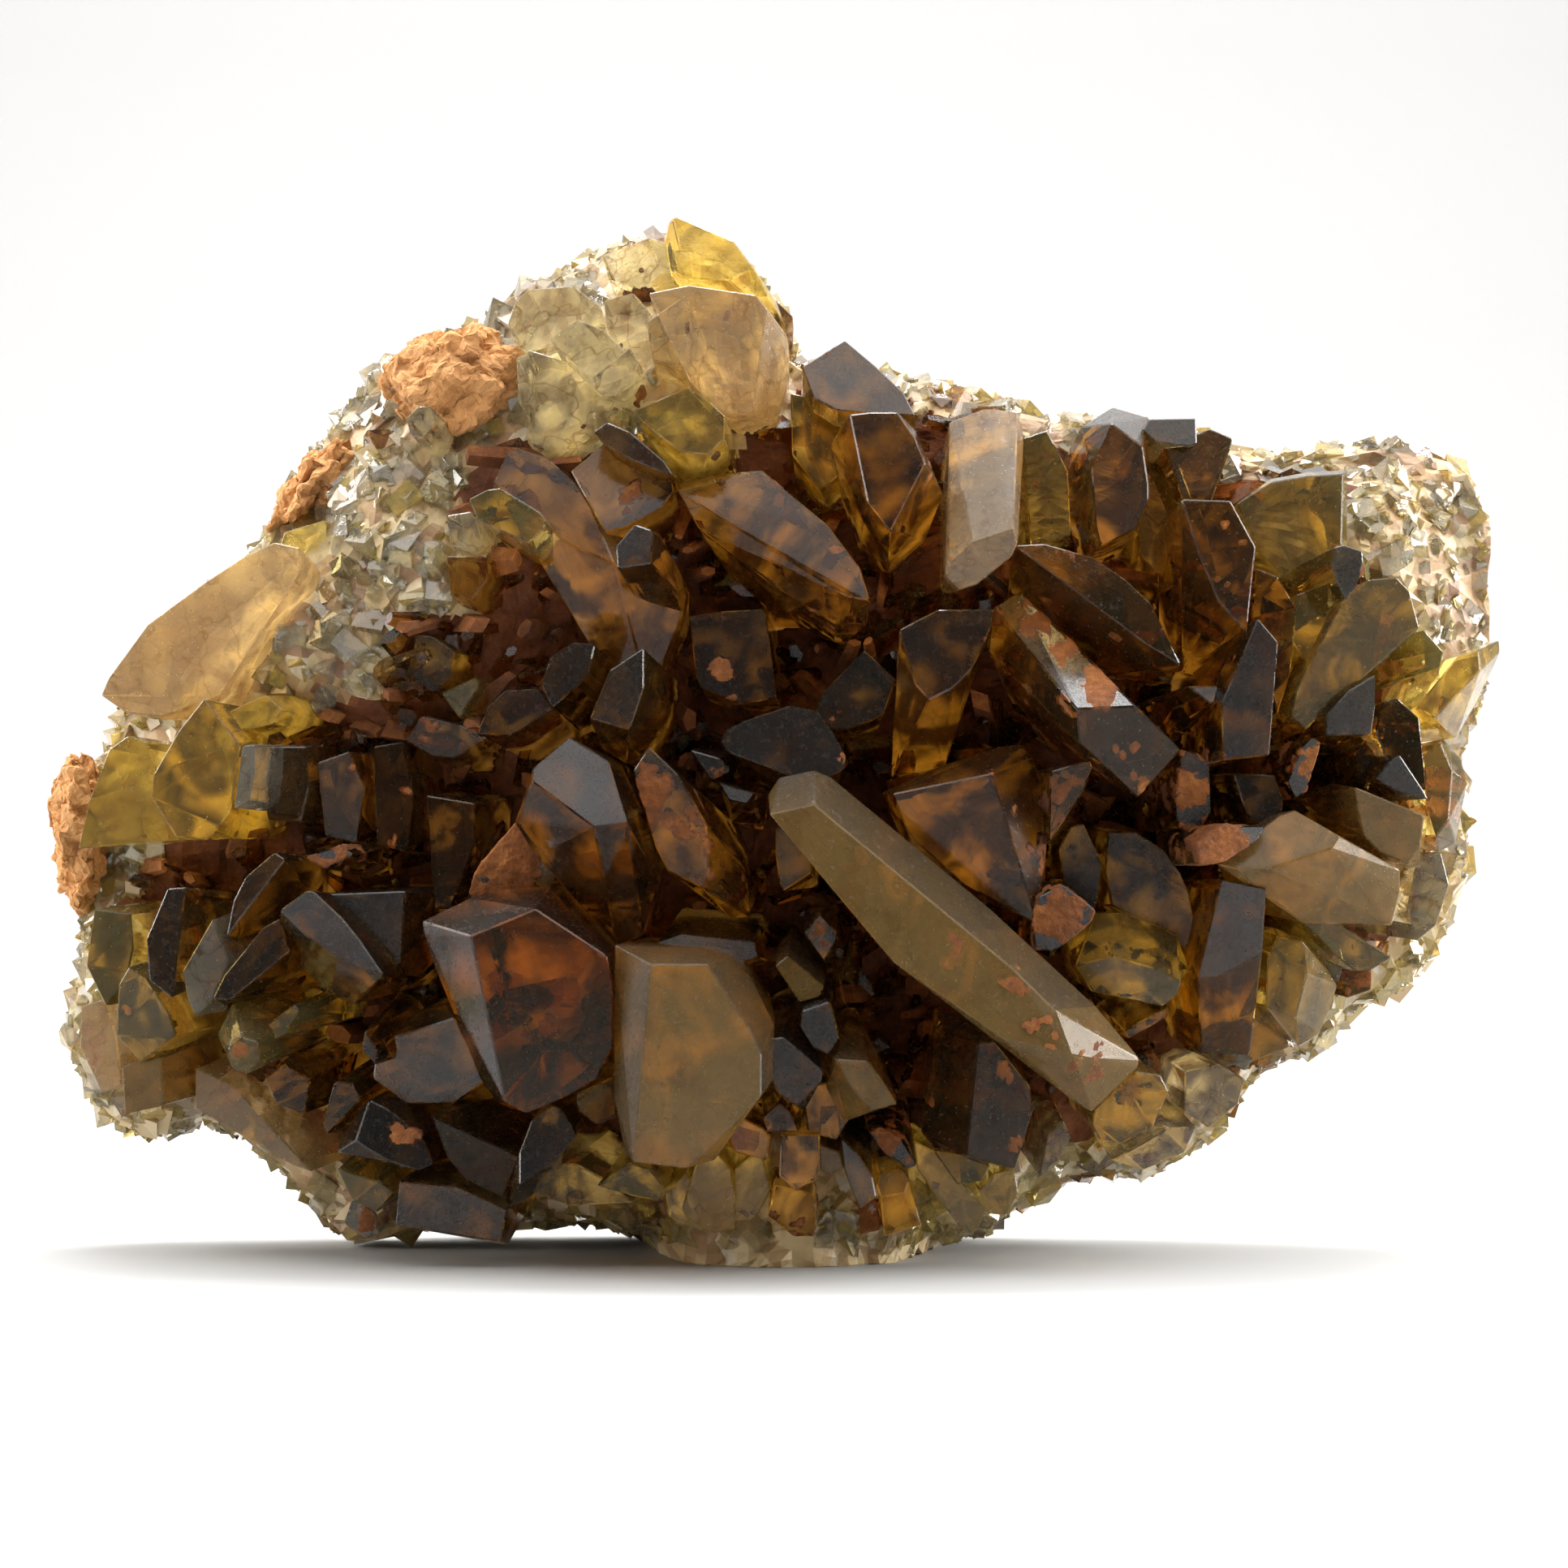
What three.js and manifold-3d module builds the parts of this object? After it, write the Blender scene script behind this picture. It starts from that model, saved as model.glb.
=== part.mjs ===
import * as THREE from 'three';
import { ConvexGeometry } from 'three/addons/geometries/ConvexGeometry.js';
import { mergeVertices } from 'three/addons/utils/BufferGeometryUtils.js';
import Module from 'manifold-3d';

// Baryte specimen: honey-brown crystals grown on pale massive baryte, with crusts of limonite.
// Millimetres, +Z up, the crystals face -Y. The origin is the middle of the specimen's foot.
//
// Corners are written as [across, down] on a front drawing of the specimen at real size, in
// millimetres from the drawing's upper left corner, with a depth towards the viewer. The drawing
// is a perspective one, so place() carries a corner along the line of sight to its depth.

// Driving dimensions
const DRAWING_MIDDLE = 96.6;      // across, the plane that the eye is in
const FOOT_LINE = 155.0;          // down, the level that the specimen rests on
const EYE_DISTANCE = 600;         // from the eye to the drawing's plane
const EYE_HEIGHT = 58.4;          // of the eye over the foot
const SPECIMEN_BACK = -37;        // depth of the rearmost bulge
const ROOT_FAN = 0.13;            // how far crystals' roots draw together towards the group's middle
const FAN_MIDDLE = [102, 98];     // the middle that they draw towards
const LOWEST_CRYSTAL = 0.9;       // no crystal tip comes nearer to the foot's level than this
const SLIGHT_BEND = 0.7;          // a ring's corner that sticks out less than this is left out

// Outline of the massive baryte behind the crystals, clockwise from the top
const ROCK_OUTLINE = [
  [82, 30], [88, 31], [93, 35], [96, 41], [97, 46], [104, 46], [112, 47.6], [119, 48.6],
  [123, 50.2], [129, 52.4], [136, 53], [147, 54], [154, 57], [158, 57.5], [164, 56], [168.7, 54.8],
  [175, 56.6], [179.6, 59], [183.3, 65.2], [183.5, 67.4], [183, 71.2], [184, 79], [181.5, 87],
  [179, 92], [179.5, 100], [179.6, 106], [178.2, 112.6], [176, 117], [172.4, 120.6],
  [164.8, 124.6], [161.6, 128.6], [154.6, 131.4], [148.6, 139.4], [141, 143.8], [133.4, 143.8],
  [125.4, 147.4], [120.4, 150.6], [115, 152.4], [112, 174], [84, 174], [81, 151.6],
  [75.6, 149.4], [64, 149.6], [50, 151], [44.4, 152.4], [40, 148.8], [36, 144], [30, 138.8],
  [24.8, 137.5], [20.6, 139.4], [15.4, 138.4], [11.9, 135], [9.5, 128.4], [9.8, 123], [11.3, 116.6],
  [11.4, 112], [12, 104], [11.4, 98], [14, 92.4], [15.8, 88.6], [17, 84], [22, 77], [30, 70.6],
  [35, 64], [36.8, 60], [40.6, 55], [43.4, 51.2], [47.4, 45.6], [51.4, 43.8], [59.8, 41],
  [62.8, 38.6], [65.6, 35.4], [70.2, 34.4], [74.4, 32], [78, 30.4],
];
const ROCK_CENTRE = [95, 93];
const ROCK_SPOKES = 44;
// Rings of the rock's front and back, as shares of the way from its centre to its outline
const FRONT_RINGS = [0.36, 0.68, 0.9];
const BACK_RINGS = [0.84, 0.6, 0.3];
const RIM_DEPTH = -12;            // depth of the rock's outline in front
const RIM_THICKNESS = 8;          // of the rock's edge, which is blunt
const FRONT_RISE = 12;            // how far the front's middle stands before its rim

// Swellings and hollows of the rock's front: [across, down, radius, height]
const SWELLINGS = [
  [50, 72, 19, 11], [76, 46, 15, 9], [172, 66, 12, 12], [33, 79, 10, 5], [176, 90, 8, 5],
  [45, 52, 10, 4], [17, 122, 9, 7], [20, 98, 10, 4], [150, 125, 12, 4], [135, 137, 10, 3],
  [98, 158, 25, 19],
  [92, 79, 8, -8], [137, 98, 6, -8], [110, 124, 9, -7], [66, 131, 8, -5], [100, 70, 7, -4],
];

// Crystals of the dark bed. Each is the convex body around its rings of corners, and a ring is
// [depth, lean to the right, lean upwards, corner, corner, ...]. A lean is the depth gained per
// millimetre. The first ring is the crystal's end face or front face, the last is its root.
const BED_CRYSTALS = {
  // Upper edge
  top_grey: [
    [8, 0, -0.5, [98.8, 45.2], [101.3, 43.6], [104.1, 41.9], [107.8, 45], [111.3, 48.3],
      [112.8, 51.2], [106.7, 50.9], [103, 50.5], [100.2, 49]],
    [-12, 0, 0, [98, 48], [103.5, 44], [111, 49], [115, 58], [104, 62], [99, 56]]],
  top_amber: [
    [3, 0.1, 0, [97.4, 48.4], [100.2, 49], [104.7, 52], [104, 58], [101, 60.5], [97.6, 56]],
    [-12, 0, 0, [98, 49], [105, 53], [104, 62], [98, 58]]],
  second_grey: [
    [17, 0.05, -0.15, [104.7, 51.1], [107.2, 50.8], [110.6, 50.8], [112.8, 54], [114, 57.1],
      [112.3, 57.4], [111.4, 60.8], [110.9, 63.3], [109.7, 65.5], [106.9, 61.9], [105.5, 55.1]],
    [6, 0, 0, [102.3, 54.9], [104.4, 51.4], [112.8, 53], [116.2, 61], [114, 66.4], [111.1, 69],
      [109.5, 70.4], [106, 64]],
    [-12, 0, 0, [103, 56], [106, 52], [115, 58], [112, 68], [106, 66]]],
  pale_pillar: [
    [18, 0, 0.5, [116.9, 69.7], [119.8, 66.9], [124.9, 65.2], [125.4, 66.9], [124.6, 68.6],
      [120.4, 72], [118.2, 72.7], [116.5, 70.9]],
    [5, 0, 0, [117, 52], [121.2, 50.4], [122.6, 50.4], [125.4, 50.8], [126.2, 54]],
    [-12, 0, 0, [117.4, 53], [125.5, 52], [126, 66], [117.4, 70]]],
  behind_pillar: [
    [6, 0.1, 0, [126, 54], [129, 53], [131.6, 58], [132, 66], [127, 67.4]],
    [-12, 0, 0, [125, 55], [131, 54], [132, 66], [126, 67]]],
  mid_top: [
    [14, 0, 0.1, [137, 52.2], [140.8, 55], [141.5, 59.8], [141.5, 62], [140.1, 65.1],
      [135.6, 67.4], [135, 64.8], [134.5, 57.8]],
    [5, 0, 0, [133.2, 52.6], [137.1, 50.2], [139.7, 51.2], [141.6, 51.5], [141.8, 60]],
    [-12, 0, 0, [133, 55], [141, 53], [142, 66], [135, 68]]],
  top_bar: [
    [11, 0, -0.4, [140.8, 53], [141.6, 51.6], [147.4, 51.5], [147.5, 54.7], [146.5, 55],
      [142.3, 54.4]],
    [-10, 0, 0, [141, 53], [147.4, 52], [147, 57], [142, 57]]],
  right_top: [
    [9, -0.1, 0.1, [143.5, 55], [149.1, 52.8], [151.9, 54], [151.6, 55.3], [149.6, 59.2],
      [149.1, 62.3], [145.7, 61.5], [144.9, 59.2]],
    [-12, 0, 0, [144, 55], [151, 53.6], [151, 63], [145, 64]]],
  glow_back: [
    [3, 0, 0, [140.6, 56], [144.6, 56], [147.6, 64], [149.4, 71.5], [144, 73], [140.4, 68]],
    [-12, 0, 0, [140.6, 57], [146, 57], [149, 72], [141, 72]]],
  speckled_blade: [
    [19, -0.1, 0.05, [145.6, 61.5], [146.8, 62.4], [151.6, 61.7], [152.7, 65.4], [154.7, 67.4],
      [154.3, 69.6], [153.8, 73.3], [153.6, 77.9], [150.2, 74.1], [147.7, 68.2]],
    [9, 0, 0, [145.6, 62], [151.6, 61.8], [154.7, 67.5], [153.6, 80], [152.4, 83.4],
      [151.9, 84.5], [145.7, 82.8]],
    [-10, 0, 0, [146.5, 64], [152, 63], [153.6, 80], [146.5, 82]]],
  curved_blade: [
    [20, 0.05, -0.35, [125, 67.2], [128.7, 67], [134.8, 68.7], [138.8, 71.5], [141.8, 74.3],
      [144.1, 78.8], [145.5, 81.9], [141.3, 79.4], [136, 75.5], [130.3, 69.9], [125.9, 67.9]],
    [12, 0, 0, [125.4, 68.4], [128, 73.6], [132.6, 78], [138, 83], [144.4, 84]],
    [-6, 0, 0, [127, 69], [142, 76], [143, 84], [134, 81], [127, 74]]],
  small_tip: [
    [16, 0, -0.4, [146.3, 84.5], [151.3, 84.5], [151.9, 85.6], [149.1, 86.7]],
    [4, 0, 0, [146.6, 84.6], [151.2, 84.6], [150.4, 91], [147.6, 91]]],
  framed_amber: [
    [9, -0.05, 0, [155, 60.9], [156.7, 59.4], [160.9, 58.7], [165.5, 58.4], [165.3, 67.1],
      [162.6, 71.6], [160, 72.7], [157.5, 70.7], [154.7, 67.6], [152.4, 62]],
    [5, 0, 0, [154.8, 60.5], [156.6, 59], [161, 58.2], [166, 57.9], [166, 67.4], [163, 72]],
    [-12, 0, 0, [155, 62], [165, 60], [165, 72], [158, 74]]],
  hex_tip: [
    [17, 0, 0.1, [164.4, 67.4], [165.6, 67.1], [167.9, 67.9], [168, 69.3], [167.3, 72.1],
      [165.9, 73.8], [164.8, 71.8], [164.1, 69.3]],
    [4, 0, 0, [163.5, 68], [168.1, 69], [166.6, 76], [163, 74]]],
  yellow_prism: [
    [12, 0, 0, [159.7, 73.3], [164.8, 71.3], [163.4, 80.3], [161.4, 82.1], [159.2, 79.1]],
    [-10, 0, 0, [159, 74], [166, 72], [166, 82], [160, 84]]],
  left_of_yellow: [
    [12, 0.1, 0, [154.8, 70], [157.4, 71], [159.8, 75], [159, 83], [157.4, 88], [156.4, 80],
      [154.2, 76]],
    [-8, 0, 0, [154.6, 72], [160, 74], [160, 90], [156, 90]]],
  big_honey_right: [
    [14, 0, 0.1, [165.3, 74.2], [168.7, 71.4], [172.1, 71.1], [173.7, 72.8], [174.9, 77.3],
      [169.3, 82.3], [164.8, 86.2], [160.8, 89.9], [159.1, 88.2], [159.7, 85.1], [162, 81.5]],
    [-10, 0, 0, [160.4, 80], [168, 72], [176.4, 77], [174, 86], [163, 92]]],
  small_dark_block: [
    [16, 0, 0.1, [163.4, 88.2], [166.2, 85.1], [169.5, 83.1], [169.5, 87.1], [169, 90.4],
      [163.4, 90.7]],
    [0, 0, 0, [163.6, 87], [169.6, 84], [170, 91], [164, 92]]],
  // Right edge
  right_small_yellow: [
    [10, 0, 0, [175.4, 77.5], [177.9, 80.3], [177.4, 82.3], [175.7, 82]],
    [-6, 0, 0, [175.2, 78], [178.6, 80], [178, 84], [175.4, 84]]],
  right_yellow_blade: [
    [8, -0.2, 0, [174.6, 87.1], [179.6, 80.9], [182.2, 80.1], [182.4, 82.6], [176.8, 88.5]],
    [0, 0, 0, [182.2, 79.9], [184.7, 78.9], [184.8, 80.3], [184.1, 82], [181.6, 87.1],
      [179.4, 91], [176.8, 90.4], [174.6, 88]],
    [-13, 0, 0, [177, 83], [183.4, 80], [182, 88], [178, 91.5]]],
  right_plate: [
    [12, -0.1, 0, [170.4, 86.5], [172.1, 85.9], [174.9, 88.5], [175.8, 97.4], [171, 94],
      [169.5, 90]],
    [-8, 0, 0, [170, 88], [175, 89], [176, 98], [171, 97]]],
  right_honey_slab: [
    [9, 0.1, 0, [166.8, 92.5], [169, 90.5], [170.5, 90.5], [170, 94], [168.5, 97.5],
      [167.5, 96.5]],
    [-8, 0, 0, [166.6, 92], [171, 91], [171, 98], [167, 98]]],
  right_dark_triangle: [
    [13, 0, 0.1, [169.5, 96], [171, 94], [172.5, 93], [175.5, 97.5], [176, 98.5], [172, 97.5]],
    [-4, 0, 0, [169.5, 96], [172.5, 92], [176, 98], [171, 99.5]]],
  far_right_yellow: [
    [6, -0.15, 0, [175.5, 93], [177.5, 91.5], [179, 95], [178.5, 101], [177, 103],
      [175.7, 99]],
    [2, 0, 0, [177.8, 91], [180, 93.5], [180.8, 96.5], [179.5, 99], [179.4, 104], [177.2, 105]],
    [-13, 0, 0, [176, 93], [180, 94], [179.6, 104], [176, 104]]],
  fan_grey: [
    [13, -0.1, 0.1, [167, 97], [169, 98], [175.5, 100.5], [175, 104.5], [173.5, 106.5],
      [170, 105], [168, 103], [167.3, 100]],
    [4, 0, 0, [163, 100.5], [164, 96.5], [165.5, 97], [176, 100.6], [175, 107], [169, 105.4]],
    [-10, 0, 0, [165, 99], [175, 101], [174, 107], [168, 106]]],
  right_fan: [
    [19, 0, -0.6, [150, 106.5], [154, 104.5], [157.5, 100.5], [159.5, 99.8], [165, 103],
      [164, 104.5], [156.5, 107], [152, 107]],
    [14, -0.1, 0.1, [172.5, 107.2], [172.5, 110], [171.5, 114], [164, 113], [160.5, 113.7],
      [159, 112.5], [157.5, 109.5], [156.5, 107]],
    [-12, 0, 0, [155, 102], [170, 103], [175, 108], [172, 117], [160, 114]]],
  fan_lower: [
    [10, 0, 0.1, [160.5, 113.7], [164, 113], [169, 116.5], [171.5, 118], [169, 119.5],
      [167, 119.7], [165.5, 118.5], [165, 116]],
    [-12, 0, 0, [161, 114], [171, 115], [171, 121], [164, 120]]],
  grey_shelf: [
    [13, 0, -0.1, [152, 95.3], [157, 95.5], [158.2, 98.5], [158, 100], [155, 101.5],
      [154, 101], [153, 98.5]],
    [-4, 0, 0, [152, 95], [159, 96], [158, 103], [153, 102]]],
  rusty_flat: [
    [21, 0, -0.6, [147.5, 104], [150.5, 101.8], [156, 101.8], [155, 103.5], [151, 106],
      [148, 106.5]],
    [4, 0, 0, [148.4, 103], [156, 102], [155, 108], [149, 108]]],
  small_rust_post: [
    [14, 0, 0.2, [160.4, 92], [161.6, 90.8], [162.8, 91.4], [161, 97.6], [159.6, 98.4],
      [158.6, 96.4]],
    [-4, 0, 0, [160, 92], [163, 92], [161, 100], [158.6, 98]]],
  right_pillar: [
    [20, 0.1, 0.05, [150.7, 93.7], [150.5, 86.7], [153.6, 80.3], [155, 76.2], [157.5, 79.1],
      [157.2, 81.7], [156.4, 85], [156.5, 92], [156.4, 93.1]],
    [-4, 0, 0, [149.6, 82], [156, 77], [158.6, 80], [159, 93], [151, 95]]],
  dark_prism: [
    [18, 0, 0.15, [150.5, 108.3], [156, 109.5], [155.5, 111.5], [155, 115], [155.5, 117.5],
      [153, 117.5], [150, 120.5], [147.5, 120.5], [148.5, 116], [150, 111]],
    [10, 0, 0, [147, 120.5], [155.5, 117.6], [154.5, 125], [154, 130], [148, 130],
      [146.8, 126]],
    [-10, 0, 0, [149, 110], [157, 110], [156, 130], [147, 130]]],
  right_clear: [
    [14, 0.05, 0, [157.5, 115.4], [160.5, 116], [161, 120], [159.6, 125.4], [156, 124],
      [156.2, 118]],
    [9, 0, 0, [155.8, 115], [157, 114.3], [160, 115.5], [162, 117.5], [164, 120],
      [164.8, 121.5], [164, 124], [162.5, 127.5], [160, 129], [158, 126.5], [156, 125],
      [155, 123.5]],
    [-10, 0, 0, [157, 115.4], [163.4, 120], [161.6, 128.4], [156, 126]]],
  clear_neighbour: [
    [4, 0, 0, [160.5, 115.5], [162.5, 114], [165, 116], [165.5, 119], [165, 121],
      [163.5, 119]],
    [-12, 0, 0, [161, 115], [165.6, 117], [165, 123], [161, 121]]],
  corner_brown: [
    [2, 0, 0, [164.5, 119.5], [169, 118.5], [169, 122], [166, 123]],
    [-12, 0, 0, [164, 119], [169.6, 118.6], [169, 123], [165, 124]]],
  low_right_body: [
    [4, 0, 0, [154, 124], [158.5, 127], [159, 129], [154, 131], [149, 131.6], [149, 127]],
    [-12, 0, 0, [150, 125], [160, 127], [158, 131], [149, 132.4]]],
  low_right_facet: [
    [10, 0, 0, [152.5, 129.5], [154.5, 130.5], [153.5, 132], [152, 131.2]],
    [-4, 0, 0, [151.6, 129], [155, 130.4], [153.6, 132.4], [151, 132]]],
  // Right of the middle
  slab_left: [
    [12, 0.1, 0, [130.5, 104.5], [132, 101.8], [133.5, 101.5], [135.8, 106.5], [135.5, 109],
      [135, 112], [134, 111.8], [132.5, 109.5], [131, 108.5]],
    [-6, 0, 0, [131, 104], [134, 101], [136.4, 108], [135, 113], [131, 110]]],
  slab_right: [
    [9, 0.1, 0, [136.5, 102.5], [140, 102.5], [143.5, 104.8], [145.5, 107.5], [146.5, 110],
      [148, 118], [144, 114.5], [140, 112], [137, 111.5], [136.2, 107.5]],
    [-10, 0, 0, [137, 102], [146, 107], [149, 120], [138, 114]]],
  rusty_wedge: [
    [22, 0, 0.1, [127.5, 117], [127.2, 113], [128, 110.5], [131, 109], [135, 112.2],
      [134.5, 113.5], [131, 116.5], [129.5, 117.2]],
    [2, 0, 0, [128, 118], [128, 109], [136, 111], [134, 118]]],
  rust_column: [
    [12, 0, 0.05, [145.5, 92.3], [147.5, 92.8], [149, 94], [149.3, 100], [148, 102],
      [146.5, 102.5], [145.2, 102], [144.8, 100], [145.3, 96]],
    [-8, 0, 0, [145, 93], [150, 94], [150, 103], [145, 103]]],
  dusty_blade: [
    [25, 0, 0.3, [132.6, 87.3], [139.9, 87], [145.5, 92.4], [140.2, 98.3], [135.4, 93.7],
      [133.1, 91.7]],
    [9, 0, 0, [122.5, 74.9], [125.6, 72.9], [127.5, 74.5], [125, 85.8], [123.6, 80.2],
      [121.9, 80.2]],
    [-8, 0, 0, [124, 76], [128, 78], [139, 92], [130, 90]]],
  tapering: [
    [17, 0, -0.1, [110.8, 77.6], [114, 77.3], [115.6, 75.1], [122.5, 75.1], [122.1, 77.3],
      [120.9, 80.1], [119.8, 82.3], [117.3, 84.8], [114.5, 86.2], [112.8, 84.3], [112.5, 82]],
    [9, 0, 0, [112.3, 82], [110.5, 90], [109.7, 96.1], [116.4, 94.4], [118.5, 88],
      [120.5, 82]],
    [-8, 0, 0, [112, 78], [121, 77], [118, 96], [110.6, 97]]],
  yellow_cluster: [
    [17, 0, 0.25, [132.5, 119], [137, 117.8], [143, 119.5], [145.5, 121], [145, 122.5],
      [143.2, 124], [141.5, 123], [134.5, 122.2]],
    [11, 0, 0, [132.5, 118.8], [135, 112.5], [138.5, 112.5], [143.5, 115], [145, 115],
      [146.5, 119.5]],
    [-8, 0, 0, [134, 114], [145, 115], [146, 124], [135, 123]]],
  under_cluster: [
    [10, 0, 0.1, [138.5, 127], [144, 124], [143.5, 125.5], [139, 128]],
    [-8, 0, 0, [137, 124], [146, 122], [145, 129], [138, 129]]],
  amber_big: [
    [21, 0.25, 0.1, [110, 97.8], [122.2, 95.3], [123.5, 100], [124.5, 104], [125.8, 107],
      [127.9, 114], [119, 109], [112, 103]],
    [14, 0.1, 0, [108.7, 97.7], [115, 94.7], [118, 93.7], [123, 92], [125.9, 91.7],
      [127.3, 93.4], [129, 99.3], [128.9, 106], [128.5, 107.3], [128.4, 114]],
    [-6, 0, 0, [111, 98], [124, 94], [128, 104], [126, 114], [114, 108]]],
  rusty_shard: [
    [20, 0, 0.1, [129.5, 95], [134.3, 93.7], [134.6, 94.5], [133.7, 97.1], [131, 100],
      [129.2, 104], [129.3, 99]],
    [0, 0, 0, [129, 95], [135, 95], [133, 103], [129, 105]]],
  mid_right_grey: [
    [12, 0.1, -0.1, [106.5, 80.1], [110.4, 83.7], [108.9, 87.9], [107.5, 88.8], [104.4, 89.9],
      [102.4, 89.9], [100.4, 87.6], [101.3, 85.4], [102.4, 84.3]],
    [-8, 0, 0, [106, 80], [111, 85], [108, 92], [101, 90]]],
  centre_grey: [
    [19, 0, -0.25, [88.8, 91.3], [89.5, 89.9], [91.7, 88.8], [97.4, 86.9], [100.7, 87.6],
      [102.7, 90.4], [104.2, 93.3], [103.8, 94.9], [102.1, 95.8], [98.8, 96.1], [97.1, 94.1],
      [93.4, 93.5], [89.8, 92.7]],
    [12, 0, 0, [89, 92.4], [93.5, 95.4], [98, 98.2], [103, 97.2], [104.6, 94]],
    [-6, 0, 0, [91, 90], [102, 90], [104, 98], [94, 98]]],
  square_plate: [
    [11, 0, -0.15, [84.9, 75.9], [89.2, 75.3], [94, 75], [94.4, 75.6], [95, 80.1], [95.7, 86],
      [91.5, 86.8], [86.4, 84.8], [85.7, 83.1]],
    [-10, 0, 0, [85.4, 75], [95, 75], [96, 87], [86, 86]]],
  back_triangle: [
    [6, 0, 0, [92.7, 68], [99.3, 72.2], [97.4, 73], [95.4, 73]],
    [-10, 0, 0, [92, 68], [100, 72], [98, 77], [94, 76]]],
  upper_blade: [
    [13, 0.1, -0.5, [83, 59.2], [90.5, 58.2], [93.9, 57.9], [102, 64.7], [106, 70],
      [107.2, 74], [104.5, 73.5], [99, 67], [92, 62]],
    [12, 0.1, 0, [83.5, 60.5], [86, 65], [95, 72], [103, 77], [106.8, 77]],
    [-8, 0, 0, [86, 60], [94, 60], [106, 72], [103, 78], [90, 70]]],
  // Upper left of the bed
  dark_upper: [
    [11, 0, -0.4, [70.3, 58], [74.5, 54.5], [79, 57], [82.8, 59.2], [83, 60.5], [81.5, 62.5],
      [79, 63.4], [77, 65], [74.5, 65.5], [73, 62]],
    [-8, 0, 0, [71, 60], [82, 60], [80, 68], [74, 67]]],
  big_dark_blade: [
    [11, 0, -0.35, [60.7, 59.6], [62.5, 55.7], [63.6, 55.1], [67.3, 56.3], [70.9, 59.4],
      [72.9, 62.7], [75.1, 68], [75.7, 69.5], [70, 67], [68.1, 64.4], [66.1, 60.2]],
    [9, 0, 0, [62, 61], [67, 70], [73, 80], [80, 86], [81.3, 82.6], [82.4, 79.5],
      [84.2, 75.3], [82.7, 72.8]],
    [-8, 0, 0, [64, 60], [72, 62], [83, 76], [79, 86], [67, 72]]],
  amber_prism: [
    [17, 0.1, -0.1, [57.7, 61.5], [60, 60.3], [61.6, 60.1], [66.7, 63.2], [67.3, 64.3],
      [66.8, 65.5], [65, 67], [62.2, 65.2], [58.8, 63.9]],
    [0, 0, 0, [58, 61], [65, 62], [65, 68], [60, 66]]],
  cube_tip: [
    [20, 0, -0.3, [75.9, 67.3], [78.2, 64.6], [80.2, 65.3], [80.4, 66], [80.2, 69.4],
      [76.1, 70]],
    [15, 0, 0, [76.1, 70.4], [78.5, 72.4], [82.7, 72.6], [83.5, 73], [81.3, 65.7]],
    [0, 0, 0, [77, 68], [83, 70], [82, 76], [78, 75]]],
  two_grey_left: [
    [16, 0, -0.2, [58.8, 90.4], [60, 87.1], [62.2, 85.1], [66.4, 84.8], [68.1, 87.2],
      [64.4, 89.9], [62.8, 90.7]],
    [-2, 0, 0, [59.6, 88], [67, 86], [68.4, 92], [61, 94]]],
  two_grey_right: [
    [16, 0, -0.2, [66.7, 84.3], [67.8, 80.9], [70.6, 79.1], [73.3, 79.4], [72.6, 82.9],
      [71.5, 84.3], [68, 87.2]],
    [-2, 0, 0, [67.6, 83], [73, 81], [74, 88], [69, 91]]],
  bright_block: [
    [21, -0.1, 0, [79.3, 79.8], [75.1, 82.6], [72.7, 88.5], [77.6, 89.9], [79.3, 84.8]],
    [14, 0, 0, [81.4, 84], [80.4, 85.7], [77.2, 94.1], [74.3, 92.4], [72.7, 88.8]],
    [-2, 0, 0, [75, 84], [81, 82], [81, 90], [77, 95], [74, 92]]],
  left_grey: [
    [10, 0, 0, [50.1, 83.1], [51.3, 78.1], [53.2, 78.4], [56, 80.3], [55.7, 83.4],
      [53.5, 85.4]],
    [-6, 0, 0, [50.6, 80], [56, 79], [57, 88], [52, 88]]],
  yellow_chip: [
    [10, 0.1, 0.1, [54.3, 85.4], [58.6, 83.4], [59.1, 84.5], [56.6, 88.5]],
    [-4, 0, 0, [54, 84], [59, 83], [58, 90], [55, 89]]],
  maroon_top: [
    [9, 0, 0.1, [50, 91.3], [51.8, 88.2], [56.6, 89.3], [60, 91], [56, 93.5], [53.2, 93.2]],
    [-4, 0, 0, [50, 90], [60, 89], [58, 96], [52, 96]]],
  // Middle of the bed
  rust_cap: [
    [20, 0.1, 0.1, [78, 95], [80, 92], [83.6, 95.5], [87, 101.4], [87.3, 107], [86.4, 109.3],
      [82.2, 107.3], [80.8, 104.5]],
    [13, 0, 0, [89.5, 104], [91.7, 107.3], [92.5, 113], [90, 113.2], [86.8, 109.7]],
    [-2, 0, 0, [80, 94], [90, 103], [92, 112], [84, 110]]],
  sparkly_chip: [
    [15, 0, 0, [85, 92.4], [88.9, 93.5], [90.1, 94.9], [87.5, 96.1]],
    [2, 0, 0, [84, 91], [91, 92], [90, 99], [85, 98]]],
  round_chip: [
    [15, 0, 0.2, [88.4, 96.3], [93.1, 97.7], [92, 99.1], [89.8, 98.6]],
    [2, 0, 0, [88, 96], [94, 97], [93, 103], [88.4, 102]]],
  under_blade: [
    [16, 0, 0, [95.6, 102], [99, 102], [100, 107.5], [96.5, 109.8], [96, 108.7],
      [95.5, 104.8]],
    [0, 0, 0, [95, 102], [101, 102], [101, 111], [96, 111]]],
  wedge_one: [
    [25, 0, -0.5, [65.6, 94.7], [70.1, 90.8], [75, 93.8], [77.3, 101.4], [73.2, 101.9],
      [65.6, 96.3]],
    [19, 0, 0.15, [63.4, 101.4], [66, 105.5], [70.5, 110], [76, 116.5], [79.3, 115.2],
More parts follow.
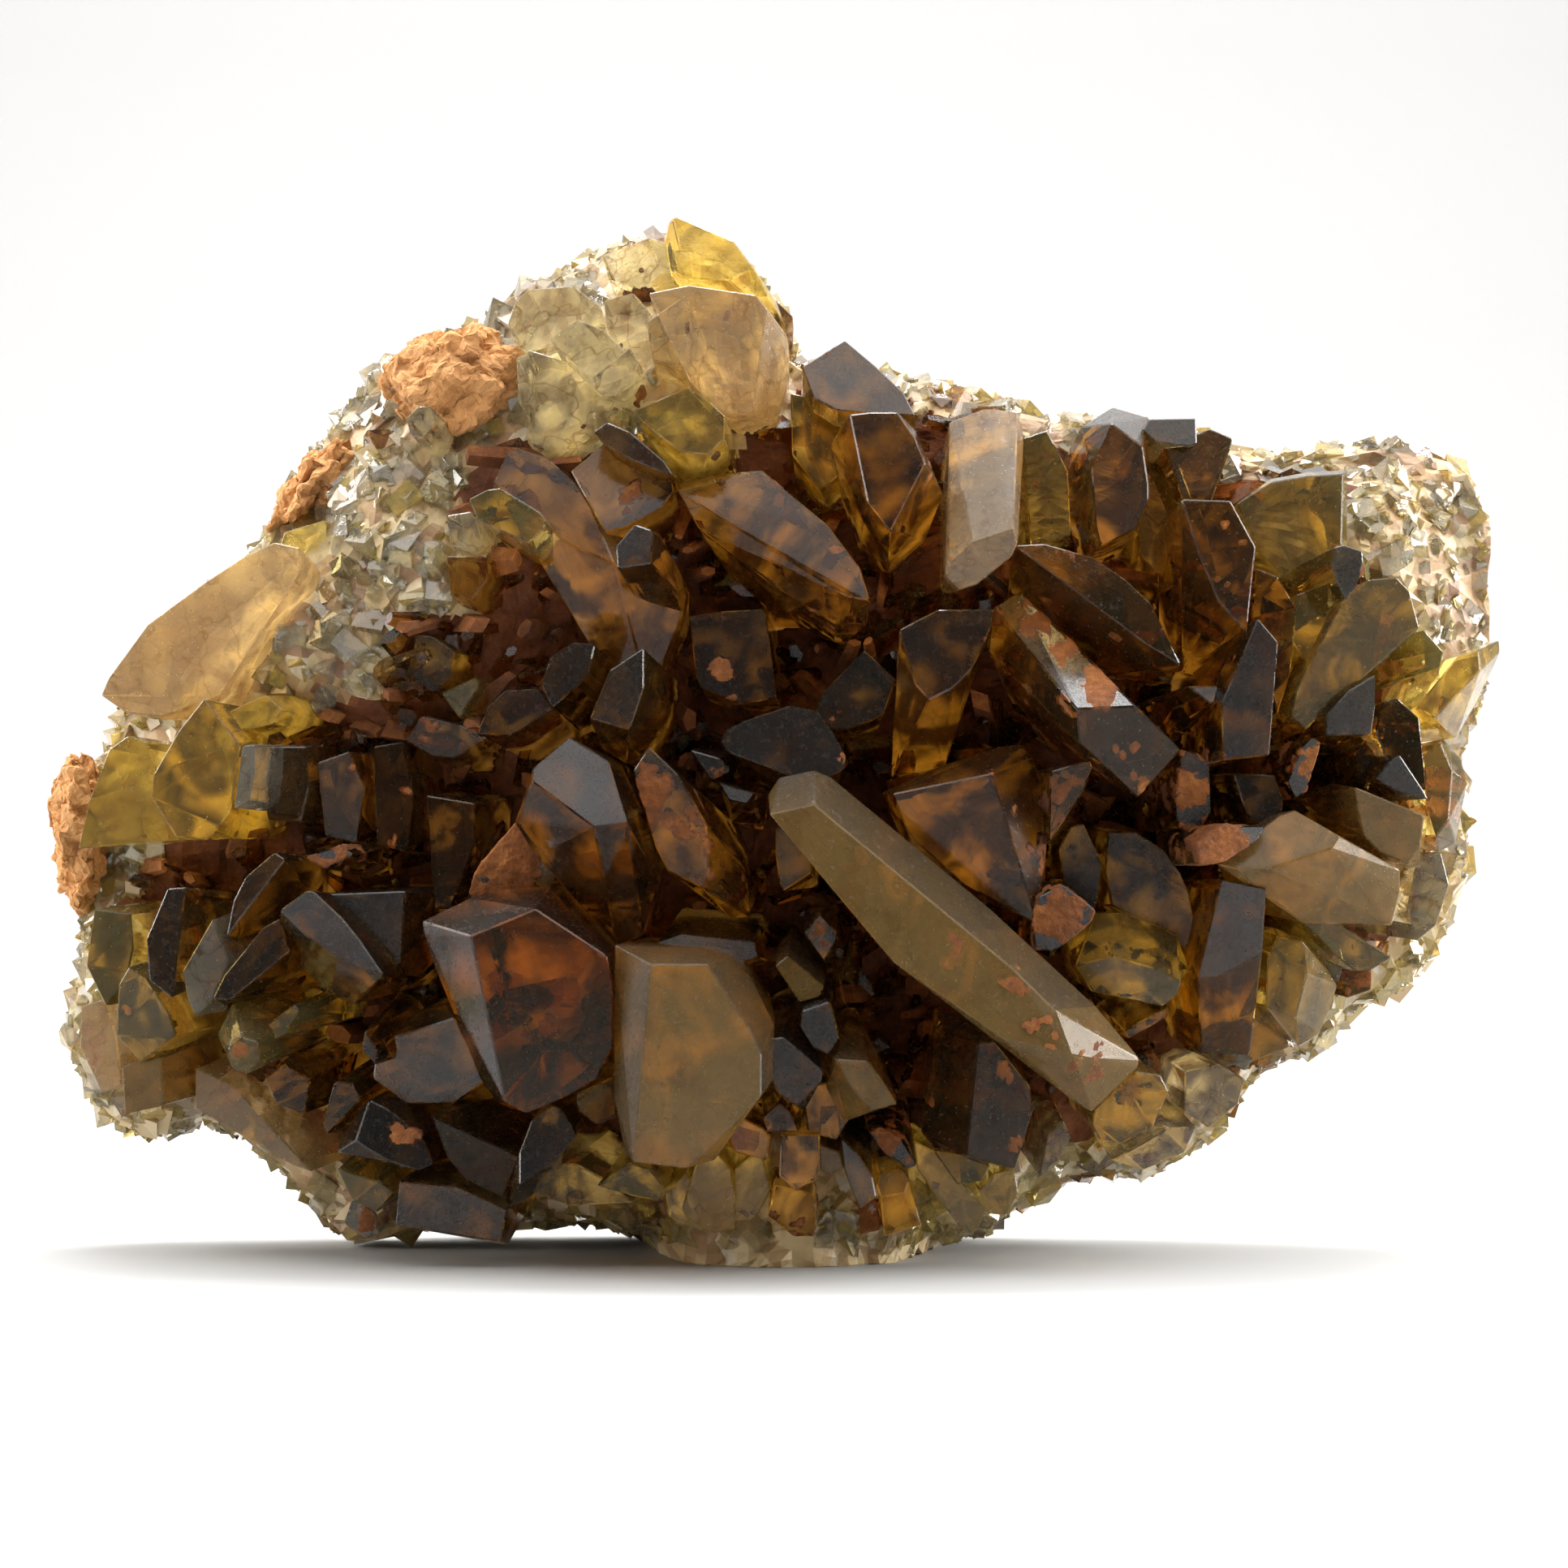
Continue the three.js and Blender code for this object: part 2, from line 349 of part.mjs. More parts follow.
      [81.2, 108.6], [77.6, 101.6]],
    [0, 0, 0, [65, 99], [74, 94], [80, 106], [78, 115], [70, 109]]],
  rust_triangle: [
    [17, 0, 0.2, [64, 100.8], [65, 105], [68.4, 107.5], [68, 109.2], [64, 109.6], [57.4, 111],
      [58.4, 107.8], [60.5, 105], [62.5, 103]],
    [0, 0, 0, [64, 99], [70, 108], [66, 112], [57, 113]]],
  maroon_column: [
    [11, 0, 0, [52.5, 98], [55, 98.5], [58.5, 99], [58.5, 104], [56, 107], [55.5, 112],
      [53.5, 112], [53.2, 105]],
    [-4, 0, 0, [52, 97], [60, 98], [58, 113], [53, 113]]],
  wedge_two: [
    [29, 0.02, 0, [58, 115.3], [66, 112], [74.8, 117.8], [75.5, 121.5], [75.5, 129],
      [73.5, 133], [70, 135], [65, 137.2], [62.2, 135.8], [62.3, 131.3], [60, 123]],
    [22, 0, -0.1, [52, 113.5], [54, 112.8], [58, 110.6], [62.5, 109.4], [67.7, 109.2],
      [75, 116.5], [62, 136.2], [61.3, 135.8], [59.2, 133], [56.3, 125.5], [53.5, 119],
      [52.2, 115]],
    [0, 0, 0, [55, 116], [67, 111], [75, 119], [74, 132], [62, 134], [57, 126]]],
  wedge_three: [
    [33, 0, 0, [80.1, 118.8], [87.2, 118.8], [90, 123], [92.5, 127], [93.8, 130],
      [93.8, 135], [87, 142], [84.5, 144], [78, 143.2], [79.7, 136]],
    [27, 0, -0.05, [75.7, 116.4], [86, 116.8], [90, 117.8], [92.5, 120.5], [95.4, 126.2],
      [95.3, 133], [88, 143], [77, 142], [75.6, 135]],
    [0, 0, 0, [77, 118], [90, 119], [95, 128], [92, 138], [80, 141]]],
  behind_wedge: [
    [17, 0, -0.4, [81, 116], [84, 115], [87, 115.3], [93, 116], [93.5, 118], [90, 119],
      [82, 118]],
    [-2, 0, 0, [82, 113], [93, 114], [95, 122], [84, 122]]],
  small_pillar: [
    [17, 0, 0.1, [99, 115], [101, 112.5], [103.2, 115], [103, 116], [101.5, 118.5],
      [100.5, 117]],
    [-2, 0, 0, [98.6, 114], [103.6, 113], [103, 122.4], [100, 122.4]]],
  frosted_small: [
    [22, 0.05, -0.1, [95.5, 119], [97, 117.8], [101.5, 121.5], [101, 122.8], [98.5, 123.5],
      [97.5, 121.5]],
    [0, 0, 0, [94.4, 119], [97, 116], [102.4, 122], [99, 126]]],
  small_blue_upper: [
    [24, 0, 0, [98.8, 124.6], [102.2, 123.4], [103, 126], [103.4, 128], [102, 130],
      [100, 129], [98.5, 126.5]],
    [21, 0, 0, [97.8, 124], [98.5, 123.3], [101.8, 122.2], [102.4, 123.2]],
    [2, 0, 0, [97, 123], [103, 121], [105, 129], [99, 130]]],
  small_blue_lower: [
    [27, 0, 0, [95, 128], [96.5, 127.8], [98.5, 129.5], [101.4, 132], [101, 133.5],
      [98.2, 136.3], [95.8, 134.7], [94.6, 132]],
    [23, 0, 0, [93.9, 127.5], [96, 126.8], [102, 131.5], [99, 137], [93.8, 133]],
    [2, 0, 0, [92, 127], [98, 124], [104, 132], [99, 139]]],
  small_pale: [
    [25, 0, 0, [103, 130.5], [107, 130.8], [109, 133.5], [110.5, 136], [107.5, 136.8],
      [105, 134]],
    [20, 0, 0, [101.8, 130], [103.5, 128], [107, 130], [110.6, 135.6], [104, 138.2],
      [101.8, 134]],
    [2, 0, 0, [101, 128], [106, 128], [110, 136], [103, 139]]],
  amber_low: [
    [20, 0, 0, [99, 134], [104, 133], [104.5, 138], [103, 140.5], [99.5, 139.5]],
    [0, 0, 0, [98, 133], [106, 132], [106, 140], [99, 141]]],
  rough_low: [
    [21, 0, 0, [94, 137.5], [96, 135.8], [97.5, 137], [98.5, 139.5], [94.5, 139.5]],
    [0, 0, 0, [92, 136], [99, 135], [100, 141], [93, 142]]],
  // The long crystal that lies across the others
  long_blade: [
    [32, 0.08, -0.05, [94.8, 100.3], [100.3, 99.1], [103.3, 101.4], [114.5, 111],
      [125, 119.5], [130, 124.5], [132, 130], [123.4, 127.9], [118, 124], [112.7, 120],
      [110, 118.5], [101.3, 107.8], [96.5, 102.5]],
    [25, 0.1, 0, [94.6, 98], [96, 95.8], [100.3, 94.9], [102.4, 95.8], [107.2, 100],
      [114.5, 105.9], [122, 112], [130, 119.5], [135, 124], [139.4, 129.2], [140.4, 130.5],
      [140.2, 131.5], [136.5, 135], [134.5, 137], [132, 135.5], [130.5, 133.5]],
    [12, 0.1, 0, [98, 99], [104, 99], [136, 127], [133, 133], [108, 114]],
    [-2, 0, 0, [112, 110], [124, 119], [122, 125], [112, 119]]],
  lower_prism: [
    [28, 0, 0, [120.5, 128.5], [122.5, 128.3], [124.5, 131], [127, 134], [127.2, 137],
      [126.2, 140], [125, 144], [119, 142.5], [119.5, 138], [120, 133]],
    [21, 0, 0, [118.5, 125.5], [116.5, 127], [115, 130], [114, 135], [113.5, 139.5],
      [115, 141.5], [119, 142.6], [125, 144.2]],
    [0, 0, 0, [117, 128], [126, 131], [125, 143], [115, 139]]],
  honey_under_blade: [
    [20, 0, 0, [135, 136.5], [137, 135], [140, 132], [143, 132.5], [144, 134.5], [142, 139],
      [138, 141], [135.5, 140.5], [134.5, 138.5]],
    [-2, 0, 0, [135, 136], [142, 132], [144, 139], [136, 141.4]]],
  // Lower edge
  prism_foot: [
    [17, 0, 0.3, [115, 141.8], [119, 142.5], [122, 143.7], [121, 145.5], [118, 146]],
    [0, 0, 0, [115, 141], [122, 142], [122, 148], [117, 148]]],
  long_yellow: [
    [15, 0, 0, [112.5, 140.5], [115, 141.8], [118, 145], [121.5, 149], [120.5, 151.5],
      [119.7, 152.3], [118.5, 151.5], [115, 147], [113, 144]],
    [-6, 0, 0, [113, 141], [121, 147], [120, 152], [114, 148]]],
  rust_tip: [
    [19, 0, 0, [107, 139.5], [108.5, 139], [111, 140.2], [113, 143.5], [112, 144], [109, 142]],
    [2, 0, 0, [106, 139], [113, 140], [113, 147], [108, 145]]],
  bottom_plate: [
    [22, 0, 0, [96.2, 139.8], [101, 139.8], [101, 143], [100.5, 145.5], [98, 146.8],
      [96, 145]],
    [2, 0, 0, [95.5, 140], [101.4, 140.5], [100.8, 151], [96, 151]]],
  bottom_block: [
    [15, 0, 0.2, [95.5, 146], [100, 147], [100.6, 149], [100.3, 152.4], [98, 152.4],
      [94.6, 150]],
    [-4, 0, 0, [94, 145], [101, 146], [101, 153.4], [94, 153]]],
  round_pale: [
    [19, 0, 0, [101, 141], [103.5, 142], [104, 144], [102, 144.8], [101, 144]],
    [2, 0, 0, [101, 140], [105, 141], [104, 147], [101, 147]]],
  grey_blade_low: [
    [19, 0, 0.1, [103.5, 140], [106, 142.5], [107.5, 145], [108, 147.5], [106, 149],
      [105, 147], [104, 144]],
    [0, 0, 0, [103, 140], [108, 144], [108.6, 150], [104, 149]]],
  block_two: [
    [17, 0, -0.1, [108, 146], [108.5, 144.5], [111, 144], [112, 145.5], [111.5, 147],
      [108.5, 147.5]],
    [13, 0, 0, [108.3, 147.5], [112, 147], [113.5, 151], [109, 152.4], [108.5, 150]],
    [-4, 0, 0, [108, 145], [113, 146], [113.6, 151], [108, 152.6]]],
  maroon_low: [
    [10, 0, 0, [101, 148], [108, 148], [108.5, 151.5], [103, 153], [100.5, 152]],
    [-4, 0, 0, [100, 146], [109, 146], [109, 152.6], [101, 153.4]]],
  yellow_one: [
    [19, 0, 0.2, [73.5, 146.1], [77.5, 143.3], [80, 144], [82, 146.5], [81.2, 148],
      [78, 147.4]],
    [2, 0, 0, [74.6, 146], [82, 146], [82, 150.4], [77, 149.4]]],
  yellow_two: [
    [17, 0, 0.05, [84, 149], [85, 145.5], [86.2, 142.5], [88.5, 142.2], [90, 144], [90.3, 146],
      [90.5, 151.5], [88, 152], [84.5, 150]],
    [-2, 0, 0, [84, 146], [91, 144], [91.4, 152.4], [84.6, 152]]],
  yellow_three: [
    [15, 0, 0, [90.5, 144], [93.2, 142], [94, 143.2], [95, 146.5], [93.5, 149.5],
      [92.5, 150.5], [90.5, 150.5]],
    [-2, 0, 0, [90.4, 143], [95, 143], [95, 153], [90.4, 152.6]]],
  yellow_back: [
    [12, 0, 0, [82, 147], [84.6, 144.4], [86, 148], [84.6, 151], [82.4, 150]],
    [-4, 0, 0, [80, 146], [86, 144], [86, 152], [81, 151]]],
  amber_round: [
    [20, 0, 0.1, [90, 137], [94, 139], [95, 140], [94.5, 143], [90.5, 142], [89.5, 139]],
    [2, 0, 0, [89, 137], [95, 138], [95, 145], [90, 144]]],
  small_hex: [
    [21, 0, -0.1, [65.2, 139.5], [65.5, 138], [68, 136.2], [69, 136.5], [70.5, 138.5],
      [71, 139.8], [69.5, 141.8], [67.5, 143.5], [64, 146], [64, 142]],
    [14, 0, 0, [62.2, 148], [64.5, 144], [67, 143.5], [65.4, 147.4], [63, 148.6]],
    [0, 0, 0, [64, 138], [71, 138], [71, 146], [64, 148]]],
  scoop: [
    [18, 0, 0.3, [53.2, 137.5], [54.5, 140], [55, 142.5], [57.5, 145.5], [62, 147.6],
      [64, 142.5], [60, 141.8], [57.5, 141]],
    [9, 0, 0, [54.6, 137], [62, 137], [65, 139.5]],
    [-4, 0, 0, [55, 138], [64, 138], [63, 148], [57, 147]]],
  roof_low: [
    [18, 0.05, -0.2, [45.5, 135.5], [48, 136.8], [52, 140], [53.4, 143.4], [51.5, 144.2],
      [47.8, 143], [45.2, 141.5], [43.8, 140.5]],
    [14, 0, 0, [41.5, 142], [42.5, 139.5], [44, 137], [45.4, 135.6], [44.6, 142.4]],
    [-4, 0, 0, [43, 138], [52, 139], [54, 147], [44, 145]]],
  corner_block: [
    [14, 0, 0, [48.7, 151], [49.2, 145.5], [56.5, 146.2], [62.5, 149], [61.7, 153],
      [56, 151.8]],
    [8, 0, 0, [62.6, 148.8], [63.7, 150], [62.6, 153.4]],
    [-6, 0, 0, [50, 146], [63, 149], [62, 152.4], [50, 150.6]]],
  corner_yellow: [
    [10, 0, 0, [41.5, 144], [47, 145.6], [48.6, 147], [46.4, 149.4], [43.4, 148]],
    [-6, 0, 0, [41, 143], [50, 145], [48.4, 151], [43, 149]]],
  pale_wedge_low: [
    [13, 0.1, -0.1, [67.5, 143.6], [71, 143.4], [75, 145.6], [78, 148.2], [70, 148.6],
      [65.6, 147]],
    [-6, 0, 0, [65, 142], [77, 143], [79, 149.4], [65, 149.4]]],
  facet_by_wedge: [
    [20, 0, -0.2, [71, 134.8], [75.6, 132.6], [76, 137.6], [73.6, 138.6], [71.2, 137]],
    [0, 0, 0, [70, 134], [77, 133], [77, 141], [71, 140]]],
  // Left part of the bed
  plate_a: [
    [15, 0, -0.1, [18, 115.7], [20.6, 109.5], [22.9, 109.3], [20.6, 117.4], [21.2, 123],
      [18.4, 120.8]],
    [9, 0, 0, [23.4, 109.6], [24.3, 112.6], [23.1, 117.4], [21, 121]],
    [-10, 0, 0, [19.4, 113], [24.4, 112], [22.4, 121], [19.6, 120]]],
  white_rhomb: [
    [14, 0.05, 0, [26.2, 113.2], [28.2, 118.5], [26, 123.3], [24.1, 125.3], [23.1, 123.3],
      [22.4, 119.8], [24.6, 116.8]],
    [-6, 0, 0, [25, 112], [29, 118], [26, 127], [23, 122]]],
  plate_b: [
    [15, 0, -0.2, [28.8, 110.9], [30.2, 108.1], [33.8, 105], [35.1, 105.9], [31.8, 109.3],
      [27.9, 115.4]],
    [9, 0, 0, [35.4, 106], [37.5, 109], [31.3, 115.7], [28.4, 116]],
    [-8, 0, 0, [30, 108], [36, 107], [36, 115], [30, 117]]],
  wedge_c: [
    [17, 0, -0.2, [26.2, 123], [27.6, 120.2], [32.4, 114.3], [34.4, 113.2], [35.8, 117.1],
      [28.2, 123.3]],
    [11, 0, 0, [35.9, 117.2], [35.2, 121.9], [28.2, 124.2]],
    [-8, 0, 0, [28, 118], [35, 115], [36, 123], [28, 125]]],
  roof_d: [
    [19, 0, -0.4, [34.5, 112.1], [37.7, 109.8], [38.6, 109.8], [42.2, 113.2], [44.2, 115.7],
      [47.3, 120.2], [41.7, 118], [37.5, 115.1]],
    [14, 0, 0, [34.4, 114.9], [37, 119], [40.3, 122.4], [43.6, 123.8], [48.4, 122.4]],
    [-6, 0, 0, [35, 112], [45, 114], [48, 124], [38, 123]]],
  dark_plate_e: [
    [14, 0.05, 0, [40, 110.2], [49.9, 109.8], [49.5, 118.2], [47.8, 119.9], [43, 114]],
    [10, 0, 0, [52, 109.7], [53.4, 109.9], [51.8, 116.8], [50.3, 121.5], [49.2, 120]],
    [-6, 0, 0, [42, 110], [53, 110], [51, 122], [45, 118]]],
  flat_rust_left: [
    [12, 0, -0.4, [37.7, 105.6], [41.9, 104.2], [43.5, 105.3], [40, 107]],
    [-4, 0, 0, [37, 105], [44, 104], [44, 110], [38, 110]]],
  rusty_end: [
    [20, 0, 0, [28.2, 129.2], [29.9, 127.8], [31.8, 128.4], [32.1, 130.6], [30.4, 132.4],
      [28.5, 131.5]],
    [14, 0, 0, [26.8, 127.5], [28.8, 123.3], [30.4, 123.6], [31.8, 126.9]],
    [-4, 0, 0, [27.6, 125], [31.4, 125], [32, 132], [28, 132]]],
  yellow_blade_left: [
    [15, 0.1, 0, [31.8, 127.2], [36.1, 123.8], [36.9, 124.4], [34.9, 127.5], [32.4, 128.6]],
    [0, 0, 0, [31, 126], [37, 123], [37, 129], [32, 130]]],
  smoky_low: [
    [13, 0.05, 0.1, [46.5, 128.5], [51, 127], [56, 125.4], [57.5, 128.5], [60, 133],
      [56, 136], [50, 136], [46, 133]],
    [10, 0, 0, [46, 128], [51, 125], [55, 123.8]],
    [-6, 0, 0, [46, 127], [56, 123], [61, 134], [52, 138], [46, 135]]],
  grey_facet: [
    [17, 0, 0, [45, 126.9], [46.6, 129.7], [46.3, 131.3], [44.5, 129.2]],
    [2, 0, 0, [43, 124], [47, 126], [48, 133], [44, 132]]],
  low_plate: [
    [12, 0, 0, [32.7, 133.1], [34.9, 131.1], [38.3, 133.1], [37.5, 137.3], [34, 136]],
    [-6, 0, 0, [32, 132], [39, 132], [39, 139], [34, 138]]],
  maroon_amber: [
    [14, 0, 0, [39.7, 138.4], [41.1, 133.4], [43.6, 133.5], [44.6, 135.4], [40.3, 139.8]],
    [-4, 0, 0, [39, 137], [42, 132], [46, 136], [41, 142]]],
  glassy_dark: [
    [10, 0.1, 0, [32.7, 92], [37.7, 92], [38, 97], [37, 101.3], [33, 101], [32, 96]],
    [-6, 0, 0, [31, 91], [39, 91], [39, 103], [32, 103]]],
  white_narrow: [
    [15, 0, 0, [29.8, 91.9], [31.3, 91.7], [31.3, 95.4], [30.7, 98.5], [28.8, 99.6],
      [29.2, 96.2]],
    [0, 0, 0, [29, 91], [33, 91], [32, 100], [29, 101]]],
  brown_left_one: [
    [9, 0, 0.1, [39, 94], [43, 92.6], [45, 97], [44, 104], [40, 103]],
    [-8, 0, 0, [38, 93], [45, 92], [46, 105], [39, 105]]],
  brown_left_two: [
    [10, 0, -0.1, [46, 92], [49.6, 91.4], [51, 98], [50, 105], [46.4, 104]],
    [-8, 0, 0, [45, 91], [51, 91], [52, 107], [46, 106]]],
};

// Paler crystals that belong to the massive baryte: the cap, the left edge and the lower edge
const PALE_CRYSTALS = {
  cap_top: [
    [0, 0, -0.3, [81.9, 29.6], [82.3, 27.6], [83.4, 26.7], [90.3, 29.7], [92.9, 33.1],
      [89.7, 34.5], [84.2, 34.2], [82.5, 33.1]],
    [-6, 0, 0, [82.8, 26.9], [91.2, 30.6], [93.5, 34], [95.7, 37.2], [97, 40.8]],
    [-17, 0, 0, [83, 30], [93, 34], [96, 44], [84, 40]]],
  cap_dark_tip: [
    [-8, 0, 0, [95, 36.3], [97.8, 39], [97, 40.9], [96, 41]],
    [-16, 0, 0, [94, 38], [97, 40], [96.6, 45], [93, 44]]],
  cap_big_plate: [
    [9, -0.05, 0, [79.9, 36.1], [84.9, 35.1], [90.3, 36.3], [93.1, 36.3], [94.5, 38],
      [93.5, 41.4], [92.8, 50.4], [92.1, 51.1], [89.1, 51.2], [85, 47]],
    [2, 0, 0, [97, 41.4], [97.3, 44.5], [96.9, 47.3], [95.7, 52.1], [94.5, 52.3]],
    [-12, 0, 0, [82, 37], [94, 38], [96.4, 46], [94, 51], [84, 48]]],
  cap_plate_left: [
    [8, 0.1, 0, [79.6, 39.7], [84.5, 36.3], [84.5, 45], [80.4, 44.2]],
    [-8, 0, 0, [79, 39], [86, 38], [86, 47], [80, 46]]],
  cap_lower: [
    [13, 0, -0.2, [77.8, 50.7], [81.8, 49.5], [84.7, 47.7], [87.5, 49.5], [89.3, 51.2],
      [89.3, 54], [87.3, 56], [84.1, 55.7], [81, 53.5]],
    [8, 0, 0, [82, 57], [86.3, 59.2], [90, 55.7]],
    [-6, 0, 0, [79, 51], [90, 50], [90, 56], [82, 57]]],
  cap_white_plate: [
    [7, 0.1, -0.3, [67.7, 41.7], [70.1, 40.1], [71.2, 39.3], [74.3, 40.6], [76.9, 43.2],
      [74.8, 45.6], [72.6, 46.4], [70.1, 43.6]],
    [-6, 0, 0, [68, 41], [76, 41], [76, 48], [70, 47]]],
  cap_grey_block: [
    [9, 0, 0, [73, 46.4], [75.1, 45.3], [77.6, 42.8], [78.8, 44.6], [77.4, 47.3],
      [76, 48.7], [73.1, 47.7]],
    [-6, 0, 0, [73, 45], [79, 43], [79, 50], [74, 50]]],
  cap_dome: [
    [2, 0.1, -0.2, [65, 35.6], [70.6, 35.2], [74, 37.7], [74.4, 40], [71.5, 39.3],
      [67.5, 41.1], [64.9, 43.6], [63.3, 42], [62.5, 39.7], [63.3, 37.5]],
    [-14, 0, 0, [65, 36.4], [72, 36], [75, 42], [66, 46], [63.6, 42]]],
  cap_rough_side: [
    [5, 0.05, 0, [65, 43], [70, 44.6], [73, 48], [73.4, 53.5], [67.3, 56], [65, 54.6]],
    [-10, 0, 0, [64, 43], [74, 46], [74, 56], [66, 57]]],
  cap_strip: [
    [7, 0, 0, [63.6, 44], [65, 43.5], [65.3, 49.5], [63.8, 49.5]],
    [-6, 0, 0, [62, 44], [66, 43], [66, 51], [63, 51]]],
  cap_edge_blade: [
    [14, 0, -0.2, [73.1, 53.2], [74.8, 52], [77.6, 53.2], [81.8, 56.8], [83, 58.6],
      [81.3, 58.1], [77.1, 56.3], [74.8, 54.9]],
    [-4, 0, 0, [73, 51], [79, 51], [84, 56], [76, 56]]],
  cap_upper_block: [
    [2, 0, -0.2, [74.4, 37], [78, 36], [80, 38.4], [79.4, 42.4], [76.8, 42.6], [74.6, 40]],
    [-10, 0, 0, [74, 36], [81, 36], [80, 44], [75, 43]]],
  cap_lump: [
    [-3, 0, -0.2, [74.2, 31.4], [76.5, 30.5], [80, 29.2], [82.5, 30], [84, 34.6], [79, 35.6],
      [75, 34.6]],
    [-15, 0, 0, [75, 33], [80, 30.6], [85, 33], [84, 38], [76, 37]]],
  edge_yellow: [
    [-2, 0, 0, [47.5, 45.5], [50, 44.4], [49.6, 47.4], [47.7, 48.2]],
    [-12, 0, 0, [48, 46.6], [51, 46], [51, 50], [48.4, 50]]],
  prism_in_rust: [
    [6, 0.1, 0, [50, 51.5], [51.5, 50], [53, 50], [53.5, 52], [52, 54], [50.5, 53.5]],
    [-8, 0, 0, [50, 52], [54, 51], [54, 56], [51, 56]]],
  yellow_flake: [
    [2, 0, 0, [34.5, 67], [35, 65.5], [40, 64], [39, 65.5], [35, 68]],
    [-10, 0, 0, [35, 66.6], [41, 65], [41, 70], [36, 70]]],
  grey_tall_block: [
    [11, 0, 0, [55, 63.5], [58, 63], [59, 65], [59.5, 67], [58, 68], [55.5, 67.2]],
    [-4, 0, 0, [54, 62], [60, 62], [60, 70], [55, 70]]],
  brown_block_upper: [
    [11, 0.1, 0, [55, 68.5], [60, 68.5], [60, 71.5], [58, 74], [55.5, 73.5]],
    [-4, 0, 0, [54, 68], [61, 68], [60, 76], [55, 76]]],
  left_plate: [
    [5, 0.25, 0, [12.4, 85.7], [13.3, 83.6], [15.7, 80.8], [18.2, 76.9], [22, 74.1],
      [25.1, 71.8], [29.8, 68.7], [33.8, 66.8], [36.9, 67.5], [36.9, 70.4], [34.1, 74.3],
      [29.8, 81.6], [27, 85.6], [23.4, 84.2], [20, 85.4], [19.2, 88.7], [15.3, 87.7]],
    [-13, 0, 0, [16, 84], [22, 76], [34, 69.6], [38, 76], [28, 87], [20, 88]]],
  golden_lip: [
    [8, 0.1, -0.1, [25.4, 89.2], [30.1, 86.7], [32.7, 85.6], [34.9, 87.5], [33.5, 89.2],
      [29.8, 90], [26.2, 90]],
    [-6, 0, 0, [25, 87], [34, 84], [36, 89], [27, 92]]],
  left_amber: [
    [6, 0.15, 0, [13.4, 92.3], [15.8, 90.6], [18.1, 91.5], [18.9, 95.4], [19.2, 98.5],
      [22, 103.5], [18.1, 103.8], [9.6, 104.6], [11, 98.5], [12.4, 95.1]],
    [-14, 0, 0, [13, 94], [20, 92], [22, 104], [12, 104]]],
  second_amber: [
    [11, 0, 0, [18.9, 95.4], [22, 90], [25.1, 86.1], [27, 89], [29.6, 91.7], [29, 96.2],
      [28.4, 99.9], [25.6, 103.5], [21.7, 103.2], [18.6, 98.2]],
    [-8, 0, 0, [20, 90], [28, 87], [29, 104], [20, 104]]],
  left_clear: [
    [6, 0.1, 0, [11.6, 112], [16.1, 112.6], [16.4, 116.8], [15.5, 121], [13, 124],
      [10.6, 119]],
    [-14, 0, 0, [12, 112], [18, 112], [18, 125], [11.6, 124]]],
  orange_block: [
    [9, 0, 0.1, [14.6, 121.3], [15.9, 119.1], [18.1, 120.5], [20.9, 125], [21.7, 127.5],
      [17.3, 130.9], [14.3, 127.6]],
    [-10, 0, 0, [13, 119], [20, 120], [22, 129], [15, 132]]],
  left_low_pale: [
    [4, 0.1, 0, [10, 124], [13, 123], [14.4, 128], [15, 134], [12.4, 134.6], [9.8, 129]],
    [-14, 0, 0, [10.6, 124], [16, 124], [17, 136], [12.6, 135]]],
  brown_block: [
    [8, 0, 0, [15, 131.4], [19.8, 130.3], [20.3, 136.2], [15.3, 137.3]],
    [-12, 0, 0, [14, 131], [21, 130], [22, 138], [16, 138.6]]],
  low_left_slab: [
    [4, 0, 0, [24, 131.6], [29, 134], [33, 139], [38.4, 144.4], [36, 143.6], [30, 138],
      [24, 136.6]],
    [-12, 0, 0, [24, 132], [34, 138], [40, 147], [30, 138.6]]],
  low_bit: [
    [6, 0, 0, [43.4, 147.4], [46.4, 149.6], [46.6, 152.2], [44.8, 152.6], [42.4, 150.8]],
    [-10, 0, 0, [42, 147], [48, 149], [47, 152], [43.4, 151.6]]],
  pale_low_one: [
    [12, 0, 0, [129, 140], [131, 138], [132, 140], [130.5, 143], [128, 145]],
    [-8, 0, 0, [128, 139], [133, 139], [133, 144], [128, 146.6]]],
  pale_low_two: [
    [10, 0, 0, [120.4, 147], [122.5, 144.5], [125, 144], [125.5, 147], [124, 149.8],
      [121.5, 149.5]],
    [-10, 0, 0, [120, 146], [127, 143.6], [126.6, 147], [121, 150]]],
  pale_low_three: [
    [8, 0, 0, [137, 143], [144, 139], [147.4, 138.8], [146, 142], [141, 144.2]],
    [-12, 0, 0, [136, 140], [148, 138], [146, 142], [138, 144]]],
  pale_low_four: [
    [8, 0, 0, [146, 132], [150, 131], [153.4, 133], [152.6, 136], [149, 139], [146, 137]],
    [-12, 0, 0, [145, 132], [153, 132], [151.6, 137], [147, 139]]],
  right_rim_clear: [
    [6, -0.1, 0, [174.6, 106], [177.6, 105], [178.6, 109], [177, 114], [174.6, 116],
      [173.4, 112]],
    [-12, 0, 0, [173.6, 106], [179, 106], [177.6, 114], [174, 117]]],
};

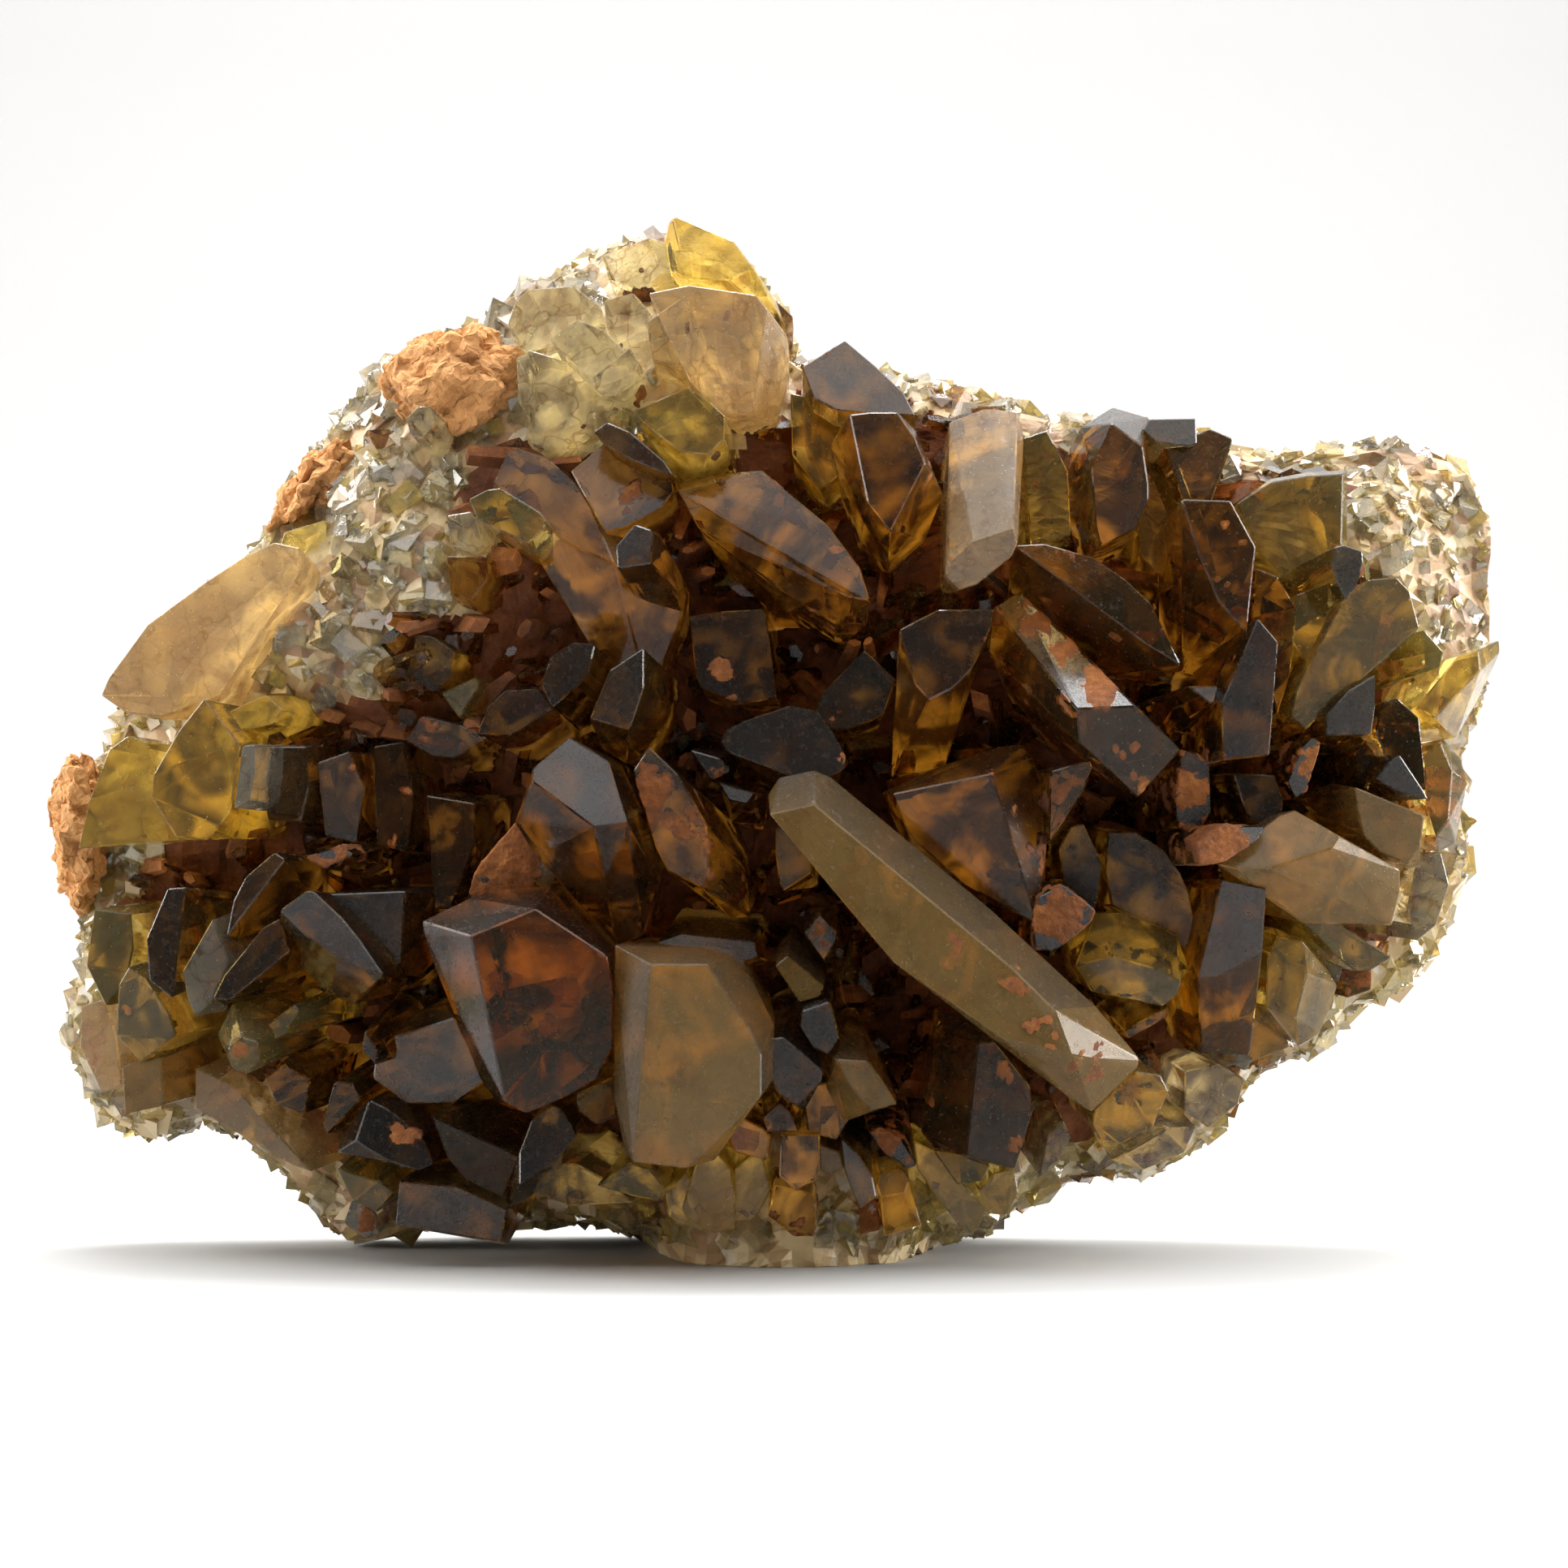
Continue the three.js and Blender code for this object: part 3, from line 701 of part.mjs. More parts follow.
// Limonite crusts: [centre across, centre down], depth, half sizes [across, upwards, deep],
// turn in the drawing's plane in degrees, roughness in millimetres
const LIMONITE = {
  limonite_upper: { centre: [56.5, 47.6], depth: -3, half: [8.6, 7, 8], turn: 8, rough: 1.3 },
  limonite_flank: { centre: [38.8, 60.2], depth: -7, half: [6.4, 3, 6], turn: 52, rough: 0.8 },
  limonite_left: { centre: [9.9, 102.6], depth: -9, half: [3.2, 9.4, 7], turn: 2, rough: 0.8 },
};

// Small crystals between the large ones: [across, down, spread, count, size, depth of the tips]
const BED_SMALL = [
  [41, 98, 7, 2, 4.6, 6], [47, 128, 4, 2, 3.6, 12], [36, 128, 3, 1, 3.6, 10],
  [131, 62, 3, 1, 4, 6], [118, 74, 4, 1, 3.4, 10], [160, 96, 4, 1, 4, 8], [108, 121, 5, 1, 4, 6],
];
const PALE_SMALL = [
  [48, 71, 9, 5, 5, 10], [42, 79, 5, 1, 4.6, 6], [172, 62, 7, 4, 5, 8], [177, 71, 4, 2, 4.6, 6],
  [31, 81, 5, 1, 4.6, 3], [118, 49, 7, 2, 5, -4],
];

const wasm = await Module();
wasm.setup();

// A chain of numbers from 0 to 1 that looks random and is the same on every run
function numberChain(start) {
  let state = start;
  return () => {
    state = (state * 16807) % 2147483647;
    return state / 2147483647;
  };
}

// Smooth unevenness from -1 to 1 at a place on the drawing
function unevenness(across, down) {
  return (Math.sin(across * 0.41 + 1.3 * Math.sin(down * 0.23)) +
    Math.sin(down * 0.37 + 1.7 * Math.sin(across * 0.19) + 2) +
    0.7 * Math.sin((across + down) * 0.83) * Math.sin((across - down) * 0.71)) / 2.7;
}

function place(across, down, depth) {
  const nearness = (EYE_DISTANCE - depth) / EYE_DISTANCE;
  const height = FOOT_LINE - down - EYE_HEIGHT;
  return new THREE.Vector3(
    (across - DRAWING_MIDDLE) * nearness, -depth, EYE_HEIGHT + height * nearness);
}

// Leaves out the corners that hardly bend a ring
function straighten(corners) {
  const kept = [...corners];
  for (let i = 0; i < kept.length && kept.length > 3;) {
    const [a, b] = kept[(i + kept.length - 1) % kept.length];
    const [c, d] = kept[(i + 1) % kept.length];
    const [across, down] = kept[i];
    const bend = Math.abs((c - a) * (down - b) - (d - b) * (across - a)) /
      Math.max(0.1, Math.hypot(c - a, d - b));
    if (bend < SLIGHT_BEND) kept.splice(i, 1);
    else i += 1;
  }
  return kept;
}

// The corners of a ring lie in one leaning plane, where the lines of sight meet it
function ringCorners([depth, leanRight, leanUp, ...drawn]) {
  const corners = straighten(drawn);
  const middle = place(
    corners.reduce((sum, c) => sum + c[0], 0) / corners.length,
    corners.reduce((sum, c) => sum + c[1], 0) / corners.length, depth);
  return corners.map(([across, down]) => {
    const side = across - DRAWING_MIDDLE;
    const height = FOOT_LINE - down - EYE_HEIGHT;
    const nearness = (EYE_DISTANCE - depth + leanRight * middle.x +
      leanUp * (middle.z - EYE_HEIGHT)) / (EYE_DISTANCE + leanRight * side + leanUp * height);
    return place(across, down, EYE_DISTANCE * (1 - nearness));
  });
}

function keepOffFoot(corner) {
  corner.z = Math.max(corner.z, LOWEST_CRYSTAL);
  return corner;
}

function toSolid(geometry) {
  geometry.deleteAttribute('normal');
  geometry.deleteAttribute('uv');
  const merged = mergeVertices(geometry, 1e-4);
  return new wasm.Manifold(new wasm.Mesh({
    numProp: 3,
    vertProperties: new Float32Array(merged.attributes.position.array),
    triVerts: new Uint32Array(merged.index.array),
  }));
}

function toGeometry(solid) {
  const mesh = solid.getMesh();
  const geometry = new THREE.BufferGeometry();
  geometry.setAttribute('position', new THREE.BufferAttribute(mesh.vertProperties, 3));
  geometry.setIndex(new THREE.BufferAttribute(mesh.triVerts, 1));
  return geometry;
}

function joinAll(solids) {
  return solids.reduce((joined, solid) => joined.add(solid));
}

// Loose chips that a cut leaves behind are dropped: only the body with most triangles stays
function largestBody(geometry) {
  const merged = mergeVertices(geometry, 1e-3);
  const faces = merged.index.array;
  const owner = Array.from({ length: merged.attributes.position.count }, (_, i) => i);
  const root = (i) => {
    while (owner[i] !== i) i = owner[i];
    return i;
  };
  for (let i = 0; i < faces.length; i += 3) {
    owner[root(faces[i])] = root(faces[i + 1]);
    owner[root(faces[i + 1])] = root(faces[i + 2]);
  }
  const sizes = new Map();
  for (const corner of faces) sizes.set(root(corner), (sizes.get(root(corner)) || 0) + 1);
  const [largest] = [...sizes.entries()].sort((a, b) => b[1] - a[1])[0];
  merged.setIndex([...faces].filter((corner) => root(corner) === largest));
  return merged;
}

// The root is the last ring. Roots stand closer together than the tips, so the crystals fan out.
function fanned([depth, leanRight, leanUp, ...corners]) {
  const drawn = corners.map(([across, down]) => [
    across + (FAN_MIDDLE[0] - across) * ROOT_FAN, down + (FAN_MIDDLE[1] - down) * ROOT_FAN]);
  return [depth, leanRight, leanUp, ...drawn];
}

function crystalSolid(rings) {
  const grown = [...rings.slice(0, -1), fanned(rings[rings.length - 1])];
  return toSolid(new ConvexGeometry(grown.flatMap(ringCorners).map(keepOffFoot)));
}

// Stubby prisms with slanting ends, scattered around a spot of the drawing
function smallCrystals(fields, start) {
  const next = numberChain(start);
  return fields.flatMap(([across, down, spread, count, size, depth]) =>
    Array.from({ length: count }, () => {
      const angle = 2 * Math.PI * next();
      const reach = spread * Math.sqrt(next());
      const at = [across + reach * Math.cos(angle), down + reach * Math.sin(angle)];
      const turn = Math.PI * next();
      const wide = size * (0.35 + 0.3 * next());
      const long = size * (0.5 + 0.5 * next());
      const corner = (u, v) => [
        at[0] + u * long * Math.cos(turn) - v * wide * Math.sin(turn),
        at[1] + u * long * Math.sin(turn) + v * wide * Math.cos(turn)];
      const tip = depth + 3 * next();
      return crystalSolid([
        [tip, 0.8 * next() - 0.4, 0.8 * next() - 0.6,
          corner(-0.8, -0.7), corner(0.7, -0.8), corner(0.9, 0.6), corner(-0.6, 0.8)],
        [tip - 3 - size * 2.6, 0, 0,
          corner(-1, -1), corner(1, -1), corner(1, 1), corner(-1, 1)]]);
    }));
}

// How far the outline lies from the rock's centre in a direction of the drawing
function outlineReach(angle) {
  const ray = [Math.cos(angle), Math.sin(angle)];
  let reach = 0;
  ROCK_OUTLINE.forEach((from, i) => {
    const to = ROCK_OUTLINE[(i + 1) % ROCK_OUTLINE.length];
    const side = [to[0] - from[0], to[1] - from[1]];
    const start = [from[0] - ROCK_CENTRE[0], from[1] - ROCK_CENTRE[1]];
    const cross = ray[0] * side[1] - ray[1] * side[0];
    if (Math.abs(cross) < 1e-9) return;
    const along = (start[0] * side[1] - start[1] * side[0]) / cross;
    const share = (start[0] * ray[1] - start[1] * ray[0]) / cross;
    if (share >= 0 && share <= 1 && along > reach) reach = along;
  });
  return reach;
}

// Inner rings follow the outline less closely, so that its notches don't run to the centre
function ringReach(angle, share) {
  const own = outlineReach(angle);
  const around = [-0.5, -0.25, 0, 0.25, 0.5].map((turn) => outlineReach(angle + turn));
  const even = around.reduce((sum, reach) => sum + reach, 0) / around.length;
  return (even + (own - even) * share ** 6) * share;
}

function frontDepth(across, down, share) {
  let depth = RIM_DEPTH + FRONT_RISE * (1 - share ** 3) + 1.6 * unevenness(across, down);
  const fade = Math.min(1, (1 - share) * 9);
  for (const [a, d, radius, height] of SWELLINGS) {
    const away = ((across - a) ** 2 + (down - d) ** 2) / radius ** 2;
    depth += fade * height * Math.exp(-away);
  }
  return depth;
}

function backDepth(across, down, share) {
  const rim = RIM_DEPTH - RIM_THICKNESS;
  return rim + (SPECIMEN_BACK - rim) * Math.sqrt(1 - share ** 2) + 3 * unevenness(down, across);
}

// The rock is a closed skin of rings around its centre: the front's, the outline, the back's
function rockSolid() {
  const points = [];
  const faces = [];
  const rings = [
    ...FRONT_RINGS.map((share) => [share, frontDepth]),
    [1, () => RIM_DEPTH], [0.98, () => RIM_DEPTH - RIM_THICKNESS],
    ...BACK_RINGS.map((share) => [share, backDepth])];
  points.push(place(...ROCK_CENTRE, frontDepth(...ROCK_CENTRE, 0)));
  for (const [share, depthAt] of rings) {
    for (let spoke = 0; spoke < ROCK_SPOKES; spoke += 1) {
      const angle = (2 * Math.PI * spoke) / ROCK_SPOKES;
      const reach = ringReach(angle, share);
      const across = ROCK_CENTRE[0] + reach * Math.cos(angle);
      const down = ROCK_CENTRE[1] + reach * Math.sin(angle);
      points.push(place(across, down, depthAt(across, down, share)));
    }
  }
  points.push(place(...ROCK_CENTRE, backDepth(...ROCK_CENTRE, 0)));
  const last = points.length - 1;
  const at = (ring, spoke) => 1 + ring * ROCK_SPOKES + (spoke % ROCK_SPOKES);
  for (let spoke = 0; spoke < ROCK_SPOKES; spoke += 1) {
    faces.push(0, at(0, spoke + 1), at(0, spoke));
    for (let ring = 0; ring < rings.length - 1; ring += 1) {
      const [a, b] = [at(ring, spoke), at(ring, spoke + 1)];
      const [c, d] = [at(ring + 1, spoke + 1), at(ring + 1, spoke)];
      if ((ring + spoke) % 2) faces.push(a, b, c, a, c, d);
      else faces.push(a, b, d, b, c, d);
    }
    faces.push(last, at(rings.length - 1, spoke), at(rings.length - 1, spoke + 1));
  }
  const geometry = new THREE.BufferGeometry().setFromPoints(points);
  geometry.setIndex(faces);
  return toSolid(geometry);
}

function boxSolid(low, high) {
  const size = new THREE.Vector3().subVectors(high, low);
  const middle = new THREE.Vector3().addVectors(low, high).multiplyScalar(0.5);
  return toSolid(new THREE.BoxGeometry(size.x, size.y, size.z).translate(...middle.toArray()));
}

// A crumbly lump: a sphere of triangles pushed in and out, then squashed and turned into place
function limoniteSolid({ centre, depth, half, turn, rough }) {
  const geometry = new THREE.IcosahedronGeometry(1, 2);
  const spots = geometry.attributes.position;
  const middle = place(...centre, depth);
  const spin = THREE.MathUtils.degToRad(turn);
  for (let i = 0; i < spots.count; i += 1) {
    const spot = new THREE.Vector3().fromBufferAttribute(spots, i);
    const bumps = Math.sin(spot.x * 7 + 2 * Math.sin(spot.z * 5)) +
      Math.sin(spot.z * 8 + 2 * Math.sin(spot.y * 6)) + Math.sin(spot.y * 9 + spot.x * 5);
    const lift = 1 + (rough * bumps) / 3 / Math.min(half[0], half[1], half[2]);
    spot.set(spot.x * half[0] * lift, spot.y * half[2] * lift, spot.z * half[1] * lift);
    spot.applyAxisAngle(new THREE.Vector3(0, 1, 0), -spin).add(middle);
    spots.setXYZ(i, spot.x, spot.y, spot.z);
  }
  return toSolid(geometry);
}

const BIG = 400;
const aboveFoot = boxSolid(new THREE.Vector3(-BIG, -BIG, 0), new THREE.Vector3(BIG, BIG, BIG));

// Everything grew together, so it is one solid, with its foot cut flat
const solid = joinAll([
  rockSolid(),
  ...Object.values(BED_CRYSTALS).map(crystalSolid),
  ...Object.values(PALE_CRYSTALS).map(crystalSolid),
  ...smallCrystals(BED_SMALL, 4711),
  ...smallCrystals(PALE_SMALL, 1234),
  ...Object.values(LIMONITE).map(limoniteSolid),
]).intersect(aboveFoot);

const baryte = new THREE.MeshStandardMaterial({ color: 0x8a6428, roughness: 0.3 });
const cluster = new THREE.Mesh(largestBody(toGeometry(solid)), baryte);
cluster.name = 'baryte_cluster';

const specimen = new THREE.Group();
specimen.add(cluster);

// The origin goes to the middle of the specimen's footprint
specimen.updateMatrixWorld(true);
const box = new THREE.Box3().setFromObject(specimen);
specimen.position.set(-(box.min.x + box.max.x) / 2, -(box.min.y + box.max.y) / 2, -box.min.z);

export default specimen;
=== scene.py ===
"""Looks of the baryte specimen: honey-brown crystals on paler massive baryte, with limonite.

The specimen is worked out in millimetres on a front drawing, as [across, down, depth], and each
finished piece is then set in the part's frame, in metres.
"""
import math
import random

import bmesh
import bpy
from bpy.props import FloatProperty, FloatVectorProperty, IntProperty, PointerProperty
from mathutils import Euler, Matrix, Vector, noise
from mathutils.bvhtree import BVHTree


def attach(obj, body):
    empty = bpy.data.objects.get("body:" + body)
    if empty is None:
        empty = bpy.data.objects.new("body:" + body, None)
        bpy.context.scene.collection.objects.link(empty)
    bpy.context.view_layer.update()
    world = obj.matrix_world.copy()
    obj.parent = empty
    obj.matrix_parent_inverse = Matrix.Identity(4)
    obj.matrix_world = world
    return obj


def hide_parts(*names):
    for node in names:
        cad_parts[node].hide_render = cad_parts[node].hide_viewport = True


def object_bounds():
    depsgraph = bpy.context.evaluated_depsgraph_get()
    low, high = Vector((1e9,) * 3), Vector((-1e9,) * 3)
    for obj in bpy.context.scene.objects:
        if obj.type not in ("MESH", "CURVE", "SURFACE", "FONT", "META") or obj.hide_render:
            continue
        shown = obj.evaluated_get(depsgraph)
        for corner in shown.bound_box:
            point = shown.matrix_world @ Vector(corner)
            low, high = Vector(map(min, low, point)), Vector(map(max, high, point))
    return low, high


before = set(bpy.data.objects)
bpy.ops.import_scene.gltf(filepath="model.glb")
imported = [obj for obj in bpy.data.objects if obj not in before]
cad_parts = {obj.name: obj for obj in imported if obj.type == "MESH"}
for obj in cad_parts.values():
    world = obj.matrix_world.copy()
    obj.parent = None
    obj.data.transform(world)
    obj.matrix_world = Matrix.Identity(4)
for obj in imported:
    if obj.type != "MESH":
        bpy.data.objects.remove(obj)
CAD_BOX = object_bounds()
NODE = "baryte_cluster"

bl_info = {
    "name": "Baryte specimen",
    "version": (1, 0, 0),
    "blender": (4, 5, 0),
    "location": "View3D > Sidebar > Baryte",
    "description": "Dresses a baryte cluster in clear, smoky and rusty crystals",
    "category": "Object",
}

# The drawing, in millimetres
DRAWING_MIDDLE = 96.6      # across, the plane that the eye is in
FOOT_LINE = 155.0          # down, the level that the specimen rests on
EYE_DISTANCE = 600         # from the eye to the drawing's plane
EYE_HEIGHT = 58.4          # of the eye over the foot
DRAWING_SIZE = 193.2       # width and height of the drawing, which the camera frames
SHIFT = Vector((1.61, -2.06, 0))  # from the eye's plane to the middle of the part's box
MM = 0.001
WITHIN = 0.00003           # that a piece stays inside the part's box

# The massive baryte, as in the part
ROCK_CENTRE = (95, 93)
RIM_DEPTH = -12
RIM_THICKNESS = 8
FRONT_RISE = 12
SPECIMEN_BACK = -37
GRAIN_ROOM = 3             # that the rock keeps off the back, for the grains on it
BATCH = 200                # grains that are made at a time
LOWEST_CRYSTAL = 0.9       # no crystal comes nearer to the foot's level than this
ROOT_FAN = 0.13            # how far roots draw together towards the group's middle
FAN_MIDDLE = (102, 98)
ROCK_OUTLINE = (
    (82, 30), (88, 31), (93, 35), (96, 41), (97, 46), (104, 46), (112, 47.6), (119, 48.6),
    (123, 50.2), (129, 52.4), (136, 53), (147, 54), (154, 57), (158, 57.5), (164, 56),
    (168.7, 54.8), (175, 56.6), (179.6, 59), (183.3, 65.2), (183.5, 67.4), (183, 71.2),
    (184, 79), (181.5, 87), (179, 92), (179.5, 100), (179.6, 106), (178.2, 112.6), (176, 117),
    (172.4, 120.6), (164.8, 124.6), (161.6, 128.6), (154.6, 131.4), (148.6, 139.4),
    (141, 143.8), (133.4, 143.8), (125.4, 147.4), (120.4, 150.6), (115, 152.4), (112, 174),
    (84, 174), (81, 151.6), (75.6, 149.4), (64, 149.6), (50, 151), (44.4, 152.4), (40, 148.8),
    (36, 144), (30, 138.8), (24.8, 137.5), (20.6, 139.4), (15.4, 138.4), (11.9, 135),
    (9.5, 128.4), (9.8, 123), (11.3, 116.6), (11.4, 112), (12, 104), (11.4, 98), (14, 92.4),
    (15.8, 88.6), (17, 84), (22, 77), (30, 70.6), (35, 64), (36.8, 60), (40.6, 55),
    (43.4, 51.2), (47.4, 45.6), (51.4, 43.8), (59.8, 41), (62.8, 38.6), (65.6, 35.4),
    (70.2, 34.4), (74.4, 32), (78, 30.4))
# Swellings and hollows of the rock's front: across, down, radius, height
SWELLINGS = (
    (50, 72, 19, 11), (76, 46, 15, 9), (172, 66, 12, 12), (33, 79, 10, 5), (176, 90, 8, 5),
    (45, 52, 10, 4), (17, 122, 9, 7), (20, 98, 10, 4), (150, 125, 12, 4), (135, 137, 10, 3),
    (98, 158, 25, 19), (92, 79, 8, -8), (137, 98, 6, -8), (110, 124, 9, -7), (66, 131, 8, -5),
    (100, 70, 7, -4))
# Where the bed of dark crystals lies on the rock's front
BED_OUTLINE = (
    (98.2, 46.5), (99, 38), (110, 38), (122, 44), (134, 46), (150, 47), (156, 52), (163, 56.4),
    (164, 57.4), (165, 63), (166, 70.4), (169, 74), (172, 80), (175, 84), (178, 86), (178, 90),
    (177, 94), (176, 100), (174, 105.2), (171.6, 108), (170, 114), (169.6, 119.6),
    (168.6, 125.4), (165.6, 131), (157, 132), (149, 132), (145.2, 135.4), (143.6, 140),
    (138.6, 142.6), (133, 142), (122, 141), (112, 140), (98, 140), (84, 140), (76, 142),
    (66, 146), (54, 149), (45.4, 148), (41, 143.6), (36.4, 139.6), (31.6, 136.4), (26.4, 131.8),
    (22.6, 127.4), (18.4, 121), (16.8, 114), (16.8, 108), (22, 105), (28.4, 104), (29.6, 98),
    (28.8, 91.4), (34, 89.6), (41, 87.4), (48, 86.4), (49.4, 81), (51, 76.4), (59.6, 76.6),
    (60, 69), (56.6, 65.6), (56.6, 60.8), (60.6, 56.4), (63, 54.2), (67, 55), (71.4, 57.6),
    (74, 56.2), (78, 57.6), (83.4, 60.6), (87.6, 60.4), (91, 57.4), (93, 54.2), (96.4, 53.2),
    (98.2, 49.8))
# Limonite lumps: across, down, depth, half sizes across, up and deep, turn, roughness
LIMONITE = {
    "limonite_upper": (56.5, 47.6, -3, 8.6, 7, 8, 8, 1.3),
    "limonite_flank": (38.8, 60.2, -7, 6.4, 3, 6, 52, 0.8),
    "limonite_left": (9.9, 102.6, -9, 3.2, 9.4, 7, 2, 0.8),
}

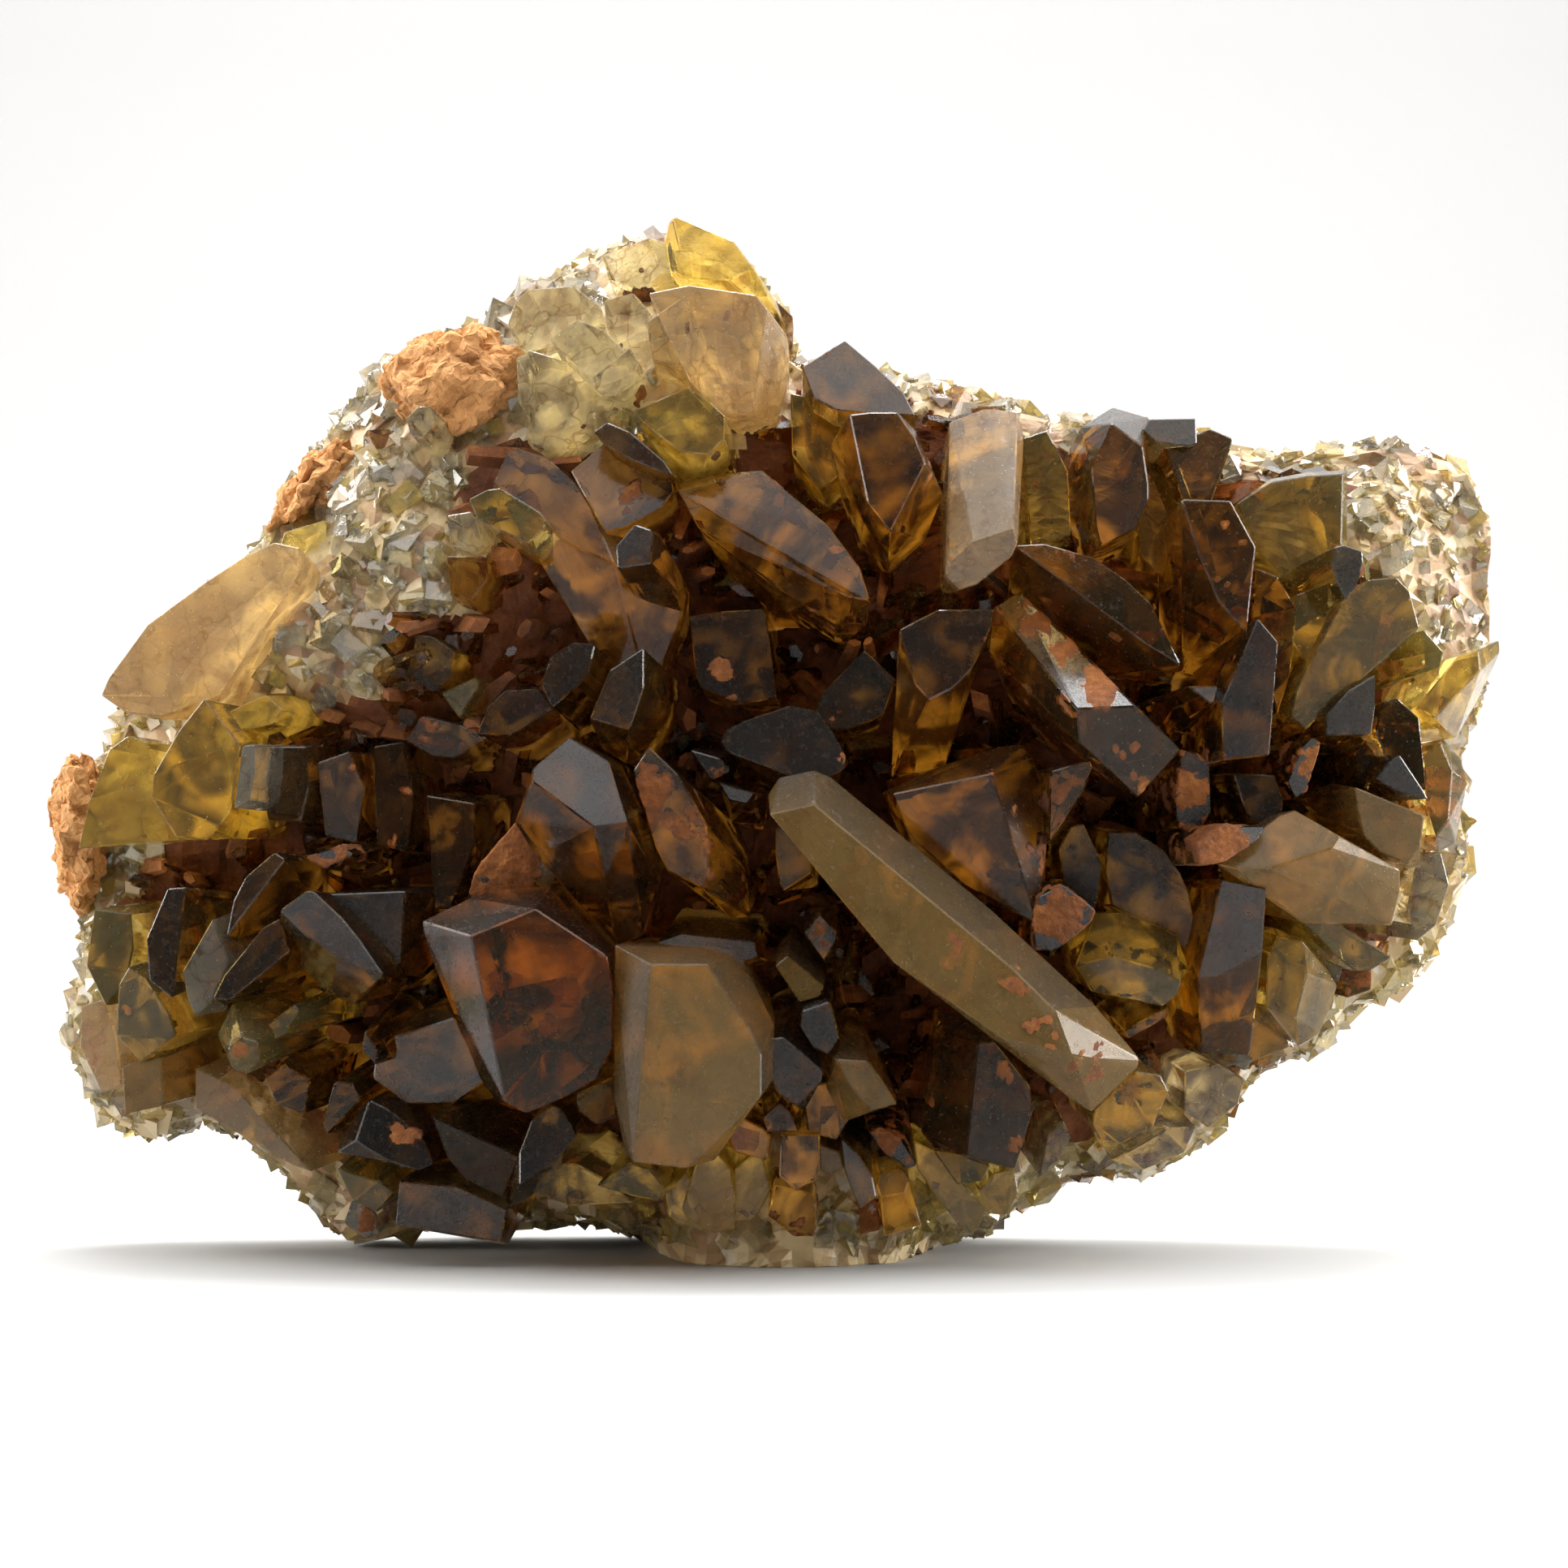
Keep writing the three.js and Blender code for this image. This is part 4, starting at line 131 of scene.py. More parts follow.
# Crystals, as in the part: rings of corners, each ring with its depth and its lean to the right
# and upwards. The first ring is the end or front face, the last is the root.
BED_CRYSTALS = {
    "top_grey": [
        (8, 0, -0.5, (98.8, 45.2), (101.3, 43.6), (104.1, 41.9), (107.8, 45), (111.3, 48.3),
         (112.8, 51.2), (106.7, 50.9), (103, 50.5), (100.2, 49)),
        (-12, 0, 0, (98, 48), (103.5, 44), (111, 49), (115, 58), (104, 62), (99, 56))],
    "top_amber": [
        (3, 0.1, 0, (97.4, 48.4), (100.2, 49), (104.7, 52), (104, 58), (101, 60.5), (97.6, 56)),
        (-12, 0, 0, (98, 49), (105, 53), (104, 62), (98, 58))],
    "second_grey": [
        (17, 0.05, -0.15, (104.7, 51.1), (107.2, 50.8), (110.6, 50.8), (112.8, 54), (114, 57.1),
         (112.3, 57.4), (111.4, 60.8), (110.9, 63.3), (109.7, 65.5), (106.9, 61.9), (105.5, 55.1)),
        (6, 0, 0, (102.3, 54.9), (104.4, 51.4), (112.8, 53), (116.2, 61), (114, 66.4), (111.1, 69),
         (109.5, 70.4), (106, 64)),
        (-12, 0, 0, (103, 56), (106, 52), (115, 58), (112, 68), (106, 66))],
    "pale_pillar": [
        (18, 0, 0.5, (116.9, 69.7), (119.8, 66.9), (124.9, 65.2), (125.4, 66.9), (124.6, 68.6),
         (120.4, 72), (118.2, 72.7), (116.5, 70.9)),
        (5, 0, 0, (117, 52), (121.2, 50.4), (122.6, 50.4), (125.4, 50.8), (126.2, 54)),
        (-12, 0, 0, (117.4, 53), (125.5, 52), (126, 66), (117.4, 70))],
    "behind_pillar": [
        (6, 0.1, 0, (126, 54), (129, 53), (131.6, 58), (132, 66), (127, 67.4)),
        (-12, 0, 0, (125, 55), (131, 54), (132, 66), (126, 67))],
    "mid_top": [
        (14, 0, 0.1, (137, 52.2), (140.8, 55), (141.5, 59.8), (141.5, 62), (140.1, 65.1),
         (135.6, 67.4), (135, 64.8), (134.5, 57.8)),
        (5, 0, 0, (133.2, 52.6), (137.1, 50.2), (139.7, 51.2), (141.6, 51.5), (141.8, 60)),
        (-12, 0, 0, (133, 55), (141, 53), (142, 66), (135, 68))],
    "top_bar": [
        (11, 0, -0.4, (140.8, 53), (141.6, 51.6), (147.4, 51.5), (147.5, 54.7), (146.5, 55),
         (142.3, 54.4)),
        (-10, 0, 0, (141, 53), (147.4, 52), (147, 57), (142, 57))],
    "right_top": [
        (9, -0.1, 0.1, (143.5, 55), (149.1, 52.8), (151.9, 54), (151.6, 55.3), (149.6, 59.2),
         (149.1, 62.3), (145.7, 61.5), (144.9, 59.2)),
        (-12, 0, 0, (144, 55), (151, 53.6), (151, 63), (145, 64))],
    "glow_back": [
        (3, 0, 0, (140.6, 56), (144.6, 56), (147.6, 64), (149.4, 71.5), (144, 73), (140.4, 68)),
        (-12, 0, 0, (140.6, 57), (146, 57), (149, 72), (141, 72))],
    "speckled_blade": [
        (19, -0.1, 0.05, (145.6, 61.5), (146.8, 62.4), (151.6, 61.7), (152.7, 65.4), (154.7, 67.4),
         (154.3, 69.6), (153.8, 73.3), (153.6, 77.9), (150.2, 74.1), (147.7, 68.2)),
        (9, 0, 0, (145.6, 62), (151.6, 61.8), (154.7, 67.5), (153.6, 80), (152.4, 83.4),
         (151.9, 84.5), (145.7, 82.8)),
        (-10, 0, 0, (146.5, 64), (152, 63), (153.6, 80), (146.5, 82))],
    "curved_blade": [
        (20, 0.05, -0.35, (125, 67.2), (128.7, 67), (134.8, 68.7), (138.8, 71.5), (141.8, 74.3),
         (144.1, 78.8), (145.5, 81.9), (141.3, 79.4), (136, 75.5), (130.3, 69.9), (125.9, 67.9)),
        (12, 0, 0, (125.4, 68.4), (128, 73.6), (132.6, 78), (138, 83), (144.4, 84)),
        (-6, 0, 0, (127, 69), (142, 76), (143, 84), (134, 81), (127, 74))],
    "small_tip": [
        (16, 0, -0.4, (146.3, 84.5), (151.3, 84.5), (151.9, 85.6), (149.1, 86.7)),
        (4, 0, 0, (146.6, 84.6), (151.2, 84.6), (150.4, 91), (147.6, 91))],
    "framed_amber": [
        (9, -0.05, 0, (155, 60.9), (156.7, 59.4), (160.9, 58.7), (165.5, 58.4), (165.3, 67.1),
         (162.6, 71.6), (160, 72.7), (157.5, 70.7), (154.7, 67.6), (152.4, 62)),
        (5, 0, 0, (154.8, 60.5), (156.6, 59), (161, 58.2), (166, 57.9), (166, 67.4), (163, 72)),
        (-12, 0, 0, (155, 62), (165, 60), (165, 72), (158, 74))],
    "hex_tip": [
        (17, 0, 0.1, (164.4, 67.4), (165.6, 67.1), (167.9, 67.9), (168, 69.3), (167.3, 72.1),
         (165.9, 73.8), (164.8, 71.8), (164.1, 69.3)),
        (4, 0, 0, (163.5, 68), (168.1, 69), (166.6, 76), (163, 74))],
    "yellow_prism": [
        (12, 0, 0, (159.7, 73.3), (164.8, 71.3), (163.4, 80.3), (161.4, 82.1), (159.2, 79.1)),
        (-10, 0, 0, (159, 74), (166, 72), (166, 82), (160, 84))],
    "left_of_yellow": [
        (12, 0.1, 0, (154.8, 70), (157.4, 71), (159.8, 75), (159, 83), (157.4, 88), (156.4, 80),
         (154.2, 76)),
        (-8, 0, 0, (154.6, 72), (160, 74), (160, 90), (156, 90))],
    "big_honey_right": [
        (14, 0, 0.1, (165.3, 74.2), (168.7, 71.4), (172.1, 71.1), (173.7, 72.8), (174.9, 77.3),
         (169.3, 82.3), (164.8, 86.2), (160.8, 89.9), (159.1, 88.2), (159.7, 85.1), (162, 81.5)),
        (-10, 0, 0, (160.4, 80), (168, 72), (176.4, 77), (174, 86), (163, 92))],
    "small_dark_block": [
        (16, 0, 0.1, (163.4, 88.2), (166.2, 85.1), (169.5, 83.1), (169.5, 87.1), (169, 90.4),
         (163.4, 90.7)),
        (0, 0, 0, (163.6, 87), (169.6, 84), (170, 91), (164, 92))],
    "right_small_yellow": [
        (10, 0, 0, (175.4, 77.5), (177.9, 80.3), (177.4, 82.3), (175.7, 82)),
        (-6, 0, 0, (175.2, 78), (178.6, 80), (178, 84), (175.4, 84))],
    "right_yellow_blade": [
        (8, -0.2, 0, (174.6, 87.1), (179.6, 80.9), (182.2, 80.1), (182.4, 82.6), (176.8, 88.5)),
        (0, 0, 0, (182.2, 79.9), (184.7, 78.9), (184.8, 80.3), (184.1, 82), (181.6, 87.1),
         (179.4, 91), (176.8, 90.4), (174.6, 88)),
        (-13, 0, 0, (177, 83), (183.4, 80), (182, 88), (178, 91.5))],
    "right_plate": [
        (12, -0.1, 0, (170.4, 86.5), (172.1, 85.9), (174.9, 88.5), (175.8, 97.4), (171, 94),
         (169.5, 90)),
        (-8, 0, 0, (170, 88), (175, 89), (176, 98), (171, 97))],
    "right_honey_slab": [
        (9, 0.1, 0, (166.8, 92.5), (169, 90.5), (170.5, 90.5), (170, 94), (168.5, 97.5),
         (167.5, 96.5)),
        (-8, 0, 0, (166.6, 92), (171, 91), (171, 98), (167, 98))],
    "right_dark_triangle": [
        (13, 0, 0.1, (169.5, 96), (171, 94), (172.5, 93), (175.5, 97.5), (176, 98.5), (172, 97.5)),
        (-4, 0, 0, (169.5, 96), (172.5, 92), (176, 98), (171, 99.5))],
    "far_right_yellow": [
        (6, -0.15, 0, (175.5, 93), (177.5, 91.5), (179, 95), (178.5, 101), (177, 103),
         (175.7, 99)),
        (2, 0, 0, (177.8, 91), (180, 93.5), (180.8, 96.5), (179.5, 99), (179.4, 104),
         (177.2, 105)),
        (-13, 0, 0, (176, 93), (180, 94), (179.6, 104), (176, 104))],
    "fan_grey": [
        (13, -0.1, 0.1, (167, 97), (169, 98), (175.5, 100.5), (175, 104.5), (173.5, 106.5),
         (170, 105), (168, 103), (167.3, 100)),
        (4, 0, 0, (163, 100.5), (164, 96.5), (165.5, 97), (176, 100.6), (175, 107), (169, 105.4)),
        (-10, 0, 0, (165, 99), (175, 101), (174, 107), (168, 106))],
    "right_fan": [
        (19, 0, -0.6, (150, 106.5), (154, 104.5), (157.5, 100.5), (159.5, 99.8), (165, 103),
         (164, 104.5), (156.5, 107), (152, 107)),
        (14, -0.1, 0.1, (172.5, 107.2), (172.5, 110), (171.5, 114), (164, 113), (160.5, 113.7),
         (159, 112.5), (157.5, 109.5), (156.5, 107)),
        (-12, 0, 0, (155, 102), (170, 103), (175, 108), (172, 117), (160, 114))],
    "fan_lower": [
        (10, 0, 0.1, (160.5, 113.7), (164, 113), (169, 116.5), (171.5, 118), (169, 119.5),
         (167, 119.7), (165.5, 118.5), (165, 116)),
        (-12, 0, 0, (161, 114), (171, 115), (171, 121), (164, 120))],
    "grey_shelf": [
        (13, 0, -0.1, (152, 95.3), (157, 95.5), (158.2, 98.5), (158, 100), (155, 101.5),
         (154, 101), (153, 98.5)),
        (-4, 0, 0, (152, 95), (159, 96), (158, 103), (153, 102))],
    "rusty_flat": [
        (21, 0, -0.6, (147.5, 104), (150.5, 101.8), (156, 101.8), (155, 103.5), (151, 106),
         (148, 106.5)),
        (4, 0, 0, (148.4, 103), (156, 102), (155, 108), (149, 108))],
    "small_rust_post": [
        (14, 0, 0.2, (160.4, 92), (161.6, 90.8), (162.8, 91.4), (161, 97.6), (159.6, 98.4),
         (158.6, 96.4)),
        (-4, 0, 0, (160, 92), (163, 92), (161, 100), (158.6, 98))],
    "right_pillar": [
        (20, 0.1, 0.05, (150.7, 93.7), (150.5, 86.7), (153.6, 80.3), (155, 76.2), (157.5, 79.1),
         (157.2, 81.7), (156.4, 85), (156.5, 92), (156.4, 93.1)),
        (-4, 0, 0, (149.6, 82), (156, 77), (158.6, 80), (159, 93), (151, 95))],
    "dark_prism": [
        (18, 0, 0.15, (150.5, 108.3), (156, 109.5), (155.5, 111.5), (155, 115), (155.5, 117.5),
         (153, 117.5), (150, 120.5), (147.5, 120.5), (148.5, 116), (150, 111)),
        (10, 0, 0, (147, 120.5), (155.5, 117.6), (154.5, 125), (154, 130), (148, 130),
         (146.8, 126)),
        (-10, 0, 0, (149, 110), (157, 110), (156, 130), (147, 130))],
    "right_clear": [
        (14, 0.05, 0, (157.5, 115.4), (160.5, 116), (161, 120), (159.6, 125.4), (156, 124),
         (156.2, 118)),
        (9, 0, 0, (155.8, 115), (157, 114.3), (160, 115.5), (162, 117.5), (164, 120),
         (164.8, 121.5), (164, 124), (162.5, 127.5), (160, 129), (158, 126.5), (156, 125),
         (155, 123.5)),
        (-10, 0, 0, (157, 115.4), (163.4, 120), (161.6, 128.4), (156, 126))],
    "clear_neighbour": [
        (4, 0, 0, (160.5, 115.5), (162.5, 114), (165, 116), (165.5, 119), (165, 121),
         (163.5, 119)),
        (-12, 0, 0, (161, 115), (165.6, 117), (165, 123), (161, 121))],
    "corner_brown": [
        (2, 0, 0, (164.5, 119.5), (169, 118.5), (169, 122), (166, 123)),
        (-12, 0, 0, (164, 119), (169.6, 118.6), (169, 123), (165, 124))],
    "low_right_body": [
        (4, 0, 0, (154, 124), (158.5, 127), (159, 129), (154, 131), (149, 131.6), (149, 127)),
        (-12, 0, 0, (150, 125), (160, 127), (158, 131), (149, 132.4))],
    "low_right_facet": [
        (10, 0, 0, (152.5, 129.5), (154.5, 130.5), (153.5, 132), (152, 131.2)),
        (-4, 0, 0, (151.6, 129), (155, 130.4), (153.6, 132.4), (151, 132))],
    "slab_left": [
        (12, 0.1, 0, (130.5, 104.5), (132, 101.8), (133.5, 101.5), (135.8, 106.5), (135.5, 109),
         (135, 112), (134, 111.8), (132.5, 109.5), (131, 108.5)),
        (-6, 0, 0, (131, 104), (134, 101), (136.4, 108), (135, 113), (131, 110))],
    "slab_right": [
        (9, 0.1, 0, (136.5, 102.5), (140, 102.5), (143.5, 104.8), (145.5, 107.5), (146.5, 110),
         (148, 118), (144, 114.5), (140, 112), (137, 111.5), (136.2, 107.5)),
        (-10, 0, 0, (137, 102), (146, 107), (149, 120), (138, 114))],
    "rusty_wedge": [
        (22, 0, 0.1, (127.5, 117), (127.2, 113), (128, 110.5), (131, 109), (135, 112.2),
         (134.5, 113.5), (131, 116.5), (129.5, 117.2)),
        (2, 0, 0, (128, 118), (128, 109), (136, 111), (134, 118))],
    "rust_column": [
        (12, 0, 0.05, (145.5, 92.3), (147.5, 92.8), (149, 94), (149.3, 100), (148, 102),
         (146.5, 102.5), (145.2, 102), (144.8, 100), (145.3, 96)),
        (-8, 0, 0, (145, 93), (150, 94), (150, 103), (145, 103))],
    "dusty_blade": [
        (25, 0, 0.3, (132.6, 87.3), (139.9, 87), (145.5, 92.4), (140.2, 98.3), (135.4, 93.7),
         (133.1, 91.7)),
        (9, 0, 0, (122.5, 74.9), (125.6, 72.9), (127.5, 74.5), (125, 85.8), (123.6, 80.2),
         (121.9, 80.2)),
        (-8, 0, 0, (124, 76), (128, 78), (139, 92), (130, 90))],
    "tapering": [
        (17, 0, -0.1, (110.8, 77.6), (114, 77.3), (115.6, 75.1), (122.5, 75.1), (122.1, 77.3),
         (120.9, 80.1), (119.8, 82.3), (117.3, 84.8), (114.5, 86.2), (112.8, 84.3), (112.5, 82)),
        (9, 0, 0, (112.3, 82), (110.5, 90), (109.7, 96.1), (116.4, 94.4), (118.5, 88),
         (120.5, 82)),
        (-8, 0, 0, (112, 78), (121, 77), (118, 96), (110.6, 97))],
    "yellow_cluster": [
        (17, 0, 0.25, (132.5, 119), (137, 117.8), (143, 119.5), (145.5, 121), (145, 122.5),
         (143.2, 124), (141.5, 123), (134.5, 122.2)),
        (11, 0, 0, (132.5, 118.8), (135, 112.5), (138.5, 112.5), (143.5, 115), (145, 115),
         (146.5, 119.5)),
        (-8, 0, 0, (134, 114), (145, 115), (146, 124), (135, 123))],
    "under_cluster": [
        (10, 0, 0.1, (138.5, 127), (144, 124), (143.5, 125.5), (139, 128)),
        (-8, 0, 0, (137, 124), (146, 122), (145, 129), (138, 129))],
    "amber_big": [
        (21, 0.25, 0.1, (110, 97.8), (122.2, 95.3), (123.5, 100), (124.5, 104), (125.8, 107),
         (127.9, 114), (119, 109), (112, 103)),
        (14, 0.1, 0, (108.7, 97.7), (115, 94.7), (118, 93.7), (123, 92), (125.9, 91.7),
         (127.3, 93.4), (129, 99.3), (128.9, 106), (128.5, 107.3), (128.4, 114)),
        (-6, 0, 0, (111, 98), (124, 94), (128, 104), (126, 114), (114, 108))],
    "rusty_shard": [
        (20, 0, 0.1, (129.5, 95), (134.3, 93.7), (134.6, 94.5), (133.7, 97.1), (131, 100),
         (129.2, 104), (129.3, 99)),
        (0, 0, 0, (129, 95), (135, 95), (133, 103), (129, 105))],
    "mid_right_grey": [
        (12, 0.1, -0.1, (106.5, 80.1), (110.4, 83.7), (108.9, 87.9), (107.5, 88.8), (104.4, 89.9),
         (102.4, 89.9), (100.4, 87.6), (101.3, 85.4), (102.4, 84.3)),
        (-8, 0, 0, (106, 80), (111, 85), (108, 92), (101, 90))],
    "centre_grey": [
        (19, 0, -0.25, (88.8, 91.3), (89.5, 89.9), (91.7, 88.8), (97.4, 86.9), (100.7, 87.6),
         (102.7, 90.4), (104.2, 93.3), (103.8, 94.9), (102.1, 95.8), (98.8, 96.1), (97.1, 94.1),
         (93.4, 93.5), (89.8, 92.7)),
        (12, 0, 0, (89, 92.4), (93.5, 95.4), (98, 98.2), (103, 97.2), (104.6, 94)),
        (-6, 0, 0, (91, 90), (102, 90), (104, 98), (94, 98))],
    "square_plate": [
        (11, 0, -0.15, (84.9, 75.9), (89.2, 75.3), (94, 75), (94.4, 75.6), (95, 80.1), (95.7, 86),
         (91.5, 86.8), (86.4, 84.8), (85.7, 83.1)),
        (-10, 0, 0, (85.4, 75), (95, 75), (96, 87), (86, 86))],
    "back_triangle": [
        (6, 0, 0, (92.7, 68), (99.3, 72.2), (97.4, 73), (95.4, 73)),
        (-10, 0, 0, (92, 68), (100, 72), (98, 77), (94, 76))],
    "upper_blade": [
        (13, 0.1, -0.5, (83, 59.2), (90.5, 58.2), (93.9, 57.9), (102, 64.7), (106, 70),
         (107.2, 74), (104.5, 73.5), (99, 67), (92, 62)),
        (12, 0.1, 0, (83.5, 60.5), (86, 65), (95, 72), (103, 77), (106.8, 77)),
        (-8, 0, 0, (86, 60), (94, 60), (106, 72), (103, 78), (90, 70))],
    "dark_upper": [
        (11, 0, -0.4, (70.3, 58), (74.5, 54.5), (79, 57), (82.8, 59.2), (83, 60.5), (81.5, 62.5),
         (79, 63.4), (77, 65), (74.5, 65.5), (73, 62)),
        (-8, 0, 0, (71, 60), (82, 60), (80, 68), (74, 67))],
    "big_dark_blade": [
        (11, 0, -0.35, (60.7, 59.6), (62.5, 55.7), (63.6, 55.1), (67.3, 56.3), (70.9, 59.4),
         (72.9, 62.7), (75.1, 68), (75.7, 69.5), (70, 67), (68.1, 64.4), (66.1, 60.2)),
        (9, 0, 0, (62, 61), (67, 70), (73, 80), (80, 86), (81.3, 82.6), (82.4, 79.5), (84.2, 75.3),
         (82.7, 72.8)),
        (-8, 0, 0, (64, 60), (72, 62), (83, 76), (79, 86), (67, 72))],
    "amber_prism": [
        (17, 0.1, -0.1, (57.7, 61.5), (60, 60.3), (61.6, 60.1), (66.7, 63.2), (67.3, 64.3),
         (66.8, 65.5), (65, 67), (62.2, 65.2), (58.8, 63.9)),
        (0, 0, 0, (58, 61), (65, 62), (65, 68), (60, 66))],
    "cube_tip": [
        (20, 0, -0.3, (75.9, 67.3), (78.2, 64.6), (80.2, 65.3), (80.4, 66), (80.2, 69.4),
         (76.1, 70)),
        (15, 0, 0, (76.1, 70.4), (78.5, 72.4), (82.7, 72.6), (83.5, 73), (81.3, 65.7)),
        (0, 0, 0, (77, 68), (83, 70), (82, 76), (78, 75))],
    "two_grey_left": [
        (16, 0, -0.2, (58.8, 90.4), (60, 87.1), (62.2, 85.1), (66.4, 84.8), (68.1, 87.2),
         (64.4, 89.9), (62.8, 90.7)),
        (-2, 0, 0, (59.6, 88), (67, 86), (68.4, 92), (61, 94))],
    "two_grey_right": [
        (16, 0, -0.2, (66.7, 84.3), (67.8, 80.9), (70.6, 79.1), (73.3, 79.4), (72.6, 82.9),
         (71.5, 84.3), (68, 87.2)),
        (-2, 0, 0, (67.6, 83), (73, 81), (74, 88), (69, 91))],
    "bright_block": [
        (21, -0.1, 0, (79.3, 79.8), (75.1, 82.6), (72.7, 88.5), (77.6, 89.9), (79.3, 84.8)),
        (14, 0, 0, (81.4, 84), (80.4, 85.7), (77.2, 94.1), (74.3, 92.4), (72.7, 88.8)),
        (-2, 0, 0, (75, 84), (81, 82), (81, 90), (77, 95), (74, 92))],
    "left_grey": [
        (10, 0, 0, (50.1, 83.1), (51.3, 78.1), (53.2, 78.4), (56, 80.3), (55.7, 83.4),
         (53.5, 85.4)),
        (-6, 0, 0, (50.6, 80), (56, 79), (57, 88), (52, 88))],
    "yellow_chip": [
        (10, 0.1, 0.1, (54.3, 85.4), (58.6, 83.4), (59.1, 84.5), (56.6, 88.5)),
        (-4, 0, 0, (54, 84), (59, 83), (58, 90), (55, 89))],
    "maroon_top": [
        (9, 0, 0.1, (50, 91.3), (51.8, 88.2), (56.6, 89.3), (60, 91), (56, 93.5), (53.2, 93.2)),
        (-4, 0, 0, (50, 90), (60, 89), (58, 96), (52, 96))],
    "rust_cap": [
        (20, 0.1, 0.1, (78, 95), (80, 92), (83.6, 95.5), (87, 101.4), (87.3, 107), (86.4, 109.3),
         (82.2, 107.3), (80.8, 104.5)),
        (13, 0, 0, (89.5, 104), (91.7, 107.3), (92.5, 113), (90, 113.2), (86.8, 109.7)),
        (-2, 0, 0, (80, 94), (90, 103), (92, 112), (84, 110))],
    "sparkly_chip": [
        (15, 0, 0, (85, 92.4), (88.9, 93.5), (90.1, 94.9), (87.5, 96.1)),
        (2, 0, 0, (84, 91), (91, 92), (90, 99), (85, 98))],
    "round_chip": [
        (15, 0, 0.2, (88.4, 96.3), (93.1, 97.7), (92, 99.1), (89.8, 98.6)),
        (2, 0, 0, (88, 96), (94, 97), (93, 103), (88.4, 102))],
    "under_blade": [
        (16, 0, 0, (95.6, 102), (99, 102), (100, 107.5), (96.5, 109.8), (96, 108.7),
         (95.5, 104.8)),
        (0, 0, 0, (95, 102), (101, 102), (101, 111), (96, 111))],
    "wedge_one": [
        (25, 0, -0.5, (65.6, 94.7), (70.1, 90.8), (75, 93.8), (77.3, 101.4), (73.2, 101.9),
         (65.6, 96.3)),
        (19, 0, 0.15, (63.4, 101.4), (66, 105.5), (70.5, 110), (76, 116.5), (79.3, 115.2),
         (81.2, 108.6), (77.6, 101.6)),
        (0, 0, 0, (65, 99), (74, 94), (80, 106), (78, 115), (70, 109))],
    "rust_triangle": [
        (17, 0, 0.2, (64, 100.8), (65, 105), (68.4, 107.5), (68, 109.2), (64, 109.6), (57.4, 111),
         (58.4, 107.8), (60.5, 105), (62.5, 103)),
        (0, 0, 0, (64, 99), (70, 108), (66, 112), (57, 113))],
    "maroon_column": [
        (11, 0, 0, (52.5, 98), (55, 98.5), (58.5, 99), (58.5, 104), (56, 107), (55.5, 112),
         (53.5, 112), (53.2, 105)),
        (-4, 0, 0, (52, 97), (60, 98), (58, 113), (53, 113))],
    "wedge_two": [
        (29, 0.02, 0, (58, 115.3), (66, 112), (74.8, 117.8), (75.5, 121.5), (75.5, 129),
         (73.5, 133), (70, 135), (65, 137.2), (62.2, 135.8), (62.3, 131.3), (60, 123)),
        (22, 0, -0.1, (52, 113.5), (54, 112.8), (58, 110.6), (62.5, 109.4), (67.7, 109.2),
         (75, 116.5), (62, 136.2), (61.3, 135.8), (59.2, 133), (56.3, 125.5), (53.5, 119),
         (52.2, 115)),
        (0, 0, 0, (55, 116), (67, 111), (75, 119), (74, 132), (62, 134), (57, 126))],
    "wedge_three": [
        (33, 0, 0, (80.1, 118.8), (87.2, 118.8), (90, 123), (92.5, 127), (93.8, 130), (93.8, 135),
         (87, 142), (84.5, 144), (78, 143.2), (79.7, 136)),
        (27, 0, -0.05, (75.7, 116.4), (86, 116.8), (90, 117.8), (92.5, 120.5), (95.4, 126.2),
         (95.3, 133), (88, 143), (77, 142), (75.6, 135)),
        (0, 0, 0, (77, 118), (90, 119), (95, 128), (92, 138), (80, 141))],
    "behind_wedge": [
        (17, 0, -0.4, (81, 116), (84, 115), (87, 115.3), (93, 116), (93.5, 118), (90, 119),
         (82, 118)),
        (-2, 0, 0, (82, 113), (93, 114), (95, 122), (84, 122))],
    "small_pillar": [
        (17, 0, 0.1, (99, 115), (101, 112.5), (103.2, 115), (103, 116), (101.5, 118.5),
         (100.5, 117)),
        (-2, 0, 0, (98.6, 114), (103.6, 113), (103, 122.4), (100, 122.4))],
    "frosted_small": [
        (22, 0.05, -0.1, (95.5, 119), (97, 117.8), (101.5, 121.5), (101, 122.8), (98.5, 123.5),
         (97.5, 121.5)),
        (0, 0, 0, (94.4, 119), (97, 116), (102.4, 122), (99, 126))],
    "small_blue_upper": [
        (24, 0, 0, (98.8, 124.6), (102.2, 123.4), (103, 126), (103.4, 128), (102, 130), (100, 129),
         (98.5, 126.5)),
        (21, 0, 0, (97.8, 124), (98.5, 123.3), (101.8, 122.2), (102.4, 123.2)),
        (2, 0, 0, (97, 123), (103, 121), (105, 129), (99, 130))],
    "small_blue_lower": [
        (27, 0, 0, (95, 128), (96.5, 127.8), (98.5, 129.5), (101.4, 132), (101, 133.5),
         (98.2, 136.3), (95.8, 134.7), (94.6, 132)),
        (23, 0, 0, (93.9, 127.5), (96, 126.8), (102, 131.5), (99, 137), (93.8, 133)),
        (2, 0, 0, (92, 127), (98, 124), (104, 132), (99, 139))],
    "small_pale": [
        (25, 0, 0, (103, 130.5), (107, 130.8), (109, 133.5), (110.5, 136), (107.5, 136.8),
         (105, 134)),
        (20, 0, 0, (101.8, 130), (103.5, 128), (107, 130), (110.6, 135.6), (104, 138.2),
         (101.8, 134)),
        (2, 0, 0, (101, 128), (106, 128), (110, 136), (103, 139))],
    "amber_low": [
        (20, 0, 0, (99, 134), (104, 133), (104.5, 138), (103, 140.5), (99.5, 139.5)),
